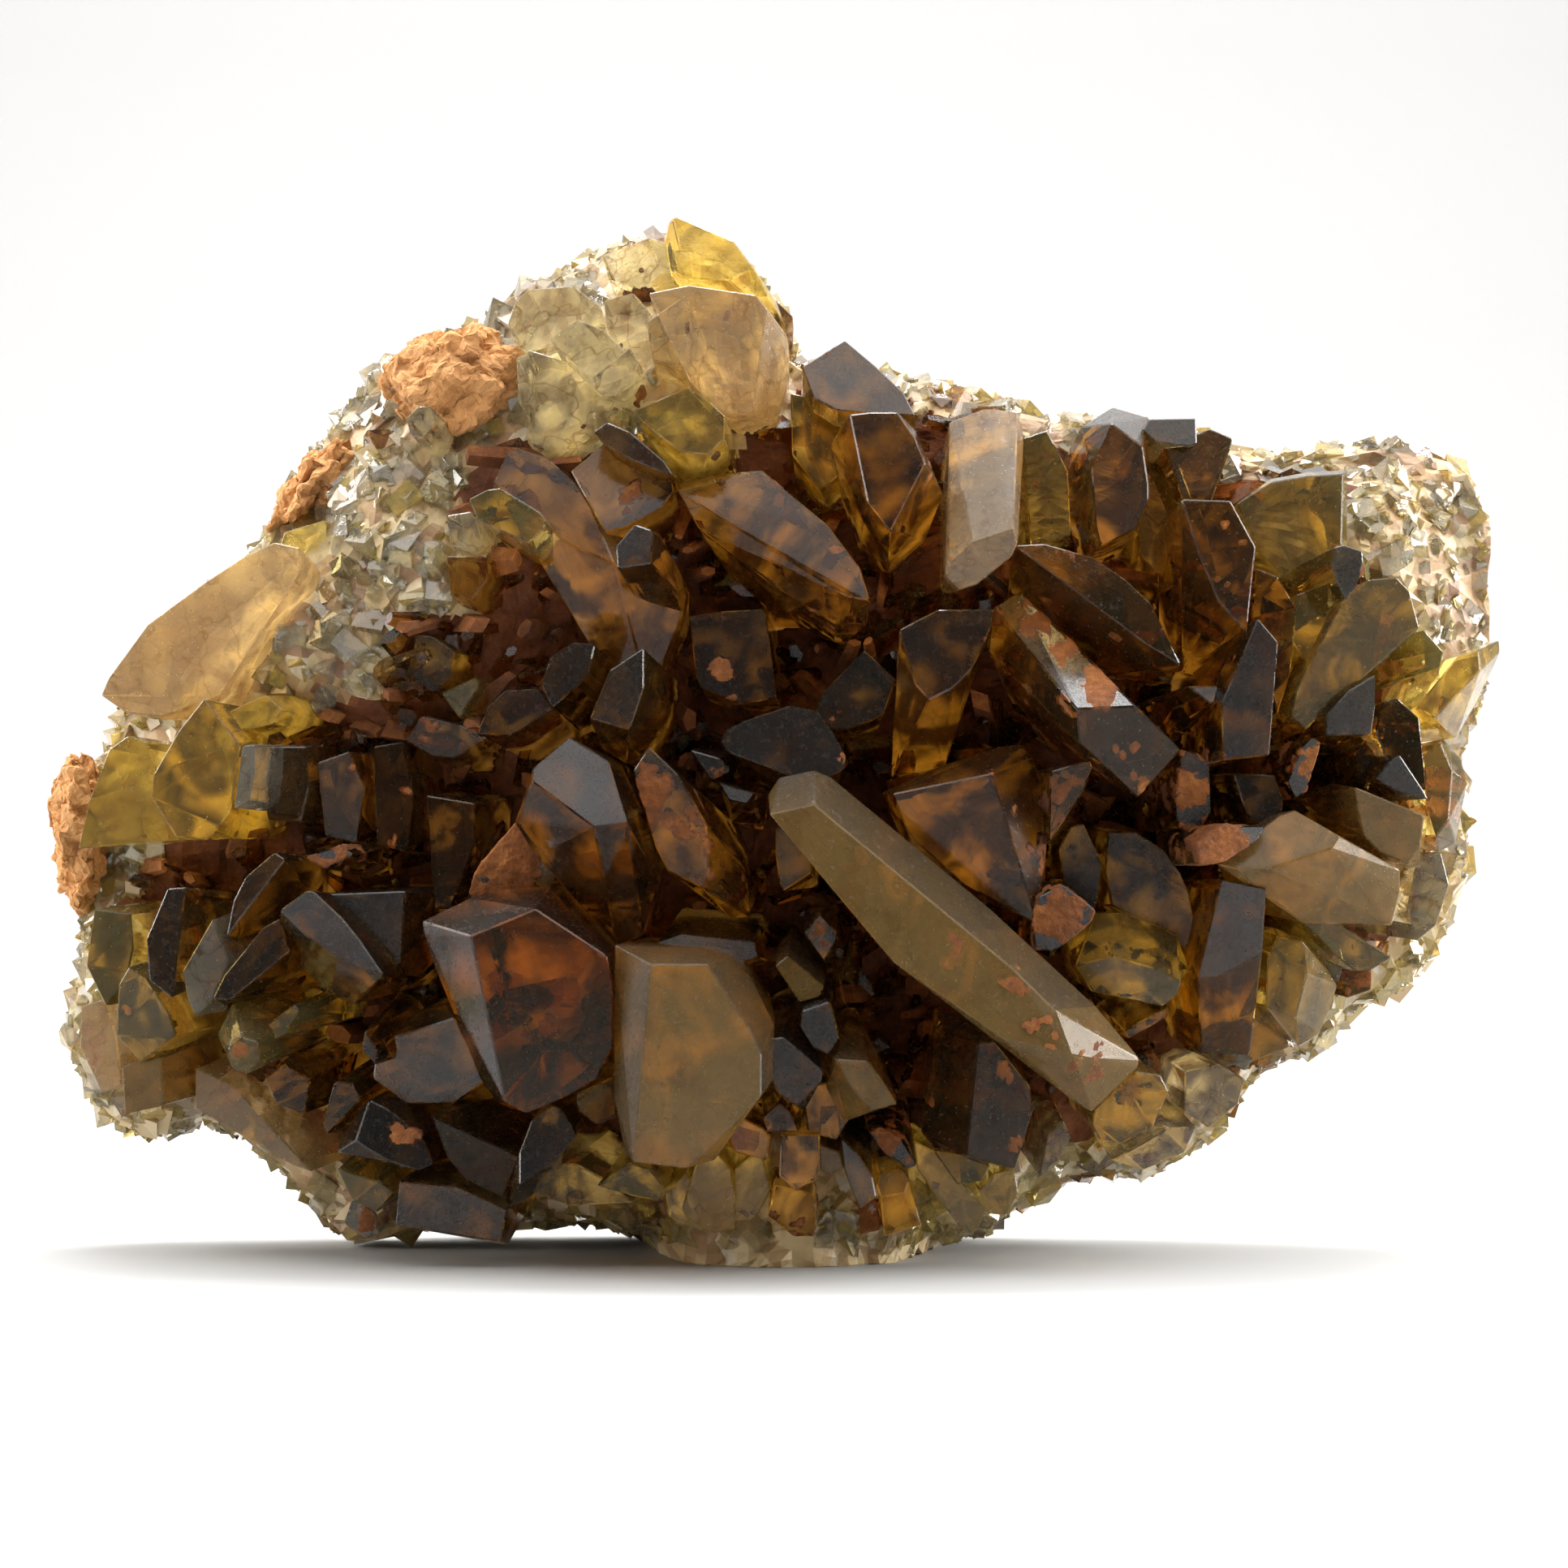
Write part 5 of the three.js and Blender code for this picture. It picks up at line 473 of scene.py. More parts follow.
        (0, 0, 0, (98, 133), (106, 132), (106, 140), (99, 141))],
    "rough_low": [
        (21, 0, 0, (94, 137.5), (96, 135.8), (97.5, 137), (98.5, 139.5), (94.5, 139.5)),
        (0, 0, 0, (92, 136), (99, 135), (100, 141), (93, 142))],
    "long_blade": [
        (32, 0.08, -0.05, (94.8, 100.3), (100.3, 99.1), (103.3, 101.4), (114.5, 111), (125, 119.5),
         (130, 124.5), (132, 130), (123.4, 127.9), (118, 124), (112.7, 120), (110, 118.5),
         (101.3, 107.8), (96.5, 102.5)),
        (25, 0.1, 0, (94.6, 98), (96, 95.8), (100.3, 94.9), (102.4, 95.8), (107.2, 100),
         (114.5, 105.9), (122, 112), (130, 119.5), (135, 124), (139.4, 129.2), (140.4, 130.5),
         (140.2, 131.5), (136.5, 135), (134.5, 137), (132, 135.5), (130.5, 133.5)),
        (12, 0.1, 0, (98, 99), (104, 99), (136, 127), (133, 133), (108, 114)),
        (-2, 0, 0, (112, 110), (124, 119), (122, 125), (112, 119))],
    "lower_prism": [
        (28, 0, 0, (120.5, 128.5), (122.5, 128.3), (124.5, 131), (127, 134), (127.2, 137),
         (126.2, 140), (125, 144), (119, 142.5), (119.5, 138), (120, 133)),
        (21, 0, 0, (118.5, 125.5), (116.5, 127), (115, 130), (114, 135), (113.5, 139.5),
         (115, 141.5), (119, 142.6), (125, 144.2)),
        (0, 0, 0, (117, 128), (126, 131), (125, 143), (115, 139))],
    "honey_under_blade": [
        (20, 0, 0, (135, 136.5), (137, 135), (140, 132), (143, 132.5), (144, 134.5), (142, 139),
         (138, 141), (135.5, 140.5), (134.5, 138.5)),
        (-2, 0, 0, (135, 136), (142, 132), (144, 139), (136, 141.4))],
    "prism_foot": [
        (17, 0, 0.3, (115, 141.8), (119, 142.5), (122, 143.7), (121, 145.5), (118, 146)),
        (0, 0, 0, (115, 141), (122, 142), (122, 148), (117, 148))],
    "long_yellow": [
        (15, 0, 0, (112.5, 140.5), (115, 141.8), (118, 145), (121.5, 149), (120.5, 151.5),
         (119.7, 152.3), (118.5, 151.5), (115, 147), (113, 144)),
        (-6, 0, 0, (113, 141), (121, 147), (120, 152), (114, 148))],
    "rust_tip": [
        (19, 0, 0, (107, 139.5), (108.5, 139), (111, 140.2), (113, 143.5), (112, 144), (109, 142)),
        (2, 0, 0, (106, 139), (113, 140), (113, 147), (108, 145))],
    "bottom_plate": [
        (22, 0, 0, (96.2, 139.8), (101, 139.8), (101, 143), (100.5, 145.5), (98, 146.8),
         (96, 145)),
        (2, 0, 0, (95.5, 140), (101.4, 140.5), (100.8, 151), (96, 151))],
    "bottom_block": [
        (15, 0, 0.2, (95.5, 146), (100, 147), (100.6, 149), (100.3, 152.4), (98, 152.4),
         (94.6, 150)),
        (-4, 0, 0, (94, 145), (101, 146), (101, 153.4), (94, 153))],
    "round_pale": [
        (19, 0, 0, (101, 141), (103.5, 142), (104, 144), (102, 144.8), (101, 144)),
        (2, 0, 0, (101, 140), (105, 141), (104, 147), (101, 147))],
    "grey_blade_low": [
        (19, 0, 0.1, (103.5, 140), (106, 142.5), (107.5, 145), (108, 147.5), (106, 149),
         (105, 147), (104, 144)),
        (0, 0, 0, (103, 140), (108, 144), (108.6, 150), (104, 149))],
    "block_two": [
        (17, 0, -0.1, (108, 146), (108.5, 144.5), (111, 144), (112, 145.5), (111.5, 147),
         (108.5, 147.5)),
        (13, 0, 0, (108.3, 147.5), (112, 147), (113.5, 151), (109, 152.4), (108.5, 150)),
        (-4, 0, 0, (108, 145), (113, 146), (113.6, 151), (108, 152.6))],
    "maroon_low": [
        (10, 0, 0, (101, 148), (108, 148), (108.5, 151.5), (103, 153), (100.5, 152)),
        (-4, 0, 0, (100, 146), (109, 146), (109, 152.6), (101, 153.4))],
    "yellow_one": [
        (19, 0, 0.2, (73.5, 146.1), (77.5, 143.3), (80, 144), (82, 146.5), (81.2, 148),
         (78, 147.4)),
        (2, 0, 0, (74.6, 146), (82, 146), (82, 150.4), (77, 149.4))],
    "yellow_two": [
        (17, 0, 0.05, (84, 149), (85, 145.5), (86.2, 142.5), (88.5, 142.2), (90, 144), (90.3, 146),
         (90.5, 151.5), (88, 152), (84.5, 150)),
        (-2, 0, 0, (84, 146), (91, 144), (91.4, 152.4), (84.6, 152))],
    "yellow_three": [
        (15, 0, 0, (90.5, 144), (93.2, 142), (94, 143.2), (95, 146.5), (93.5, 149.5),
         (92.5, 150.5), (90.5, 150.5)),
        (-2, 0, 0, (90.4, 143), (95, 143), (95, 153), (90.4, 152.6))],
    "yellow_back": [
        (12, 0, 0, (82, 147), (84.6, 144.4), (86, 148), (84.6, 151), (82.4, 150)),
        (-4, 0, 0, (80, 146), (86, 144), (86, 152), (81, 151))],
    "amber_round": [
        (20, 0, 0.1, (90, 137), (94, 139), (95, 140), (94.5, 143), (90.5, 142), (89.5, 139)),
        (2, 0, 0, (89, 137), (95, 138), (95, 145), (90, 144))],
    "small_hex": [
        (21, 0, -0.1, (65.2, 139.5), (65.5, 138), (68, 136.2), (69, 136.5), (70.5, 138.5),
         (71, 139.8), (69.5, 141.8), (67.5, 143.5), (64, 146), (64, 142)),
        (14, 0, 0, (62.2, 148), (64.5, 144), (67, 143.5), (65.4, 147.4), (63, 148.6)),
        (0, 0, 0, (64, 138), (71, 138), (71, 146), (64, 148))],
    "scoop": [
        (18, 0, 0.3, (53.2, 137.5), (54.5, 140), (55, 142.5), (57.5, 145.5), (62, 147.6),
         (64, 142.5), (60, 141.8), (57.5, 141)),
        (9, 0, 0, (54.6, 137), (62, 137), (65, 139.5)),
        (-4, 0, 0, (55, 138), (64, 138), (63, 148), (57, 147))],
    "roof_low": [
        (18, 0.05, -0.2, (45.5, 135.5), (48, 136.8), (52, 140), (53.4, 143.4), (51.5, 144.2),
         (47.8, 143), (45.2, 141.5), (43.8, 140.5)),
        (14, 0, 0, (41.5, 142), (42.5, 139.5), (44, 137), (45.4, 135.6), (44.6, 142.4)),
        (-4, 0, 0, (43, 138), (52, 139), (54, 147), (44, 145))],
    "corner_block": [
        (14, 0, 0, (48.7, 151), (49.2, 145.5), (56.5, 146.2), (62.5, 149), (61.7, 153),
         (56, 151.8)),
        (8, 0, 0, (62.6, 148.8), (63.7, 150), (62.6, 153.4)),
        (-6, 0, 0, (50, 146), (63, 149), (62, 152.4), (50, 150.6))],
    "corner_yellow": [
        (10, 0, 0, (41.5, 144), (47, 145.6), (48.6, 147), (46.4, 149.4), (43.4, 148)),
        (-6, 0, 0, (41, 143), (50, 145), (48.4, 151), (43, 149))],
    "pale_wedge_low": [
        (13, 0.1, -0.1, (67.5, 143.6), (71, 143.4), (75, 145.6), (78, 148.2), (70, 148.6),
         (65.6, 147)),
        (-6, 0, 0, (65, 142), (77, 143), (79, 149.4), (65, 149.4))],
    "facet_by_wedge": [
        (20, 0, -0.2, (71, 134.8), (75.6, 132.6), (76, 137.6), (73.6, 138.6), (71.2, 137)),
        (0, 0, 0, (70, 134), (77, 133), (77, 141), (71, 140))],
    "plate_a": [
        (15, 0, -0.1, (18, 115.7), (20.6, 109.5), (22.9, 109.3), (20.6, 117.4), (21.2, 123),
         (18.4, 120.8)),
        (9, 0, 0, (23.4, 109.6), (24.3, 112.6), (23.1, 117.4), (21, 121)),
        (-10, 0, 0, (19.4, 113), (24.4, 112), (22.4, 121), (19.6, 120))],
    "white_rhomb": [
        (14, 0.05, 0, (26.2, 113.2), (28.2, 118.5), (26, 123.3), (24.1, 125.3), (23.1, 123.3),
         (22.4, 119.8), (24.6, 116.8)),
        (-6, 0, 0, (25, 112), (29, 118), (26, 127), (23, 122))],
    "plate_b": [
        (15, 0, -0.2, (28.8, 110.9), (30.2, 108.1), (33.8, 105), (35.1, 105.9), (31.8, 109.3),
         (27.9, 115.4)),
        (9, 0, 0, (35.4, 106), (37.5, 109), (31.3, 115.7), (28.4, 116)),
        (-8, 0, 0, (30, 108), (36, 107), (36, 115), (30, 117))],
    "wedge_c": [
        (17, 0, -0.2, (26.2, 123), (27.6, 120.2), (32.4, 114.3), (34.4, 113.2), (35.8, 117.1),
         (28.2, 123.3)),
        (11, 0, 0, (35.9, 117.2), (35.2, 121.9), (28.2, 124.2)),
        (-8, 0, 0, (28, 118), (35, 115), (36, 123), (28, 125))],
    "roof_d": [
        (19, 0, -0.4, (34.5, 112.1), (37.7, 109.8), (38.6, 109.8), (42.2, 113.2), (44.2, 115.7),
         (47.3, 120.2), (41.7, 118), (37.5, 115.1)),
        (14, 0, 0, (34.4, 114.9), (37, 119), (40.3, 122.4), (43.6, 123.8), (48.4, 122.4)),
        (-6, 0, 0, (35, 112), (45, 114), (48, 124), (38, 123))],
    "dark_plate_e": [
        (14, 0.05, 0, (40, 110.2), (49.9, 109.8), (49.5, 118.2), (47.8, 119.9), (43, 114)),
        (10, 0, 0, (52, 109.7), (53.4, 109.9), (51.8, 116.8), (50.3, 121.5), (49.2, 120)),
        (-6, 0, 0, (42, 110), (53, 110), (51, 122), (45, 118))],
    "flat_rust_left": [
        (12, 0, -0.4, (37.7, 105.6), (41.9, 104.2), (43.5, 105.3), (40, 107)),
        (-4, 0, 0, (37, 105), (44, 104), (44, 110), (38, 110))],
    "rusty_end": [
        (20, 0, 0, (28.2, 129.2), (29.9, 127.8), (31.8, 128.4), (32.1, 130.6), (30.4, 132.4),
         (28.5, 131.5)),
        (14, 0, 0, (26.8, 127.5), (28.8, 123.3), (30.4, 123.6), (31.8, 126.9)),
        (-4, 0, 0, (27.6, 125), (31.4, 125), (32, 132), (28, 132))],
    "yellow_blade_left": [
        (15, 0.1, 0, (31.8, 127.2), (36.1, 123.8), (36.9, 124.4), (34.9, 127.5), (32.4, 128.6)),
        (0, 0, 0, (31, 126), (37, 123), (37, 129), (32, 130))],
    "smoky_low": [
        (13, 0.05, 0.1, (46.5, 128.5), (51, 127), (56, 125.4), (57.5, 128.5), (60, 133), (56, 136),
         (50, 136), (46, 133)),
        (10, 0, 0, (46, 128), (51, 125), (55, 123.8)),
        (-6, 0, 0, (46, 127), (56, 123), (61, 134), (52, 138), (46, 135))],
    "grey_facet": [
        (17, 0, 0, (45, 126.9), (46.6, 129.7), (46.3, 131.3), (44.5, 129.2)),
        (2, 0, 0, (43, 124), (47, 126), (48, 133), (44, 132))],
    "low_plate": [
        (12, 0, 0, (32.7, 133.1), (34.9, 131.1), (38.3, 133.1), (37.5, 137.3), (34, 136)),
        (-6, 0, 0, (32, 132), (39, 132), (39, 139), (34, 138))],
    "maroon_amber": [
        (14, 0, 0, (39.7, 138.4), (41.1, 133.4), (43.6, 133.5), (44.6, 135.4), (40.3, 139.8)),
        (-4, 0, 0, (39, 137), (42, 132), (46, 136), (41, 142))],
    "glassy_dark": [
        (10, 0.1, 0, (32.7, 92), (37.7, 92), (38, 97), (37, 101.3), (33, 101), (32, 96)),
        (-6, 0, 0, (31, 91), (39, 91), (39, 103), (32, 103))],
    "white_narrow": [
        (15, 0, 0, (29.8, 91.9), (31.3, 91.7), (31.3, 95.4), (30.7, 98.5), (28.8, 99.6),
         (29.2, 96.2)),
        (0, 0, 0, (29, 91), (33, 91), (32, 100), (29, 101))],
    "brown_left_one": [
        (9, 0, 0.1, (39, 94), (43, 92.6), (45, 97), (44, 104), (40, 103)),
        (-8, 0, 0, (38, 93), (45, 92), (46, 105), (39, 105))],
    "brown_left_two": [
        (10, 0, -0.1, (46, 92), (49.6, 91.4), (51, 98), (50, 105), (46.4, 104)),
        (-8, 0, 0, (45, 91), (51, 91), (52, 107), (46, 106))],
}

PALE_CRYSTALS = {
    "cap_top": [
        (0, 0, -0.3, (81.9, 29.6), (82.3, 27.6), (83.4, 26.7), (90.3, 29.7), (92.9, 33.1),
         (89.7, 34.5), (84.2, 34.2), (82.5, 33.1)),
        (-6, 0, 0, (82.8, 26.9), (91.2, 30.6), (93.5, 34), (95.7, 37.2), (97, 40.8)),
        (-17, 0, 0, (83, 30), (93, 34), (96, 44), (84, 40))],
    "cap_dark_tip": [
        (-8, 0, 0, (95, 36.3), (97.8, 39), (97, 40.9), (96, 41)),
        (-16, 0, 0, (94, 38), (97, 40), (96.6, 45), (93, 44))],
    "cap_big_plate": [
        (9, -0.05, 0, (79.9, 36.1), (84.9, 35.1), (90.3, 36.3), (93.1, 36.3), (94.5, 38),
         (93.5, 41.4), (92.8, 50.4), (92.1, 51.1), (89.1, 51.2), (85, 47)),
        (2, 0, 0, (97, 41.4), (97.3, 44.5), (96.9, 47.3), (95.7, 52.1), (94.5, 52.3)),
        (-12, 0, 0, (82, 37), (94, 38), (96.4, 46), (94, 51), (84, 48))],
    "cap_plate_left": [
        (8, 0.1, 0, (79.6, 39.7), (84.5, 36.3), (84.5, 45), (80.4, 44.2)),
        (-8, 0, 0, (79, 39), (86, 38), (86, 47), (80, 46))],
    "cap_lower": [
        (13, 0, -0.2, (77.8, 50.7), (81.8, 49.5), (84.7, 47.7), (87.5, 49.5), (89.3, 51.2),
         (89.3, 54), (87.3, 56), (84.1, 55.7), (81, 53.5)),
        (8, 0, 0, (82, 57), (86.3, 59.2), (90, 55.7)),
        (-6, 0, 0, (79, 51), (90, 50), (90, 56), (82, 57))],
    "cap_white_plate": [
        (7, 0.1, -0.3, (67.7, 41.7), (70.1, 40.1), (71.2, 39.3), (74.3, 40.6), (76.9, 43.2),
         (74.8, 45.6), (72.6, 46.4), (70.1, 43.6)),
        (-6, 0, 0, (68, 41), (76, 41), (76, 48), (70, 47))],
    "cap_grey_block": [
        (9, 0, 0, (73, 46.4), (75.1, 45.3), (77.6, 42.8), (78.8, 44.6), (77.4, 47.3), (76, 48.7),
         (73.1, 47.7)),
        (-6, 0, 0, (73, 45), (79, 43), (79, 50), (74, 50))],
    "cap_dome": [
        (2, 0.1, -0.2, (65, 35.6), (70.6, 35.2), (74, 37.7), (74.4, 40), (71.5, 39.3),
         (67.5, 41.1), (64.9, 43.6), (63.3, 42), (62.5, 39.7), (63.3, 37.5)),
        (-14, 0, 0, (65, 36.4), (72, 36), (75, 42), (66, 46), (63.6, 42))],
    "cap_rough_side": [
        (5, 0.05, 0, (65, 43), (70, 44.6), (73, 48), (73.4, 53.5), (67.3, 56), (65, 54.6)),
        (-10, 0, 0, (64, 43), (74, 46), (74, 56), (66, 57))],
    "cap_strip": [
        (7, 0, 0, (63.6, 44), (65, 43.5), (65.3, 49.5), (63.8, 49.5)),
        (-6, 0, 0, (62, 44), (66, 43), (66, 51), (63, 51))],
    "cap_edge_blade": [
        (14, 0, -0.2, (73.1, 53.2), (74.8, 52), (77.6, 53.2), (81.8, 56.8), (83, 58.6),
         (81.3, 58.1), (77.1, 56.3), (74.8, 54.9)),
        (-4, 0, 0, (73, 51), (79, 51), (84, 56), (76, 56))],
    "cap_upper_block": [
        (2, 0, -0.2, (74.4, 37), (78, 36), (80, 38.4), (79.4, 42.4), (76.8, 42.6), (74.6, 40)),
        (-10, 0, 0, (74, 36), (81, 36), (80, 44), (75, 43))],
    "cap_lump": [
        (-3, 0, -0.2, (74.2, 31.4), (76.5, 30.5), (80, 29.2), (82.5, 30), (84, 34.6), (79, 35.6),
         (75, 34.6)),
        (-15, 0, 0, (75, 33), (80, 30.6), (85, 33), (84, 38), (76, 37))],
    "edge_yellow": [
        (-2, 0, 0, (47.5, 45.5), (50, 44.4), (49.6, 47.4), (47.7, 48.2)),
        (-12, 0, 0, (48, 46.6), (51, 46), (51, 50), (48.4, 50))],
    "prism_in_rust": [
        (6, 0.1, 0, (50, 51.5), (51.5, 50), (53, 50), (53.5, 52), (52, 54), (50.5, 53.5)),
        (-8, 0, 0, (50, 52), (54, 51), (54, 56), (51, 56))],
    "yellow_flake": [
        (2, 0, 0, (34.5, 67), (35, 65.5), (40, 64), (39, 65.5), (35, 68)),
        (-10, 0, 0, (35, 66.6), (41, 65), (41, 70), (36, 70))],
    "grey_tall_block": [
        (11, 0, 0, (55, 63.5), (58, 63), (59, 65), (59.5, 67), (58, 68), (55.5, 67.2)),
        (-4, 0, 0, (54, 62), (60, 62), (60, 70), (55, 70))],
    "brown_block_upper": [
        (11, 0.1, 0, (55, 68.5), (60, 68.5), (60, 71.5), (58, 74), (55.5, 73.5)),
        (-4, 0, 0, (54, 68), (61, 68), (60, 76), (55, 76))],
    "left_plate": [
        (5, 0.25, 0, (12.4, 85.7), (13.3, 83.6), (15.7, 80.8), (18.2, 76.9), (22, 74.1),
         (25.1, 71.8), (29.8, 68.7), (33.8, 66.8), (36.9, 67.5), (36.9, 70.4), (34.1, 74.3),
         (29.8, 81.6), (27, 85.6), (23.4, 84.2), (20, 85.4), (19.2, 88.7), (15.3, 87.7)),
        (-13, 0, 0, (16, 84), (22, 76), (34, 69.6), (38, 76), (28, 87), (20, 88))],
    "golden_lip": [
        (8, 0.1, -0.1, (25.4, 89.2), (30.1, 86.7), (32.7, 85.6), (34.9, 87.5), (33.5, 89.2),
         (29.8, 90), (26.2, 90)),
        (-6, 0, 0, (25, 87), (34, 84), (36, 89), (27, 92))],
    "left_amber": [
        (6, 0.15, 0, (13.4, 92.3), (15.8, 90.6), (18.1, 91.5), (18.9, 95.4), (19.2, 98.5),
         (22, 103.5), (18.1, 103.8), (9.6, 104.6), (11, 98.5), (12.4, 95.1)),
        (-14, 0, 0, (13, 94), (20, 92), (22, 104), (12, 104))],
    "second_amber": [
        (11, 0, 0, (18.9, 95.4), (22, 90), (25.1, 86.1), (27, 89), (29.6, 91.7), (29, 96.2),
         (28.4, 99.9), (25.6, 103.5), (21.7, 103.2), (18.6, 98.2)),
        (-8, 0, 0, (20, 90), (28, 87), (29, 104), (20, 104))],
    "left_clear": [
        (6, 0.1, 0, (11.6, 112), (16.1, 112.6), (16.4, 116.8), (15.5, 121), (13, 124),
         (10.6, 119)),
        (-14, 0, 0, (12, 112), (18, 112), (18, 125), (11.6, 124))],
    "orange_block": [
        (9, 0, 0.1, (14.6, 121.3), (15.9, 119.1), (18.1, 120.5), (20.9, 125), (21.7, 127.5),
         (17.3, 130.9), (14.3, 127.6)),
        (-10, 0, 0, (13, 119), (20, 120), (22, 129), (15, 132))],
    "left_low_pale": [
        (4, 0.1, 0, (10, 124), (13, 123), (14.4, 128), (15, 134), (12.4, 134.6), (9.8, 129)),
        (-14, 0, 0, (10.6, 124), (16, 124), (17, 136), (12.6, 135))],
    "brown_block": [
        (8, 0, 0, (15, 131.4), (19.8, 130.3), (20.3, 136.2), (15.3, 137.3)),
        (-12, 0, 0, (14, 131), (21, 130), (22, 138), (16, 138.6))],
    "low_left_slab": [
        (4, 0, 0, (24, 131.6), (29, 134), (33, 139), (38.4, 144.4), (36, 143.6), (30, 138),
         (24, 136.6)),
        (-12, 0, 0, (24, 132), (34, 138), (40, 147), (30, 138.6))],
    "low_bit": [
        (6, 0, 0, (43.4, 147.4), (46.4, 149.6), (46.6, 152.2), (44.8, 152.6), (42.4, 150.8)),
        (-10, 0, 0, (42, 147), (48, 149), (47, 152), (43.4, 151.6))],
    "pale_low_one": [
        (12, 0, 0, (129, 140), (131, 138), (132, 140), (130.5, 143), (128, 145)),
        (-8, 0, 0, (128, 139), (133, 139), (133, 144), (128, 146.6))],
    "pale_low_two": [
        (10, 0, 0, (120.4, 147), (122.5, 144.5), (125, 144), (125.5, 147), (124, 149.8),
         (121.5, 149.5)),
        (-10, 0, 0, (120, 146), (127, 143.6), (126.6, 147), (121, 150))],
    "pale_low_three": [
        (8, 0, 0, (137, 143), (144, 139), (147.4, 138.8), (146, 142), (141, 144.2)),
        (-12, 0, 0, (136, 140), (148, 138), (146, 142), (138, 144))],
    "pale_low_four": [
        (8, 0, 0, (146, 132), (150, 131), (153.4, 133), (152.6, 136), (149, 139), (146, 137)),
        (-12, 0, 0, (145, 132), (153, 132), (151.6, 137), (147, 139))],
    "right_rim_clear": [
        (6, -0.1, 0, (174.6, 106), (177.6, 105), (178.6, 109), (177, 114), (174.6, 116),
         (173.4, 112)),
        (-12, 0, 0, (173.6, 106), (179, 106), (177.6, 114), (174, 117))],
}

# Which crystals are which kind of baryte; the rest of the bed is smoky, the rest is pale
TONES = {
    "capped": (
        "bright_block tapering slab_left slab_right top_grey second_grey hex_tip left_grey top_bar "
        "small_dark_block plate_a wedge_c roof_d block_two dark_prism right_dark_triangle "
        "small_blue_lower corner_block mid_right_grey"),
    "honey": (
        "speckled_blade right_plate dusty_blade curved_blade mid_top right_top left_of_yellow "
        "right_honey_slab corner_brown rusty_shard upper_blade rust_cap wedge_two small_pillar "
        "amber_low rough_low lower_prism bottom_block amber_round scoop low_plate maroon_amber "
        "under_cluster brown_block_upper bottom_plate maroon_low amber_big"),
    "lemon": (
        "left_amber second_amber orange_block amber_prism big_honey_right top_amber glow_back "
        "framed_amber yellow_prism right_small_yellow right_yellow_blade far_right_yellow "
        "yellow_cluster yellow_chip prism_foot long_yellow yellow_one yellow_two yellow_three "
        "yellow_back corner_yellow rusty_end yellow_blade_left right_clear fan_lower golden_lip "
        "yellow_flake left_clear cap_top honey_under_blade behind_pillar pale_low_two cap_lower"),
    "cloudy": (
        "right_fan wedge_three long_blade small_pale round_pale frosted_small fan_grey "
        "low_right_body brown_block"),
    "veiled": "left_plate cap_big_plate pale_pillar low_left_slab left_low_pale",
    "pale": "clear_neighbour low_right_facet pale_wedge_low white_rhomb white_narrow",
    "smoky": "cap_dark_tip cap_edge_blade",
}
# How rusty crystals are, from 1, a few stains, to 3, nearly covered
RUSTY = {
    1: ("top_grey second_grey mid_top speckled_blade curved_blade right_pillar tapering "
        "upper_blade long_blade lower_prism fan_grey cap_lump bottom_block "
        "brown_left_one brown_left_two low_right_body grey_shelf dark_upper"),
    2: ("dusty_blade rust_cap small_pillar rough_low rusty_shard maroon_top maroon_low "
        "round_chip sparkly_chip corner_brown low_bit"),
    3: "rusty_flat small_rust_post rusty_wedge rust_column rust_triangle rust_tip flat_rust_left",
}
# Crystals whose ends stay clear, and those with slate bevels beside a clear front
CLEAR_ENDS = ("big_dark_blade dark_upper brown_left_one brown_left_two glassy_dark maroon_top "
              "maroon_column")
SLATE_BEVELS = "wedge_two amber_big wedge_three"
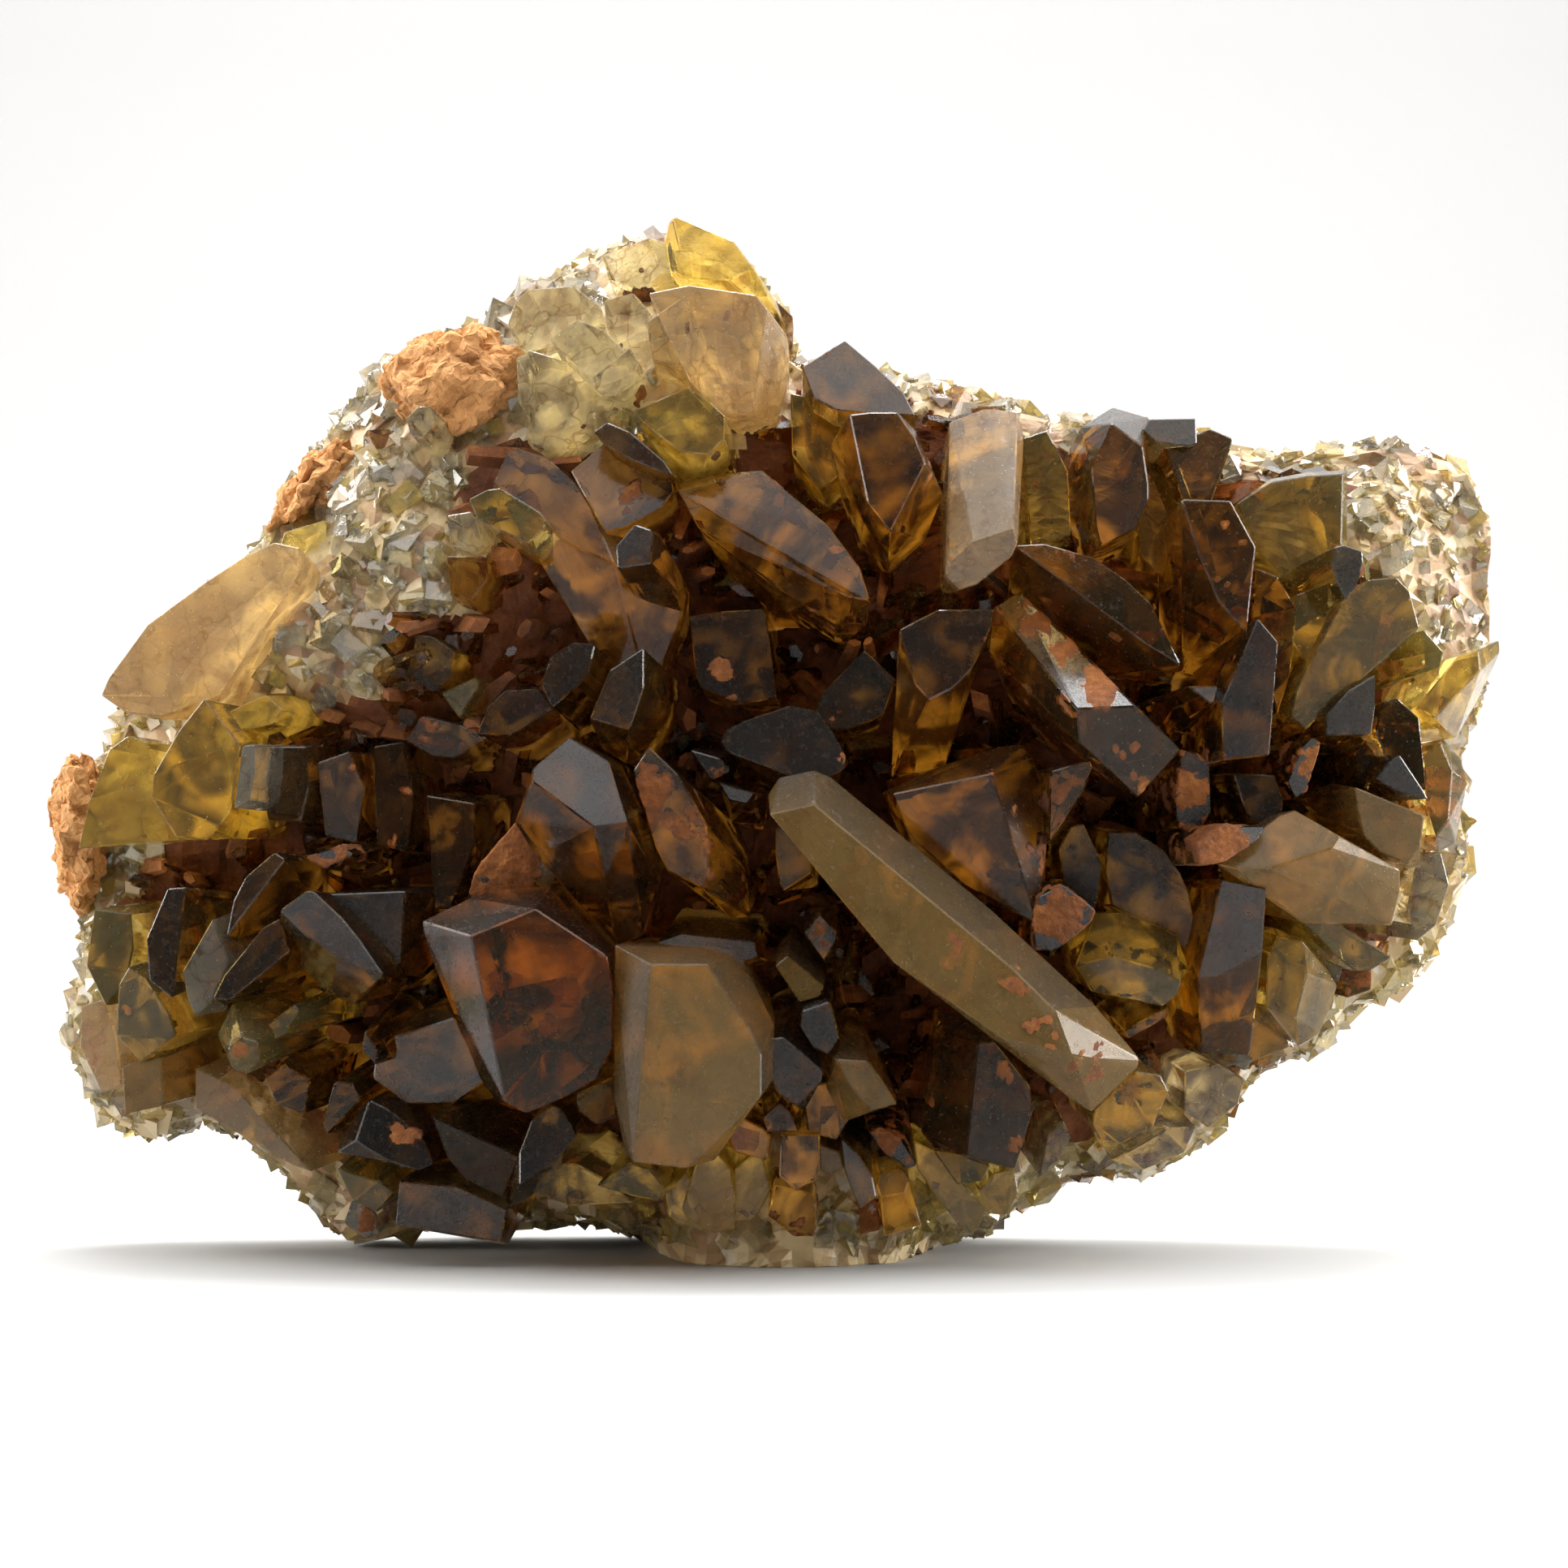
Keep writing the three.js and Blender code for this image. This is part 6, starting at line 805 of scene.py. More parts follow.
# Stains of rust on the drawing: across, down, radius, strength
STAINS = (
    (102.5, 43.5, 1.6, .5), (108, 49, 2, .3), (77.5, 61, 3.4, .6), (90, 57, 3, .35),
    (93, 54, 2.5, .5), (98, 60, 4, .45), (104, 67, 3, .3), (113.5, 58, 2.2, .35),
    (112, 71, 2.6, .55), (111, 75.5, 3, .5), (121, 70.5, 2.4, .3), (127, 62, 4, .45),
    (131, 57, 3, .4), (133, 67, 3, .4), (128, 76, 2.6, .55), (131, 80, 2.6, .55),
    (135.5, 84.5, 3, .6), (88.5, 82.5, 2.6, .75), (91, 86, 2, .5), (102.5, 87.5, 1.8, .6),
    (90, 91, 1.4, .45), (94, 93, 1.8, .45), (103, 94, 2.2, .6), (80, 97, 3.2, .8),
    (84.5, 101.5, 2.4, .35), (62, 106, 5, .8), (57, 100, 3, .4), (54, 104, 2.6, .55),
    (150, 103.6, 4, .8), (147, 97, 2.6, .55), (155, 81, 1.6, .3), (131, 113, 4, .7),
    (129, 106, 2.6, .5), (130, 98, 2.6, .45), (125.4, 100, 1.8, .5), (127.5, 104, 1.8, .5),
    (122, 94.6, 1.8, .35), (139, 121, 2.6, .4), (144, 121.6, 1.8, .5), (118, 115, 3, .25),
    (124.5, 120.5, 3, .4), (129, 126, 3.4, .5), (134, 131.5, 3, .5), (104, 102.6, 1.8, .2),
    (100.6, 114.4, 1.5, .7), (96, 121, 1.8, .3), (109.5, 141, 1.8, .7), (104.5, 150, 3.2, .6),
    (123.5, 132, 2, .35), (124.5, 141, 2, .45), (121, 144, 1.8, .35), (50, 139.6, 2.7, 1),
    (44, 139, 1.4, .4), (29.6, 129.6, 1.7, .9), (25, 109.4, 3, .55), (17, 110, 2.4, .4),
    (29, 106, 2.6, .45), (37, 105.4, 2.6, .55), (42, 104.8, 1.8, .5), (15.4, 124, 2.4, .4),
    (18.4, 128, 2.2, .35), (53, 152.5, 1.8, .5), (45, 150.4, 1.8, .7), (170, 121, 3, .65),
    (165, 125, 2.4, .55), (162, 128, 1.8, .45), (176, 101, 1.8, .35), (172, 98, 1.8, .35),
    (165.4, 90, 1.6, .55), (152, 65, 2.4, .25), (150, 71, 3, .3), (153, 57, 1.8, .4),
    (159, 58, 1.6, .35), (134, 54, 1.4, .35), (86, 50, 1.5, .45), (85.5, 40.5, 1.2, .6),
    (84.6, 45, 1.3, .5), (101, 77, 3, .45), (146, 88, 3, .4), (116, 118, 3, .3),
)


class SpecimenSizes(bpy.types.PropertyGroup):
    """Sizes that a user would change"""
    worn_edge: FloatProperty(
        name="Worn edge", description="Width of the rounding on a crystal's edges",
        default=0.16 * MM, min=0.0, unit="LENGTH")
    stain_lift: FloatProperty(
        name="Stain thickness", description="How far the rust stands proud of a crystal",
        default=0.05 * MM, min=0.0, unit="LENGTH")
    grain_size: FloatProperty(
        name="Grain size", description="Size of the massive baryte's cleavage grains",
        default=2.2 * MM, min=0.0005, unit="LENGTH")
    grain_count: IntProperty(
        name="Grains", description="Loose-edged cleavage grains on the massive baryte",
        default=9000, min=0)
    filling_count: IntProperty(
        name="Small crystals", description="Small crystals between the large ones",
        default=1500, min=0)


class SpecimenColours(bpy.types.PropertyGroup):
    """Colours that a user would change"""
    # The slate colour serves both the frosted ends and the painted shade on faces that look up
    slate_shade: FloatVectorProperty(
        name="Slate", description="Frosted end faces of the smoky crystals",
        default=(0.055, 0.058, 0.066), size=3, min=0, max=1, subtype="COLOR")
    rust: FloatVectorProperty(
        name="Rust", description="Limonite stains and crusts",
        default=(0.27, 0.090, 0.018), size=3, min=0, max=1, subtype="COLOR")


def place(across, down, depth):
    """A spot of the drawing, carried along the line of sight to its depth, in millimetres."""
    nearness = (EYE_DISTANCE - depth) / EYE_DISTANCE
    height = FOOT_LINE - down - EYE_HEIGHT
    return Vector(((across - DRAWING_MIDDLE) * nearness, -depth, EYE_HEIGHT + height * nearness))


def drawn(point):
    """The spot of the drawing that covers a point, the other way round than place()."""
    nearness = (EYE_DISTANCE + point.y) / EYE_DISTANCE
    height = (point.z - EYE_HEIGHT) / nearness
    return point.x / nearness + DRAWING_MIDDLE, FOOT_LINE - EYE_HEIGHT - height


def ring_corners(ring):
    """The corners of a ring lie in one leaning plane, where the lines of sight meet it."""
    depth, lean_right, lean_up, *corners = ring
    middle = place(sum(c[0] for c in corners) / len(corners),
                   sum(c[1] for c in corners) / len(corners), depth)
    placed = []
    for across, down in corners:
        side = across - DRAWING_MIDDLE
        height = FOOT_LINE - down - EYE_HEIGHT
        nearness = ((EYE_DISTANCE - depth + lean_right * middle.x
                     + lean_up * (middle.z - EYE_HEIGHT))
                    / (EYE_DISTANCE + lean_right * side + lean_up * height))
        corner = place(across, down, EYE_DISTANCE * (1 - nearness))
        corner.z = max(corner.z, LOWEST_CRYSTAL)
        placed.append(corner)
    return placed


def fanned(ring):
    """A root ring, drawn together towards the group's middle."""
    depth, lean_right, lean_up, *corners = ring
    return (depth, lean_right, lean_up, *(
        (across + (FAN_MIDDLE[0] - across) * ROOT_FAN, down + (FAN_MIDDLE[1] - down) * ROOT_FAN)
        for across, down in corners))


def unevenness(across, down):
    """Smooth unevenness from -1 to 1 at a spot of the drawing."""
    return (math.sin(across * 0.41 + 1.3 * math.sin(down * 0.23))
            + math.sin(down * 0.37 + 1.7 * math.sin(across * 0.19) + 2)
            + 0.7 * math.sin((across + down) * 0.83) * math.sin((across - down) * 0.71)) / 2.7


def outline_reach(angle):
    """How far the rock's outline lies from its centre in a direction of the drawing."""
    ray_x, ray_y = math.cos(angle), math.sin(angle)
    reach = 0
    for i, (ax, ay) in enumerate(ROCK_OUTLINE):
        bx, by = ROCK_OUTLINE[(i + 1) % len(ROCK_OUTLINE)]
        side_x, side_y = bx - ax, by - ay
        start_x, start_y = ax - ROCK_CENTRE[0], ay - ROCK_CENTRE[1]
        cross = ray_x * side_y - ray_y * side_x
        if abs(cross) < 1e-9:
            continue
        along = (start_x * side_y - start_y * side_x) / cross
        share = (start_x * ray_y - start_y * ray_x) / cross
        if 0 <= share <= 1:
            reach = max(reach, along)
    return reach


REACHES = [outline_reach(math.radians(half / 2)) for half in range(720)]


def share_of(across, down):
    """How far out a spot of the drawing is: 0 at the rock's centre, 1 at its outline."""
    side, drop = across - ROCK_CENTRE[0], down - ROCK_CENTRE[1]
    half = round(math.degrees(math.atan2(drop, side)) * 2) % 720
    return math.hypot(side, drop) / max(1, REACHES[half])


def front_depth(across, down, share):
    """Depth of the rock's front."""
    depth = RIM_DEPTH + FRONT_RISE * (1 - share ** 3) + 1.6 * unevenness(across, down)
    fade = min(1, (1 - share) * 9)
    for a, d, radius, height in SWELLINGS:
        away = ((across - a) ** 2 + (down - d) ** 2) / radius ** 2
        depth += fade * height * math.exp(-away)
    return depth


def back_depth(across, down, share):
    """Depth of the rock's back."""
    rim = RIM_DEPTH - RIM_THICKNESS
    bulge = math.sqrt(max(0, 1 - share ** 2))
    back = SPECIMEN_BACK + GRAIN_ROOM
    return rim + (back - rim) * bulge + 2 * unevenness(down, across)


def in_bed(across, down):
    """Whether a spot of the drawing is in the bed of dark crystals."""
    inside = False
    for i, (ax, ay) in enumerate(BED_OUTLINE):
        bx, by = BED_OUTLINE[i - 1]
        if (ay > down) != (by > down) and across < (bx - ax) * (down - ay) / (by - ay) + ax:
            inside = not inside
    return inside


def stain_strength(point):
    """How strongly the listed stains cover a point."""
    across, down = drawn(point)
    return sum(strength * max(0, 1 - ((across - a) ** 2 + (down - d) ** 2) / radius ** 2)
               for a, d, radius, strength in STAINS
               if abs(across - a) < radius and abs(down - d) < radius)


def finish_piece(name, mesh, material):
    """Sets a mesh that is in the drawing's millimetres in the part's frame, as a piece."""
    mesh.transform(Matrix.Translation(SHIFT * MM) @ Matrix.Scale(MM, 4))
    low, high = CAD_BOX
    for vert in mesh.vertices:
        for axis in range(3):
            vert.co[axis] = max(low[axis] + WITHIN, min(high[axis] - WITHIN, vert.co[axis]))
    mesh.name = name
    mesh.materials.clear()
    mesh.materials.append(material)
    piece = bpy.data.objects.new(name, mesh)
    bpy.context.scene.collection.objects.link(piece)
    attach(piece, "root")
    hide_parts(NODE)
    return piece


def mesh_of(bm, name, smooth=False):
    """A mesh from a bmesh, which is freed."""
    mesh = bpy.data.meshes.new(name)
    for face in bm.faces:
        face.smooth = smooth
    bm.to_mesh(mesh)
    bm.free()
    return mesh


def attribute(mesh, name, values, domain="POINT"):
    """Stores one number for each point or face."""
    layer = mesh.attributes.new(name, "FLOAT", domain)
    layer.data.foreach_set("value", values)


# Shaders


def feed(tree, socket, value):
    """Sets a socket's plain value, or links it to the output that is given."""
    if isinstance(value, bpy.types.NodeSocket):
        tree.links.new(value, socket)
    else:
        socket.default_value = value


def feed_all(tree, sockets, values):
    for key, value in values.items():
        feed(tree, sockets[key], value)


def node_of(tree, kind, inputs=None, **settings):
    """A node with its settings, and what its inputs hold or are fed from."""
    made = tree.nodes.new(kind)
    for key, value in settings.items():
        setattr(made, key, value)
    feed_all(tree, made.inputs, inputs or {})
    return made


def object_spot(tree):
    """The place on the piece, for patterns."""
    return node_of(tree, "ShaderNodeTexCoord").outputs["Object"]


def attribute_of(tree, name):
    return node_of(tree, "ShaderNodeAttribute", attribute_name=name).outputs["Fac"]


def noise_at(tree, spot, scale, detail, **more):
    """Smooth noise from 0 to 1."""
    inputs = {"Vector": spot, "Scale": scale, "Detail": detail, **more}
    return node_of(tree, "ShaderNodeTexNoise", inputs).outputs["Fac"]


def ranged(tree, value, low, high, start=0.0, end=1.0):
    """A value's share of the way from low to high, laid out from start to end."""
    return node_of(tree, "ShaderNodeMapRange", {
        "Value": value, "From Min": low, "From Max": high,
        "To Min": start, "To Max": end}).outputs["Result"]


def reckoned(tree, operation, one, other, **settings):
    """The outcome of one sum."""
    return node_of(tree, "ShaderNodeMath", {0: one, 1: other},
                   operation=operation, **settings).outputs[0]


def mixed(tree, factor, one, other, data_type="RGBA", **settings):
    """A mix of two colours, or of two numbers."""
    return node_of(tree, "ShaderNodeMix", {"Factor": factor, "A": one, "B": other},
                   data_type=data_type, **settings).outputs["Result"]


def ramped(tree, factor, first, last, *between):
    """A colour ramp, with stops of a position and a colour."""
    made = node_of(tree, "ShaderNodeValToRGB", {"Fac": factor})
    elements = made.color_ramp.elements
    for element, (position, colour) in zip(elements, (first, last)):
        element.position, element.color = position, (*colour, 1)
    for position, colour in between:
        elements.new(position).color = (*colour, 1)
    return made.outputs["Color"]


def group_tree(name, inputs, outputs):
    """An empty node group with named sockets: inputs with defaults, outputs with kinds."""
    tree = bpy.data.node_groups.new(name, "ShaderNodeTree")
    for label, default in inputs.items():
        kind = "NodeSocketColor" if isinstance(default, tuple) else "NodeSocketFloat"
        socket = tree.interface.new_socket(label, in_out="INPUT", socket_type=kind)
        socket.default_value = default
    for label, kind in outputs.items():
        tree.interface.new_socket(label, in_out="OUTPUT", socket_type=kind)
    given = tree.nodes.new("NodeGroupInput").outputs
    return tree, given, tree.nodes.new("NodeGroupOutput").inputs


def crystal_skin_group():
    """Clear body with veils inside and painted shade towards the root, dark frosted ends with
    painted shade on faces that look up, pale dust, cracks and worn patches.
    """
    tree, given, out = group_tree(
        "crystal_skin",
        {"Body": (0.6, 0.34, 0.07, 1), "Root shade": (0.2, 0.09, 0.02, 1),
         "Slate": (0.05, 0.055, 0.065, 1), "Slate amount": 1.0, "Clear roughness": 0.05,
         "Slate roughness": 0.26, "Cracks": 0.0},
        {"Color": "NodeSocketColor", "Roughness": "NodeSocketFloat",
         "Frost": "NodeSocketFloat", "Height": "NodeSocketFloat"})
    spot = object_spot(tree)
    cloud = node_of(tree, "ShaderNodeTexNoise", {
        "Vector": spot, "Scale": 190, "Detail": 2, "Roughness": 0.6}).outputs
    fine = noise_at(tree, spot, 1300, 2, Roughness=0.75)
    veil = ranged(tree, cloud["Fac"], 0.35, 0.65, -0.35, 0.35)
    # Painted shade: the body darkens to the root colour the less it stands out of the rock, broken
    # up by veils of random tone
    lit = reckoned(tree, "ADD", attribute_of(tree, "rise"), veil, use_clamp=True)
    body = mixed(tree, lit, given["Root shade"], given["Body"])
    patchy = ranged(tree, cloud["Fac"], 0.35, 0.6, 0.7, 1.0)
    # Where the slate colour goes, in patches: frosted ends, and painted shade on faces that look up
    frost_and_shade = reckoned(tree, "MULTIPLY", attribute_of(tree, "slate_shade"), patchy)
    share = reckoned(tree, "MULTIPLY", frost_and_shade, given["Slate amount"], use_clamp=True)
    colour = mixed(tree, share, body, given["Slate"])
    dusty = mixed(tree, ranged(tree, fine, 0.66, 0.80, 0, 0.55), colour, (0.62, 0.54, 0.42, 1))
    bent = node_of(tree, "ShaderNodeVectorMath", {
        0: cloud["Color"], 1: (0.012, 0.012, 0.012), 2: spot}, operation="MULTIPLY_ADD")
    seams = node_of(tree, "ShaderNodeTexVoronoi", {"Vector": bent.outputs["Vector"], "Scale": 170},
                    feature="DISTANCE_TO_EDGE").outputs["Distance"]
    cracked = reckoned(tree, "MULTIPLY", ranged(tree, seams, 0.0, 0.045, 1.0, 0.0),
                       given["Cracks"])
    rough = mixed(tree, share, given["Clear roughness"], given["Slate roughness"], "FLOAT")
    worn = ranged(tree, fine, 0.55, 0.72, 0.02, 0.3)
    feed_all(tree, out, {
        "Color": mixed(tree, cracked, dusty, (0.34, 0.19, 0.09, 1)),
        "Roughness": reckoned(tree, "ADD", worn, rough, use_clamp=True),
        "Frost": reckoned(tree, "MULTIPLY", share, 0.5),
        "Height": fine})
    return tree


def rust_group():
    """Colours and relief of limonite, from maroon through orange to tan."""
    tree, given, out = group_tree(
        "rust", {"Rust": (0.36, 0.13, 0.035, 1), "Scale": 900.0, "Share": 0.3},
        {"Color": "NodeSocketColor", "Height": "NodeSocketFloat"})
    spot = object_spot(tree)
    grain = noise_at(tree, spot, given["Scale"], 4, Roughness=0.7)
    tone = ramped(tree, mixed(tree, 0.5, grain, noise_at(tree, spot, 130, 1), "FLOAT"),
                  (0.38, (0.035, 0.010, 0.006)), (0.68, (0.36, 0.145, 0.032)),
                  (0.52, (0.17, 0.052, 0.010)))
    feed_all(tree, out, {"Color": mixed(tree, given["Share"], tone, given["Rust"]),
                         "Height": grain})
    return tree


def placed_group(tree, name, build, inputs=None):
    """The outputs of a node group that is built once, with a material's own values."""
    group = bpy.data.node_groups.get(name) or build()
    return node_of(tree, "ShaderNodeGroup", inputs, node_tree=group).outputs


def new_material(name):
    """A material, its node tree and the inputs of its shader."""
    material = bpy.data.materials.new(name)
    material.use_nodes = True
    tree = material.node_tree
    return material, tree, tree.nodes["Principled BSDF"].inputs


def bumped(tree, height, strength, distance):
    return node_of(tree, "ShaderNodeBump", {
        "Strength": strength, "Distance": distance, "Height": height}).outputs["Normal"]


# Tone: body colour, darker colour near the root as painted shade, slate amount, roughness,
# transmission, absorption colour, absorption per metre
CRYSTAL_TONES = {
    "smoky": ((0.72, 0.48, 0.24, 1), (0.50, 0.28, 0.11, 1), 1.0, 0.03, 0.99,
              (0.80, 0.63, 0.18, 1), 110),
    "capped": ((0.92, 0.70, 0.30, 1), (0.80, 0.50, 0.14, 1), 1.0, 0.02, 0.99,
               (0.89, 0.71, 0.14, 1), 110),
    "honey": ((0.92, 0.70, 0.32, 1), (0.78, 0.46, 0.14, 1), 0.8, 0.02, 0.99,
              (0.88, 0.70, 0.18, 1), 110),
    "lemon": ((1.0, 0.90, 0.45, 1), (0.95, 0.74, 0.25, 1), 0.2, 0.02, 0.96,
              (0.97, 0.82, 0.0, 1), 62),
    "cloudy": ((0.56, 0.36, 0.12, 1), (0.24, 0.13, 0.04, 1), 0.7, 0.08, 0.82,
               (0.88, 0.72, 0.0, 1), 90),
    "veiled": ((0.90, 0.70, 0.46, 1), (0.80, 0.56, 0.30, 1), 0.3, 0.06, 0.86,
               (0.92, 0.78, 0.2, 1), 45),
    "pale": ((1.0, 0.96, 0.84, 1), (0.96, 0.88, 0.66, 1), 0.15, 0.03, 0.94,
             (0.97, 0.84, 0.0, 1), 24),
}
# How strongly the cleavage cracks show
CRACKED = {"pale": 0.8, "veiled": 0.55, "lemon": 0.35, "cloudy": 0.2}
FAINTLY_CRACKED = 0.1


def crystal_material(tone):
    """Clear baryte that swallows light on its way through, with the finishes of its faces."""
    body, deep, slate_amount, roughness, see_through, absorbed, density = CRYSTAL_TONES[tone]
    material, tree, surface = new_material(f"baryte_{tone}")
    skin = placed_group(tree, "crystal_skin", crystal_skin_group, {
        "Body": body, "Root shade": deep, "Slate": (*bpy.context.scene.baryte_colours.slate_shade, 1),
        "Slate amount": slate_amount, "Clear roughness": roughness,
        "Cracks": CRACKED.get(tone, FAINTLY_CRACKED)})
    feed_all(tree, surface, {
        "Base Color": skin["Color"], "Roughness": skin["Roughness"],
        "Coat Weight": skin["Frost"], "Coat Roughness": 0.32, "Coat IOR": 1.6,
        "Specular IOR Level": 0.22, "IOR": 1.32, "Transmission Weight": see_through,
        "Normal": bumped(tree, skin["Height"], 0.4, 0.00002)})
    inside = node_of(tree, "ShaderNodeVolumeAbsorption", {"Color": absorbed, "Density": density})
    feed(tree, tree.nodes["Material Output"].inputs["Volume"], inside.outputs["Volume"])
    return material


def stain_material():
    """The thin rust on the crystals, made once."""
    if "rust_crust" in bpy.data.materials:
        return bpy.data.materials["rust_crust"]
    material, tree, surface = new_material("rust_crust")
    rust = placed_group(tree, "rust", rust_group, {
        "Rust": (*bpy.context.scene.baryte_colours.rust, 1)})
    feed_all(tree, surface, {"Base Color": rust["Color"], "Roughness": 0.9,
                             "Normal": bumped(tree, rust["Height"], 1.0, 0.0005)})
    return material


def limonite_material():
    """The tan crumbs of the thick crusts."""
    material, tree, surface = new_material("limonite")
    rust = placed_group(tree, "rust", rust_group, {
        "Rust": (0.86, 0.45, 0.17, 1), "Scale": 480.0, "Share": 0.55})
    feed_all(tree, surface, {"Base Color": rust["Color"], "Roughness": 0.92,
                             "Normal": bumped(tree, rust["Height"], 1.0, 0.0006)})
    return material


def ground_material():
    """Rust over the rock between the crystals."""
    material, tree, surface = new_material("rusty_ground")
    rust = placed_group(tree, "rust", rust_group)
    dark = mixed(tree, 1.0, rust["Color"], (0.58, 0.47, 0.40, 1), blend_type="MULTIPLY")
    feed_all(tree, surface, {"Base Color": dark, "Roughness": 0.8,
                             "Normal": bumped(tree, rust["Height"], 0.8, 0.0005)})
    return material


def massive_material():
    """Pale massive baryte, which lets some light through, with a painted glow in patches under the
    crystals that stands in for light coming through them.
    """
    material, tree, surface = new_material("massive_baryte")
    spot = object_spot(tree)
    cells = node_of(tree, "ShaderNodeTexVoronoi", {"Vector": spot, "Scale": 380})
    cell = node_of(tree, "ShaderNodeSeparateColor", {"Color": cells.outputs["Color"]})
    speckled = mixed(tree, 0.35, noise_at(tree, spot, 60, 3), cell.outputs["Red"], "FLOAT")
    hue = ramped(tree, speckled, (0.28, (0.30, 0.15, 0.07)), (0.74, (0.90, 0.82, 0.68)),
                 (0.42, (0.60, 0.38, 0.18)), (0.55, (0.80, 0.62, 0.32)))
    bed = attribute_of(tree, "bed")
    root = attribute_of(tree, "root")
    open_colour = mixed(tree, bed, hue, (0.12, 0.05, 0.015, 1))
    depths = noise_at(tree, spot, 110, 3, Distortion=1.2)
    dark_root = ramped(tree, depths, (0.42, (0.20, 0.11, 0.04)), (0.66, (0.90, 0.66, 0.28)))
    pale_root = ramped(tree, depths, (0.40, (0.50, 0.34, 0.15)), (0.62, (1.0, 0.90, 0.60)))
    root_colour = mixed(tree, bed, pale_root, dark_root)
    # Painted glow: patches of the rock under the crystals give off amber light, standing in for
    # light that comes through the crystals; the root colours follow the same patches
    lit = reckoned(tree, "MULTIPLY", ranged(tree, depths, 0.49, 0.70), root)
    feed_all(tree, surface, {
        "Base Color": mixed(tree, root, open_colour, root_colour),
        "Emission Color": mixed(tree, lit, (0, 0, 0, 1), (1.0, 0.62, 0.14, 1)),
        "Emission Strength": 0.30, "Roughness": 0.5, "Transmission Weight": 0.4,
        "Normal": bumped(tree, noise_at(tree, spot, 1100, 3), 0.6, 0.0003)})
    return material


# Cleavage grains: tint, transmission, roughness
GRAIN_LOOKS = {
    "clear_grains": ((0.96, 0.89, 0.72), 0.88, 0.02),
    "yellow_grains": ((0.98, 0.82, 0.38), 0.82, 0.02),
    "milky_grains": ((0.52, 0.42, 0.30), 0.0, 0.3),
}


def grain_material(name, tint, see_through, roughness):
    """Cleavage grains: clear or milky, each with a tint of its own."""
    material, tree, surface = new_material(name)

    def shade(*shares):
        return tuple(part * share for part, share in zip(tint, shares))

    hue = ramped(tree, attribute_of(tree, "own"), (0.0, shade(0.50, 0.32, 0.20)), (1.0, tint),
                 (0.35, shade(0.95, 0.88, 0.62)))
    feed_all(tree, surface, {
        "Base Color": hue, "Roughness": roughness, "IOR": 1.64,
        "Transmission Weight": see_through,
        "Normal": bumped(tree, noise_at(tree, object_spot(tree), 1400, 2), 0.4, 0.0001)})
    return material


# Shapes

# A face's slot says whether it is a crystal's end, how rusty the crystal is and its slate rule
RUST_LEVELS = 4
SLATE_RULES = 3
SLOTS = 2 * RUST_LEVELS * SLATE_RULES
FLAT_ANGLE = math.radians(3)       # between faces that are one
SHARP_ANGLE = math.radians(12)     # between faces with a worn edge
REAR = 12                          # millimetres along y, past which a point is at the back


def crystal_shape(rings, level, rule, edge):
    """One crystal as a closed convex mesh, with a slot for each kind of face."""
    bm = bmesh.new()
    first = ring_corners(rings[0])
    corners = first + [c for ring in (*rings[1:-1], fanned(rings[-1]))
                       for c in ring_corners(ring)]
    for corner in corners:
        bm.verts.new(corner)
    hull = bmesh.ops.convex_hull(bm, input=bm.verts)
    inner = {v for v in hull["geom_interior"] + hull["geom_unused"]
             if isinstance(v, bmesh.types.BMVert)}
    bmesh.ops.delete(bm, geom=list(inner), context="VERTS")
    bmesh.ops.dissolve_limit(bm, angle_limit=FLAT_ANGLE, verts=bm.verts, edges=bm.edges)
    bmesh.ops.recalc_face_normals(bm, faces=bm.faces)
    for face in bm.faces:
        is_end = all(min((v.co - c).length for c in first) < 0.01 for v in face.verts)
        face.material_index = int(is_end) + 2 * (level + RUST_LEVELS * rule)
    sharp = [e for e in bm.edges if e.calc_face_angle(0) > SHARP_ANGLE]
    bmesh.ops.bevel(bm, geom=sharp, offset=edge, offset_type="OFFSET", segments=1,
                    profile=0.5, affect="EDGES", material=-1, clamp_overlap=True)
    return mesh_of(bm, "crystal")


def united(meshes):
    """One closed mesh around overlapping closed ones."""
    room = bpy.data.collections.new("joining")
    bpy.context.scene.collection.children.link(room)
    parts = []
    for mesh in meshes:
        for _ in range(SLOTS):
            mesh.materials.append(None)
        part = bpy.data.objects.new("joining", mesh)
        home = room if parts else bpy.context.scene.collection
        home.objects.link(part)
        parts.append(part)
    joiner = parts[0].modifiers.new("join", "BOOLEAN")
    joiner.operation = "UNION"
    joiner.operand_type = "COLLECTION"
    joiner.collection = room
    joiner.solver = "MANIFOLD"
    depsgraph = bpy.context.evaluated_depsgraph_get()
    whole = bpy.data.meshes.new_from_object(parts[0].evaluated_get(depsgraph))
    for part in parts:
        old = part.data
        bpy.data.objects.remove(part)
        bpy.data.meshes.remove(old)
    bpy.data.collections.remove(room)
    return whole


def crystal_tone(name, default):
    return next((tone for tone, names in TONES.items() if name in names.split()), default)


def slate_rule(name):
    return 1 if name in CLEAR_ENDS.split() else 2 if name in SLATE_BEVELS.split() else 0


def rust_level(name):
    return next((level for level, names in RUSTY.items() if name in names.split()), 0)


def search_tree(mesh):
    bm = bmesh.new()
    bm.from_mesh(mesh)
    tree = BVHTree.FromBMesh(bm)
    bm.free()
    return tree


def crystal_trees():
    """A search tree for each tone's crystals, in metres and in place."""
    trees = []
    for tone in CRYSTAL_TONES:
        crystals = bpy.data.objects.get(f"crystals_{tone}")
        if not crystals:
            raise RuntimeError("the crystals are made first")
        trees.append(search_tree(crystals.data))
    return trees


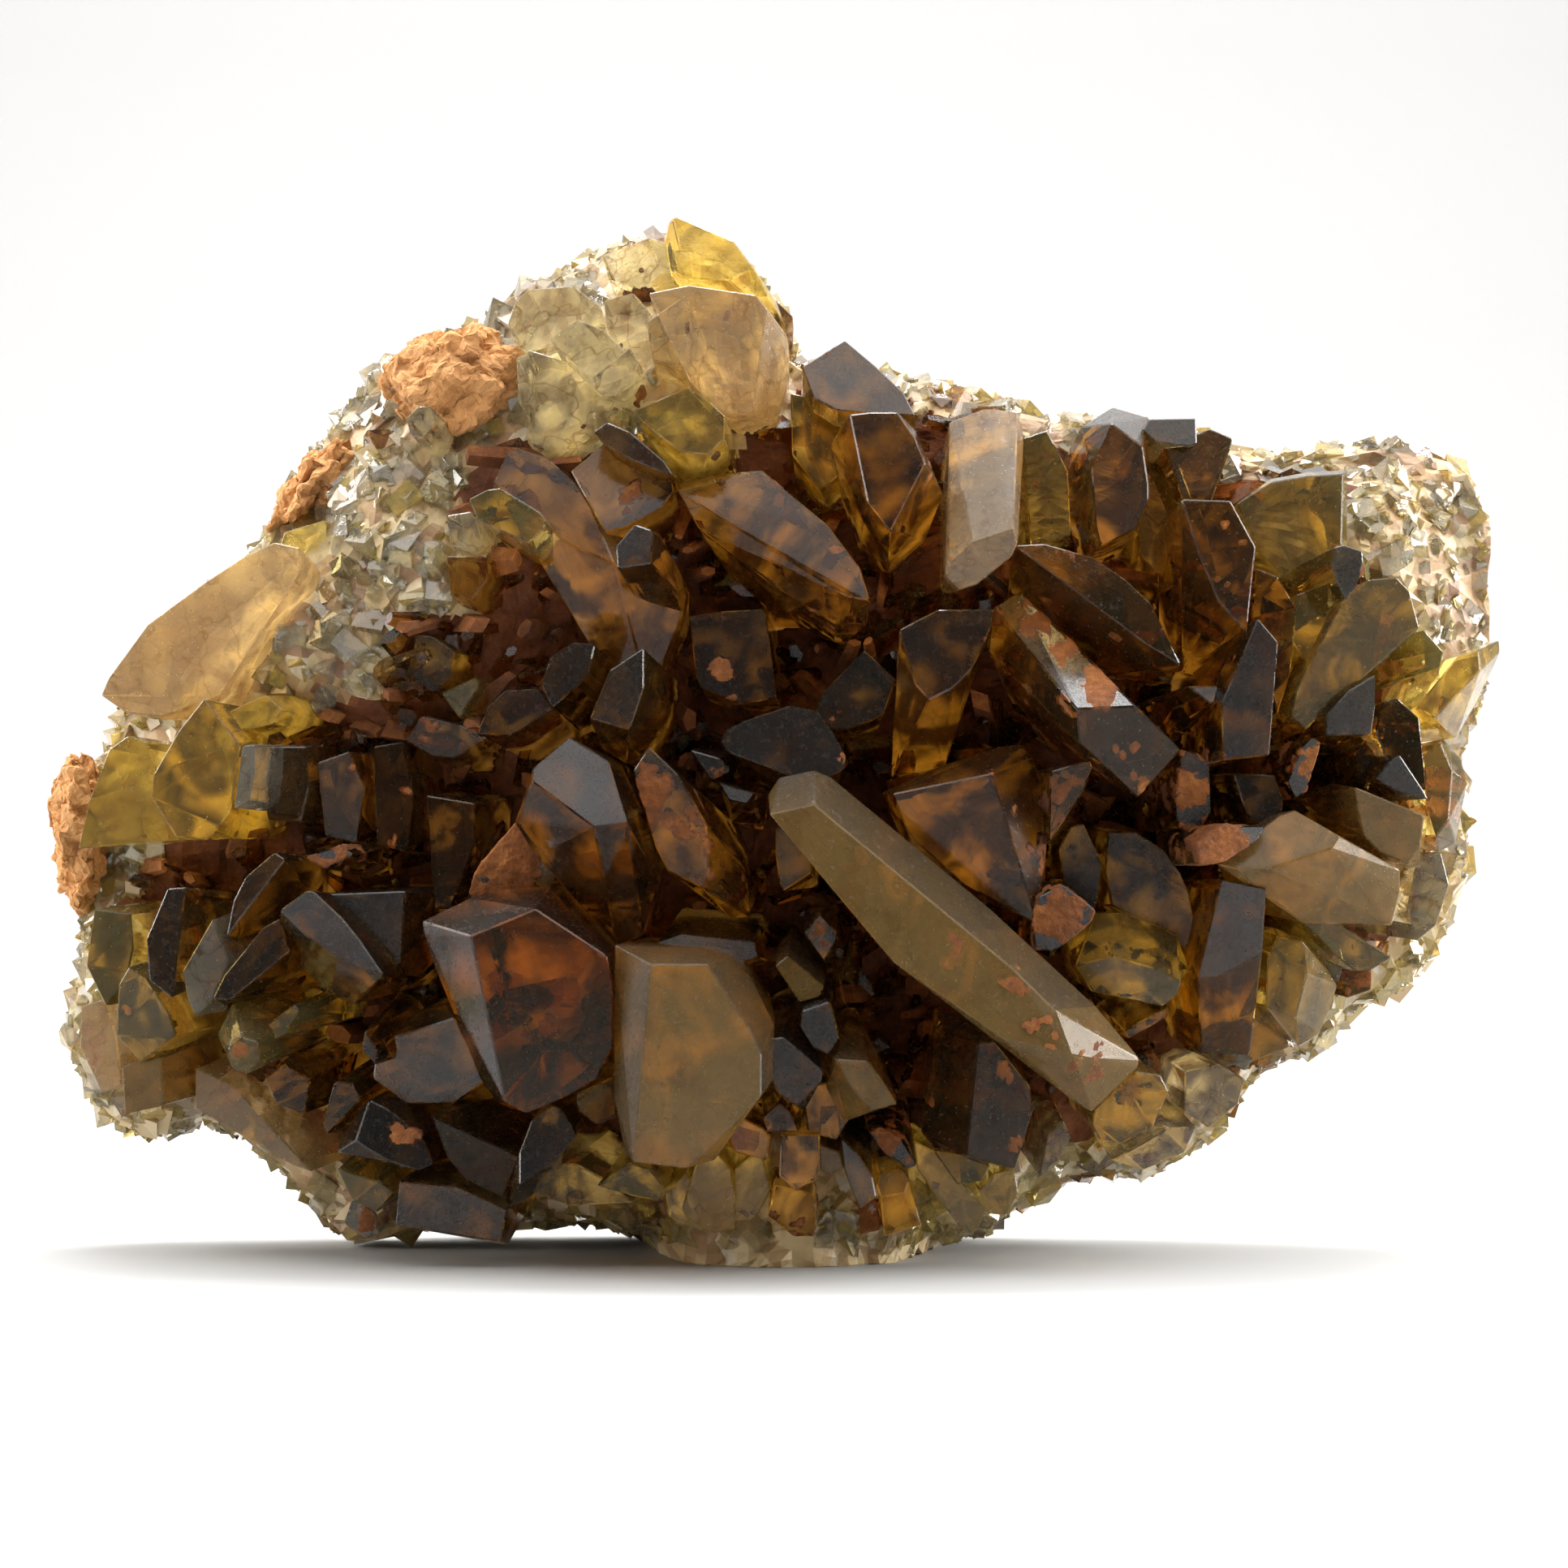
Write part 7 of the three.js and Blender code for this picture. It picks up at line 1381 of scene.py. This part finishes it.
def buried(point, trees, reach=0):
    """Whether a point lies inside one of the meshes, or closer behind one than the reach."""
    for tree in trees:
        hit, normal, _, distance = tree.ray_cast(point, Vector((0, -1, 0.01)))
        if hit is not None and (normal.y < 0 or distance < reach):
            return True
    return False


def rise_of(point):
    """How far a point stands out from the rock's front, in millimetres."""
    across, down = drawn(point)
    return -point.y - front_depth(across, down, min(1, share_of(across, down)))


RUST_SHOWS = 0.3     # amount of rust from which it covers a crystal
RUST_NEAR = 0.1      # amount under which a place is too bare to be worked on


def rust_amount(point, level):
    """How much rust lies at a point of a crystal."""
    low = max(0, min(1, (7 - rise_of(point)) / 10))
    patches = noise.fractal(point / 2.1, 0.6, 2.2, 5) * 0.26
    return 0.27 * level + 0.24 * low + patches + 0.46 * stain_strength(point) - 0.03


class BARYTE_OT_crystals(bpy.types.Operator):
    """Makes the crystals, tone by tone, and the rust on them"""
    bl_idname = "baryte.crystals"
    bl_label = "Crystals"

    def execute(self, context):
        edge = context.scene.baryte_sizes.worn_edge / MM
        by_tone = {}
        for table, default in ((BED_CRYSTALS, "smoky"), (PALE_CRYSTALS, "pale")):
            for name, rings in table.items():
                shape = crystal_shape(rings, rust_level(name), slate_rule(name), edge)
                by_tone.setdefault(crystal_tone(name, default), []).append(shape)
        finished = {}
        for tone, shapes in by_tone.items():
            whole = united(shapes)
            finished[tone] = whole, self.finishes(whole, tone in ("smoky", "capped"))
        trees = {tone: search_tree(whole) for tone, (whole, _) in finished.items()}
        for tone, (whole, levels) in finished.items():
            self.crust(context, whole, levels, tone,
                       [tree for other, tree in trees.items() if other != tone])
            finish_piece(f"crystals_{tone}", whole, crystal_material(tone))
        return {"FINISHED"}

    def finishes(self, whole, capped):
        """Stores where a tone is slate, which is partly the frosted ends of capped crystals and
        partly painted shade on faces that look up or, on some crystals, sideways, and how far it
        stands out. Returns each face's rust.
        """
        flattest = 0.3 if capped else 0.5
        slate_shade, levels = [], []
        for polygon in whole.polygons:
            finish, end = divmod(polygon.material_index, 2)
            rule, level = divmod(finish, RUST_LEVELS)
            levels.append(level)
            # Painted shade: faces that look up take the slate colour, as do sideways faces of the
            # crystals with slate bevels
            painted_top_shade = max(0, min(1, (polygon.normal.z - flattest) / 0.2))
            sideways = abs(polygon.normal.x) > 0.3 and polygon.normal.z > -0.3
            slate_shade.append(max(painted_top_shade, 0.9 * end if capped and rule == 0 else 0,
                             0.9 if rule == 2 and sideways else 0))
            polygon.material_index = 0
        attribute(whole, "slate_shade", slate_shade, "FACE")
        attribute(whole, "rise", [min(1, 0.15 + rise_of(v.co) / 16) for v in whole.vertices])
        return levels

    def crust(self, context, whole, levels, tone, others):
        """Rust on the crystals: a skin that stands proud in patches and dips under elsewhere."""
        bm = bmesh.new()
        bm.from_mesh(whole)
        level = bm.verts.layers.float.new("level")
        for face, value in zip(bm.faces, levels):
            for vert in face.verts:
                vert[level] = max(vert[level], value / (RUST_LEVELS - 1))
        bmesh.ops.triangulate(bm, faces=bm.faces)
        amounts = {}
        for step, longest in enumerate((3.0, 1.8, 1.1, 0.7)):
            for vert in bm.verts:
                if vert not in amounts:
                    amounts[vert] = rust_amount(vert.co, vert[level])
            if step:
                bare = [v for v in bm.verts
                        if max(amounts[e.other_vert(v)] for e in v.link_edges) < RUST_NEAR
                        and amounts[v] < RUST_NEAR]
                bmesh.ops.delete(bm, geom=bare, context="VERTS")
            long = [e for e in bm.edges if e.calc_length() > longest]
            bmesh.ops.subdivide_edges(bm, edges=long, cuts=1, use_grid_fill=False)
            bmesh.ops.triangulate(bm, faces=[f for f in bm.faces if len(f.verts) > 3])
        lift = context.scene.baryte_sizes.stain_lift / MM
        bm.normal_update()
        heights = {v: rust_amount(v.co, v[level]) - RUST_SHOWS for v in bm.verts}
        bare = [f for f in bm.faces if max(heights[v] for v in f.verts) < 0
                or f.normal.y * (1 if f.calc_center_median().y < REAR else -1) > 0.1
                or buried(f.calc_center_median(), others)]
        for vert, height in heights.items():
            crumb = noise.noise(vert.co * 1.9) * 0.5 + 0.5
            vert.co += vert.normal * (lift * min(8, height * 14) * (0.4 + 1.2 * crumb))
        bmesh.ops.delete(bm, geom=bare, context="FACES")
        if bm.faces:
            finish_piece(f"rust_{tone}", mesh_of(bm, "rust"), stain_material())


class BARYTE_OT_rock(bpy.types.Operator):
    """Makes the massive baryte behind and between the crystals"""
    bl_idname = "baryte.rock"
    bl_label = "Massive baryte"

    def execute(self, context):
        bm = bmesh.new()
        bmesh.ops.create_uvsphere(bm, u_segments=300, v_segments=164, radius=1)
        self.shape(bm)
        bmesh.ops.recalc_face_normals(bm, faces=bm.faces)
        if bm.calc_volume(signed=True) < 0:
            bmesh.ops.reverse_faces(bm, faces=bm.faces)
        bm.normal_update()
        self.roughen(bm, context.scene.baryte_sizes.grain_size / MM)
        mesh = mesh_of(bm, "rock")
        inside = self.roots(mesh)
        attribute(mesh, "root", [max(0, 2 * r - 1) for r in self.smoothed(mesh, inside)])
        bed = []
        for vert in mesh.vertices:
            across, down = drawn(vert.co)
            bed.append(float(vert.co.y < REAR and share_of(across, down) < 0.93
                             and in_bed(across, down)))
        attribute(mesh, "bed", bed)
        rusty = [any(bed[v] > 0.5 > inside[v] for v in p.vertices) for p in mesh.polygons]
        for name, material, unwanted in (
                ("massive_baryte", massive_material(), True),
                ("rusty_ground", ground_material(), False)):
            part = bmesh.new()
            part.from_mesh(mesh)
            bmesh.ops.delete(part, context="FACES",
                             geom=[f for f, is_rusty in zip(part.faces[:], rusty)
                                   if is_rusty == unwanted])
            finish_piece(name, mesh_of(part, name), material)
        bpy.data.meshes.remove(mesh)
        return {"FINISHED"}

    def shape(self, bm):
        """Draws a sphere out to the rock's outline, front and back."""
        reaches = {}
        for vert in bm.verts:
            polar = math.acos(max(-1, min(1, vert.co.z)))
            angle = math.atan2(vert.co.y, vert.co.x)
            key = round(angle * 1000)
            if key not in reaches:
                own = outline_reach(angle)
                around = [outline_reach(angle + turn) for turn in (-.5, -.25, 0, .25, .5)]
                reaches[key] = own, sum(around) / len(around)
            own, even = reaches[key]
            front = polar <= math.pi / 2
            share = min(1, (polar if front else math.pi - polar) / (math.pi / 2))
            if not front:
                share = min(1, share * 1.03)
            reach = (even + (own - even) * share ** 6) * share
            across = ROCK_CENTRE[0] + reach * math.cos(angle)
            down = ROCK_CENTRE[1] + reach * math.sin(angle)
            if front:
                depth = front_depth(across, down, share)
            elif share >= 1:
                depth = RIM_DEPTH - RIM_THICKNESS * min(1, (polar - math.pi / 2) / 0.05)
            else:
                depth = back_depth(across, down, share)
            vert.co = place(across, down, depth)

    def roughen(self, bm, grain):
        """Breaks the surface into facets of the grain's size, on long waves."""
        for vert in bm.verts:
            spot = vert.co / grain
            cell = noise.voronoi(spot)[1][0]
            tilt = noise.noise_vector(cell * 7.3)
            facet = max(-1, min(1, (spot - cell).dot(tilt) * 1.6))
            wave = noise.fractal(vert.co / 11, 0.9, 2.2, 5)
            vert.co += vert.normal * (facet * 0.7 + wave * 0.9 + 0.5)
            vert.co.z = max(vert.co.z, 0)

    def roots(self, mesh):
        """Marks the points that lie in a crystal's root, where no rust could reach."""
        trees = crystal_trees()
        return [float(v.co.y < REAR and buried((v.co + SHIFT) * MM, trees, 5 * MM))
                for v in mesh.vertices]

    def smoothed(self, mesh, values):
        """Evens out the points' values with their neighbours' ones, twice."""
        for _ in range(2):
            sums, counts = values[:], [1] * len(values)
            for edge in mesh.edges:
                one, other = edge.vertices
                sums[one] += values[other]
                sums[other] += values[one]
                counts[one] += 1
                counts[other] += 1
            values = [total / count for total, count in zip(sums, counts)]
        return values


class BARYTE_OT_filling(bpy.types.Operator):
    """Fills the bed between the large crystals with small ones"""
    bl_idname = "baryte.filling"
    bl_label = "Small crystals"

    def execute(self, context):
        chance = random.Random(31)
        clear, rusty = bmesh.new(), bmesh.new()
        trees = crystal_trees()
        made = 0
        while made < context.scene.baryte_sizes.filling_count:
            across, down = chance.uniform(15, 184), chance.uniform(42, 153)
            if not in_bed(across, down):
                continue
            share = share_of(across, down)
            if share > 0.97:
                continue
            made += 1
            depth = front_depth(across, down, share)
            length, width = chance.uniform(3, 10), chance.uniform(0.8, 2.6)
            turn = Euler((math.pi / 2 + chance.gauss(0, 0.5), chance.uniform(0, 6.3),
                          chance.gauss(0, 0.5)))
            where = (Matrix.Translation(place(across, down, depth + length * 0.25))
                     @ turn.to_matrix().to_4x4())
            bm = rusty if chance.random() < 0.3 else clear
            if buried((where.translation + SHIFT) * MM, trees):
                continue
            bmesh.ops.create_cone(
                bm, cap_ends=True, cap_tris=False, segments=chance.choice((4, 5, 6)),
                radius1=width, radius2=width * chance.uniform(0.35, 0.8), depth=length,
                matrix=where @ Matrix.Diagonal((1, 0.6, 1, 1)))
        for bm, name, material in (
                (clear, "small_crystals", bpy.data.materials["baryte_honey"]),
                (rusty, "small_rusty_crystals", stain_material())):
            bmesh.ops.recalc_face_normals(bm, faces=bm.faces)
            for vert in bm.verts:
                vert.co.z = max(vert.co.z, LOWEST_CRYSTAL)
            mesh = mesh_of(bm, name)
            if name == "small_crystals":
                # Painted shade: the small crystals' faces take the slate colour the more they look
                # up
                attribute(mesh, "slate_shade", [max(0, p.normal.z) for p in mesh.polygons], "FACE")
            finish_piece(name, mesh, material)
        return {"FINISHED"}


class BARYTE_OT_grains(bpy.types.Operator):
    """Covers the massive baryte with clear and milky cleavage grains"""
    bl_idname = "baryte.grains"
    bl_label = "Cleavage grains"

    def execute(self, context):
        sizes = context.scene.baryte_sizes
        chance = random.Random(77)
        rock = bpy.data.objects["massive_baryte"].data
        taken = [max(bed.value, 2 * root.value) for bed, root in
                 zip(rock.attributes["bed"].data, rock.attributes["root"].data)]
        open_faces = [p for p in rock.polygons
                      if all(taken[v] < 0.5 for v in p.vertices) and p.center.z > 0.002]
        picked = chance.choices(open_faces, weights=[p.area for p in open_faces],
                                k=sizes.grain_count)
        kinds = {name: bmesh.new() for name in GRAIN_LOOKS}
        own = {name: [] for name in kinds}
        # A small bmesh takes new cubes quicker than a large one, so they are added in batches
        for start in range(0, len(picked), BATCH):
            batch = {name: bmesh.new() for name in kinds}
            for polygon in picked[start:start + BATCH]:
                name, value = self.grain(chance, polygon, sizes.grain_size / MM, batch)
                own[name] += [value] * 6
            for name, bm in batch.items():
                mesh = mesh_of(bm, "batch")
                kinds[name].from_mesh(mesh)
                bpy.data.meshes.remove(mesh)
        for name, bm in kinds.items():
            bmesh.ops.recalc_face_normals(bm, faces=bm.faces)
            mesh = mesh_of(bm, name)
            attribute(mesh, "own", own[name], "FACE")
            finish_piece(name, mesh, grain_material(name, *GRAIN_LOOKS[name]))
        return {"FINISHED"}

    def grain(self, chance, polygon, size, batch):
        """Adds a grain that lies on a face of the rock. Returns its kind and its own tint."""
        point = polygon.center / MM - SHIFT
        across, down = drawn(point)
        lie = noise.noise_vector(point / 12) * 0.7
        flat = polygon.normal.to_track_quat("Z", "Y").to_matrix()
        turn = (flat @ Euler((lie.x, lie.y, lie.z * 4)).to_matrix()
                @ Euler([chance.gauss(0, 0.42) for _ in range(3)]).to_matrix()).to_4x4()
        length = size * math.exp(min(0.6, chance.gauss(0, 0.36)))
        scale = (length, length * chance.uniform(0.55, 1.0), length * chance.uniform(0.4, 0.8))
        yellow = 0.7 if down > 96 or across < 26 or polygon.center.y > REAR * MM else 0.22
        name = "milky_grains"
        if chance.random() < 0.9:
            name = "yellow_grains" if chance.random() < yellow else "clear_grains"
        where = (Matrix.Translation(point - polygon.normal * length * 0.2) @ turn
                 @ Matrix.Diagonal((*scale, 1)))
        verts = bmesh.ops.create_cube(batch[name], size=1, matrix=where)["verts"]
        for vert in verts:
            vert.co += noise.noise_vector(vert.co * 3.1) * 0.22 * length
        lowest, highest = (Vector(corner) / MM - SHIFT for corner in CAD_BOX)
        for axis in range(3):
            spread = [vert.co[axis] for vert in verts]
            inward = max(0, lowest[axis] - min(spread)) + min(0, highest[axis] - max(spread))
            for vert in verts:
                vert.co[axis] += inward
        patch = noise.noise(point / 7) * 0.9 + 0.35
        return name, max(0, min(1, patch + chance.random() * 0.5))


class BARYTE_OT_limonite(bpy.types.Operator):
    """Makes the crumbly crusts of limonite"""
    bl_idname = "baryte.limonite"
    bl_label = "Limonite crusts"

    def execute(self, context):
        material = limonite_material()
        for name, (across, down, depth, wide, high, deep, turn, rough) in LIMONITE.items():
            bm = bmesh.new()
            bmesh.ops.create_icosphere(bm, subdivisions=6, radius=1)
            middle = place(across, down, depth)
            spin = Matrix.Rotation(-math.radians(turn), 3, "Y")
            for vert in bm.verts:
                way = vert.co.copy()
                bumps = (math.sin(way.x * 7 + 2 * math.sin(way.z * 5))
                         + math.sin(way.z * 8 + 2 * math.sin(way.y * 6))
                         + math.sin(way.y * 9 + way.x * 5))
                lift = 1 + rough * bumps / 3 / min(wide, high, deep)
                shaped = spin @ Vector((way.x * wide, way.y * deep, way.z * high)) * lift
                crumbs = (noise.noise_vector(shaped / 1.8) * 0.9
                          + noise.noise_vector(shaped / 0.8) * 0.45
                          + noise.noise_vector(shaped / 0.4) * 0.2)
                vert.co = middle + shaped * 0.96 + crumbs
            bmesh.ops.recalc_face_normals(bm, faces=bm.faces)
            finish_piece(name, mesh_of(bm, name), material)
        return {"FINISHED"}


# Area lights: place, aim, size, power
LAMPS = {
    "top": ((0.0, 0.02, 0.7), (0, 0, 0.06), 1.5, 19),
    "left_back": ((-0.6, 0.3, 0.4), (0, 0, 0.06), 0.4, 4),
    "left_low": ((-0.7, -0.1, 0.12), (-0.04, 0, 0.05), 0.3, 3),
    "right_low": ((0.7, -0.1, 0.12), (0.05, 0, 0.05), 0.3, 4),
    "right_back": ((0.6, 0.2, 0.3), (0.04, 0, 0.06), 0.4, 8),
    "wall_wash": ((0, 0.45, 1.3), (0, 1.3, 0.35), 0.8, 35),
}
SENSOR_WIDTH = 36
# The paper's floor and wall, in metres, and the bend between them
FLOOR_CORNER = (2.5, 2.2)
FLOOR_LENGTH = 3.2
WALL_HEIGHT = 2.2
BEND_RADIUS = 0.5
BEND_STEPS = 6


class BARYTE_OT_stage(bpy.types.Operator):
    """Sets the floor, the lights and the camera"""
    bl_idname = "baryte.stage"
    bl_label = "Floor, lights and camera"

    def execute(self, context):
        scene = context.scene
        camera = bpy.data.objects.new("camera", bpy.data.cameras.new("camera"))
        scene.collection.objects.link(camera)
        camera.location = Vector((0, -EYE_DISTANCE * MM, EYE_HEIGHT * MM)) + SHIFT * MM
        camera.rotation_euler = (math.pi / 2, 0, 0)
        camera.data.sensor_width = SENSOR_WIDTH
        camera.data.lens = SENSOR_WIDTH * EYE_DISTANCE / DRAWING_SIZE
        camera.data.clip_start = 0.01
        scene.camera = camera
        self.backdrop(scene)
        for name, (place_at, aim, size, power) in LAMPS.items():
            lamp = bpy.data.lights.new(name, "AREA")
            lamp.size = size
            lamp.energy = power
            lit = bpy.data.objects.new(name, lamp)
            scene.collection.objects.link(lit)
            lit.location = place_at
            way = Vector(aim) - Vector(place_at)
            lit.rotation_euler = way.to_track_quat("-Z", "Y").to_euler()
        self.world(scene)
        scene.view_settings.view_transform = "Standard"
        scene.view_settings.look = "None"
        scene.cycles.max_bounces = 7
        scene.cycles.transmission_bounces = 7
        scene.cycles.diffuse_bounces = 2
        scene.cycles.glossy_bounces = 2
        return {"FINISHED"}

    def backdrop(self, scene):
        """A pale floor that curves up into a wall."""
        bm = bmesh.new()
        side, front = FLOOR_CORNER
        start = [bm.verts.new((-side, -front, 0)), bm.verts.new((side, -front, 0))]
        turn = 0.2618
        steps = [(0, FLOOR_LENGTH, 0)]
        for angle in (turn * n for n in range(1, BEND_STEPS + 1)):
            steps.append((0, BEND_RADIUS * (math.sin(angle) - math.sin(angle - turn)),
                          BEND_RADIUS * (math.cos(angle - turn) - math.cos(angle))))
        steps.append((0, 0, WALL_HEIGHT))
        rim = [bm.edges.new(start)]
        for step in steps:
            made = bmesh.ops.extrude_edge_only(bm, edges=rim)["geom"]
            verts = [g for g in made if isinstance(g, bmesh.types.BMVert)]
            bmesh.ops.translate(bm, verts=verts, vec=step)
            rim = [g for g in made if isinstance(g, bmesh.types.BMEdge)
                   and all(v in verts for v in g.verts)]
        bmesh.ops.recalc_face_normals(bm, faces=bm.faces)
        floor = bpy.data.objects.new("floor", mesh_of(bm, "floor", smooth=True))
        scene.collection.objects.link(floor)
        material, tree, surface = new_material("paper")
        fibre = noise_at(tree, object_spot(tree), 300, 3)
        feed_all(tree, surface, {
            "Base Color": (0.44, 0.44, 0.44, 1), "Roughness": 0.9, "Specular IOR Level": 0.1,
            "Normal": bumped(tree, fibre, 0.05, 0.0002)})
        floor.data.materials.append(material)

    def world(self, scene):
        """White all round, and darker on the camera's side, so that the crystals glow."""
        world = bpy.data.worlds.new("studio")
        scene.world = world
        world.use_nodes = True
        tree = world.node_tree
        spot = node_of(tree, "ShaderNodeTexCoord").outputs["Generated"]
        split = node_of(tree, "ShaderNodeSeparateXYZ", {"Vector": spot})
        feed_all(tree, tree.nodes["Background"].inputs, {
            "Color": (1.0, 0.90, 0.76, 1),
            "Strength": ranged(tree, split.outputs["Y"], -0.7, 0.5, 0.14, 0.8)})


class BARYTE_PT_panel(bpy.types.Panel):
    """Lists the pieces of the specimen"""
    bl_label = "Baryte specimen"
    bl_idname = "BARYTE_PT_panel"
    bl_space_type = "VIEW_3D"
    bl_region_type = "UI"
    bl_category = "Baryte"

    def draw(self, context):
        for group in (context.scene.baryte_sizes, context.scene.baryte_colours):
            for name in group.bl_rna.properties.keys():
                if name not in {"rna_type", "name"}:
                    self.layout.prop(group, name)
        for operator in OPERATORS:
            self.layout.operator(operator.bl_idname)


OPERATORS = (BARYTE_OT_crystals, BARYTE_OT_rock, BARYTE_OT_filling, BARYTE_OT_grains,
             BARYTE_OT_limonite, BARYTE_OT_stage)
CLASSES = (SpecimenSizes, SpecimenColours, *OPERATORS, BARYTE_PT_panel)


def register():
    for cls in CLASSES:
        bpy.utils.register_class(cls)
    bpy.types.Scene.baryte_sizes = PointerProperty(type=SpecimenSizes)
    bpy.types.Scene.baryte_colours = PointerProperty(type=SpecimenColours)


def unregister():
    del bpy.types.Scene.baryte_sizes
    del bpy.types.Scene.baryte_colours
    for cls in reversed(CLASSES):
        bpy.utils.unregister_class(cls)


def main():
    register()
    bpy.ops.baryte.crystals()
    bpy.ops.baryte.rock()
    bpy.ops.baryte.filling()
    bpy.ops.baryte.grains()
    bpy.ops.baryte.limonite()
    bpy.ops.baryte.stage()


if __name__ == "__main__":
    main()
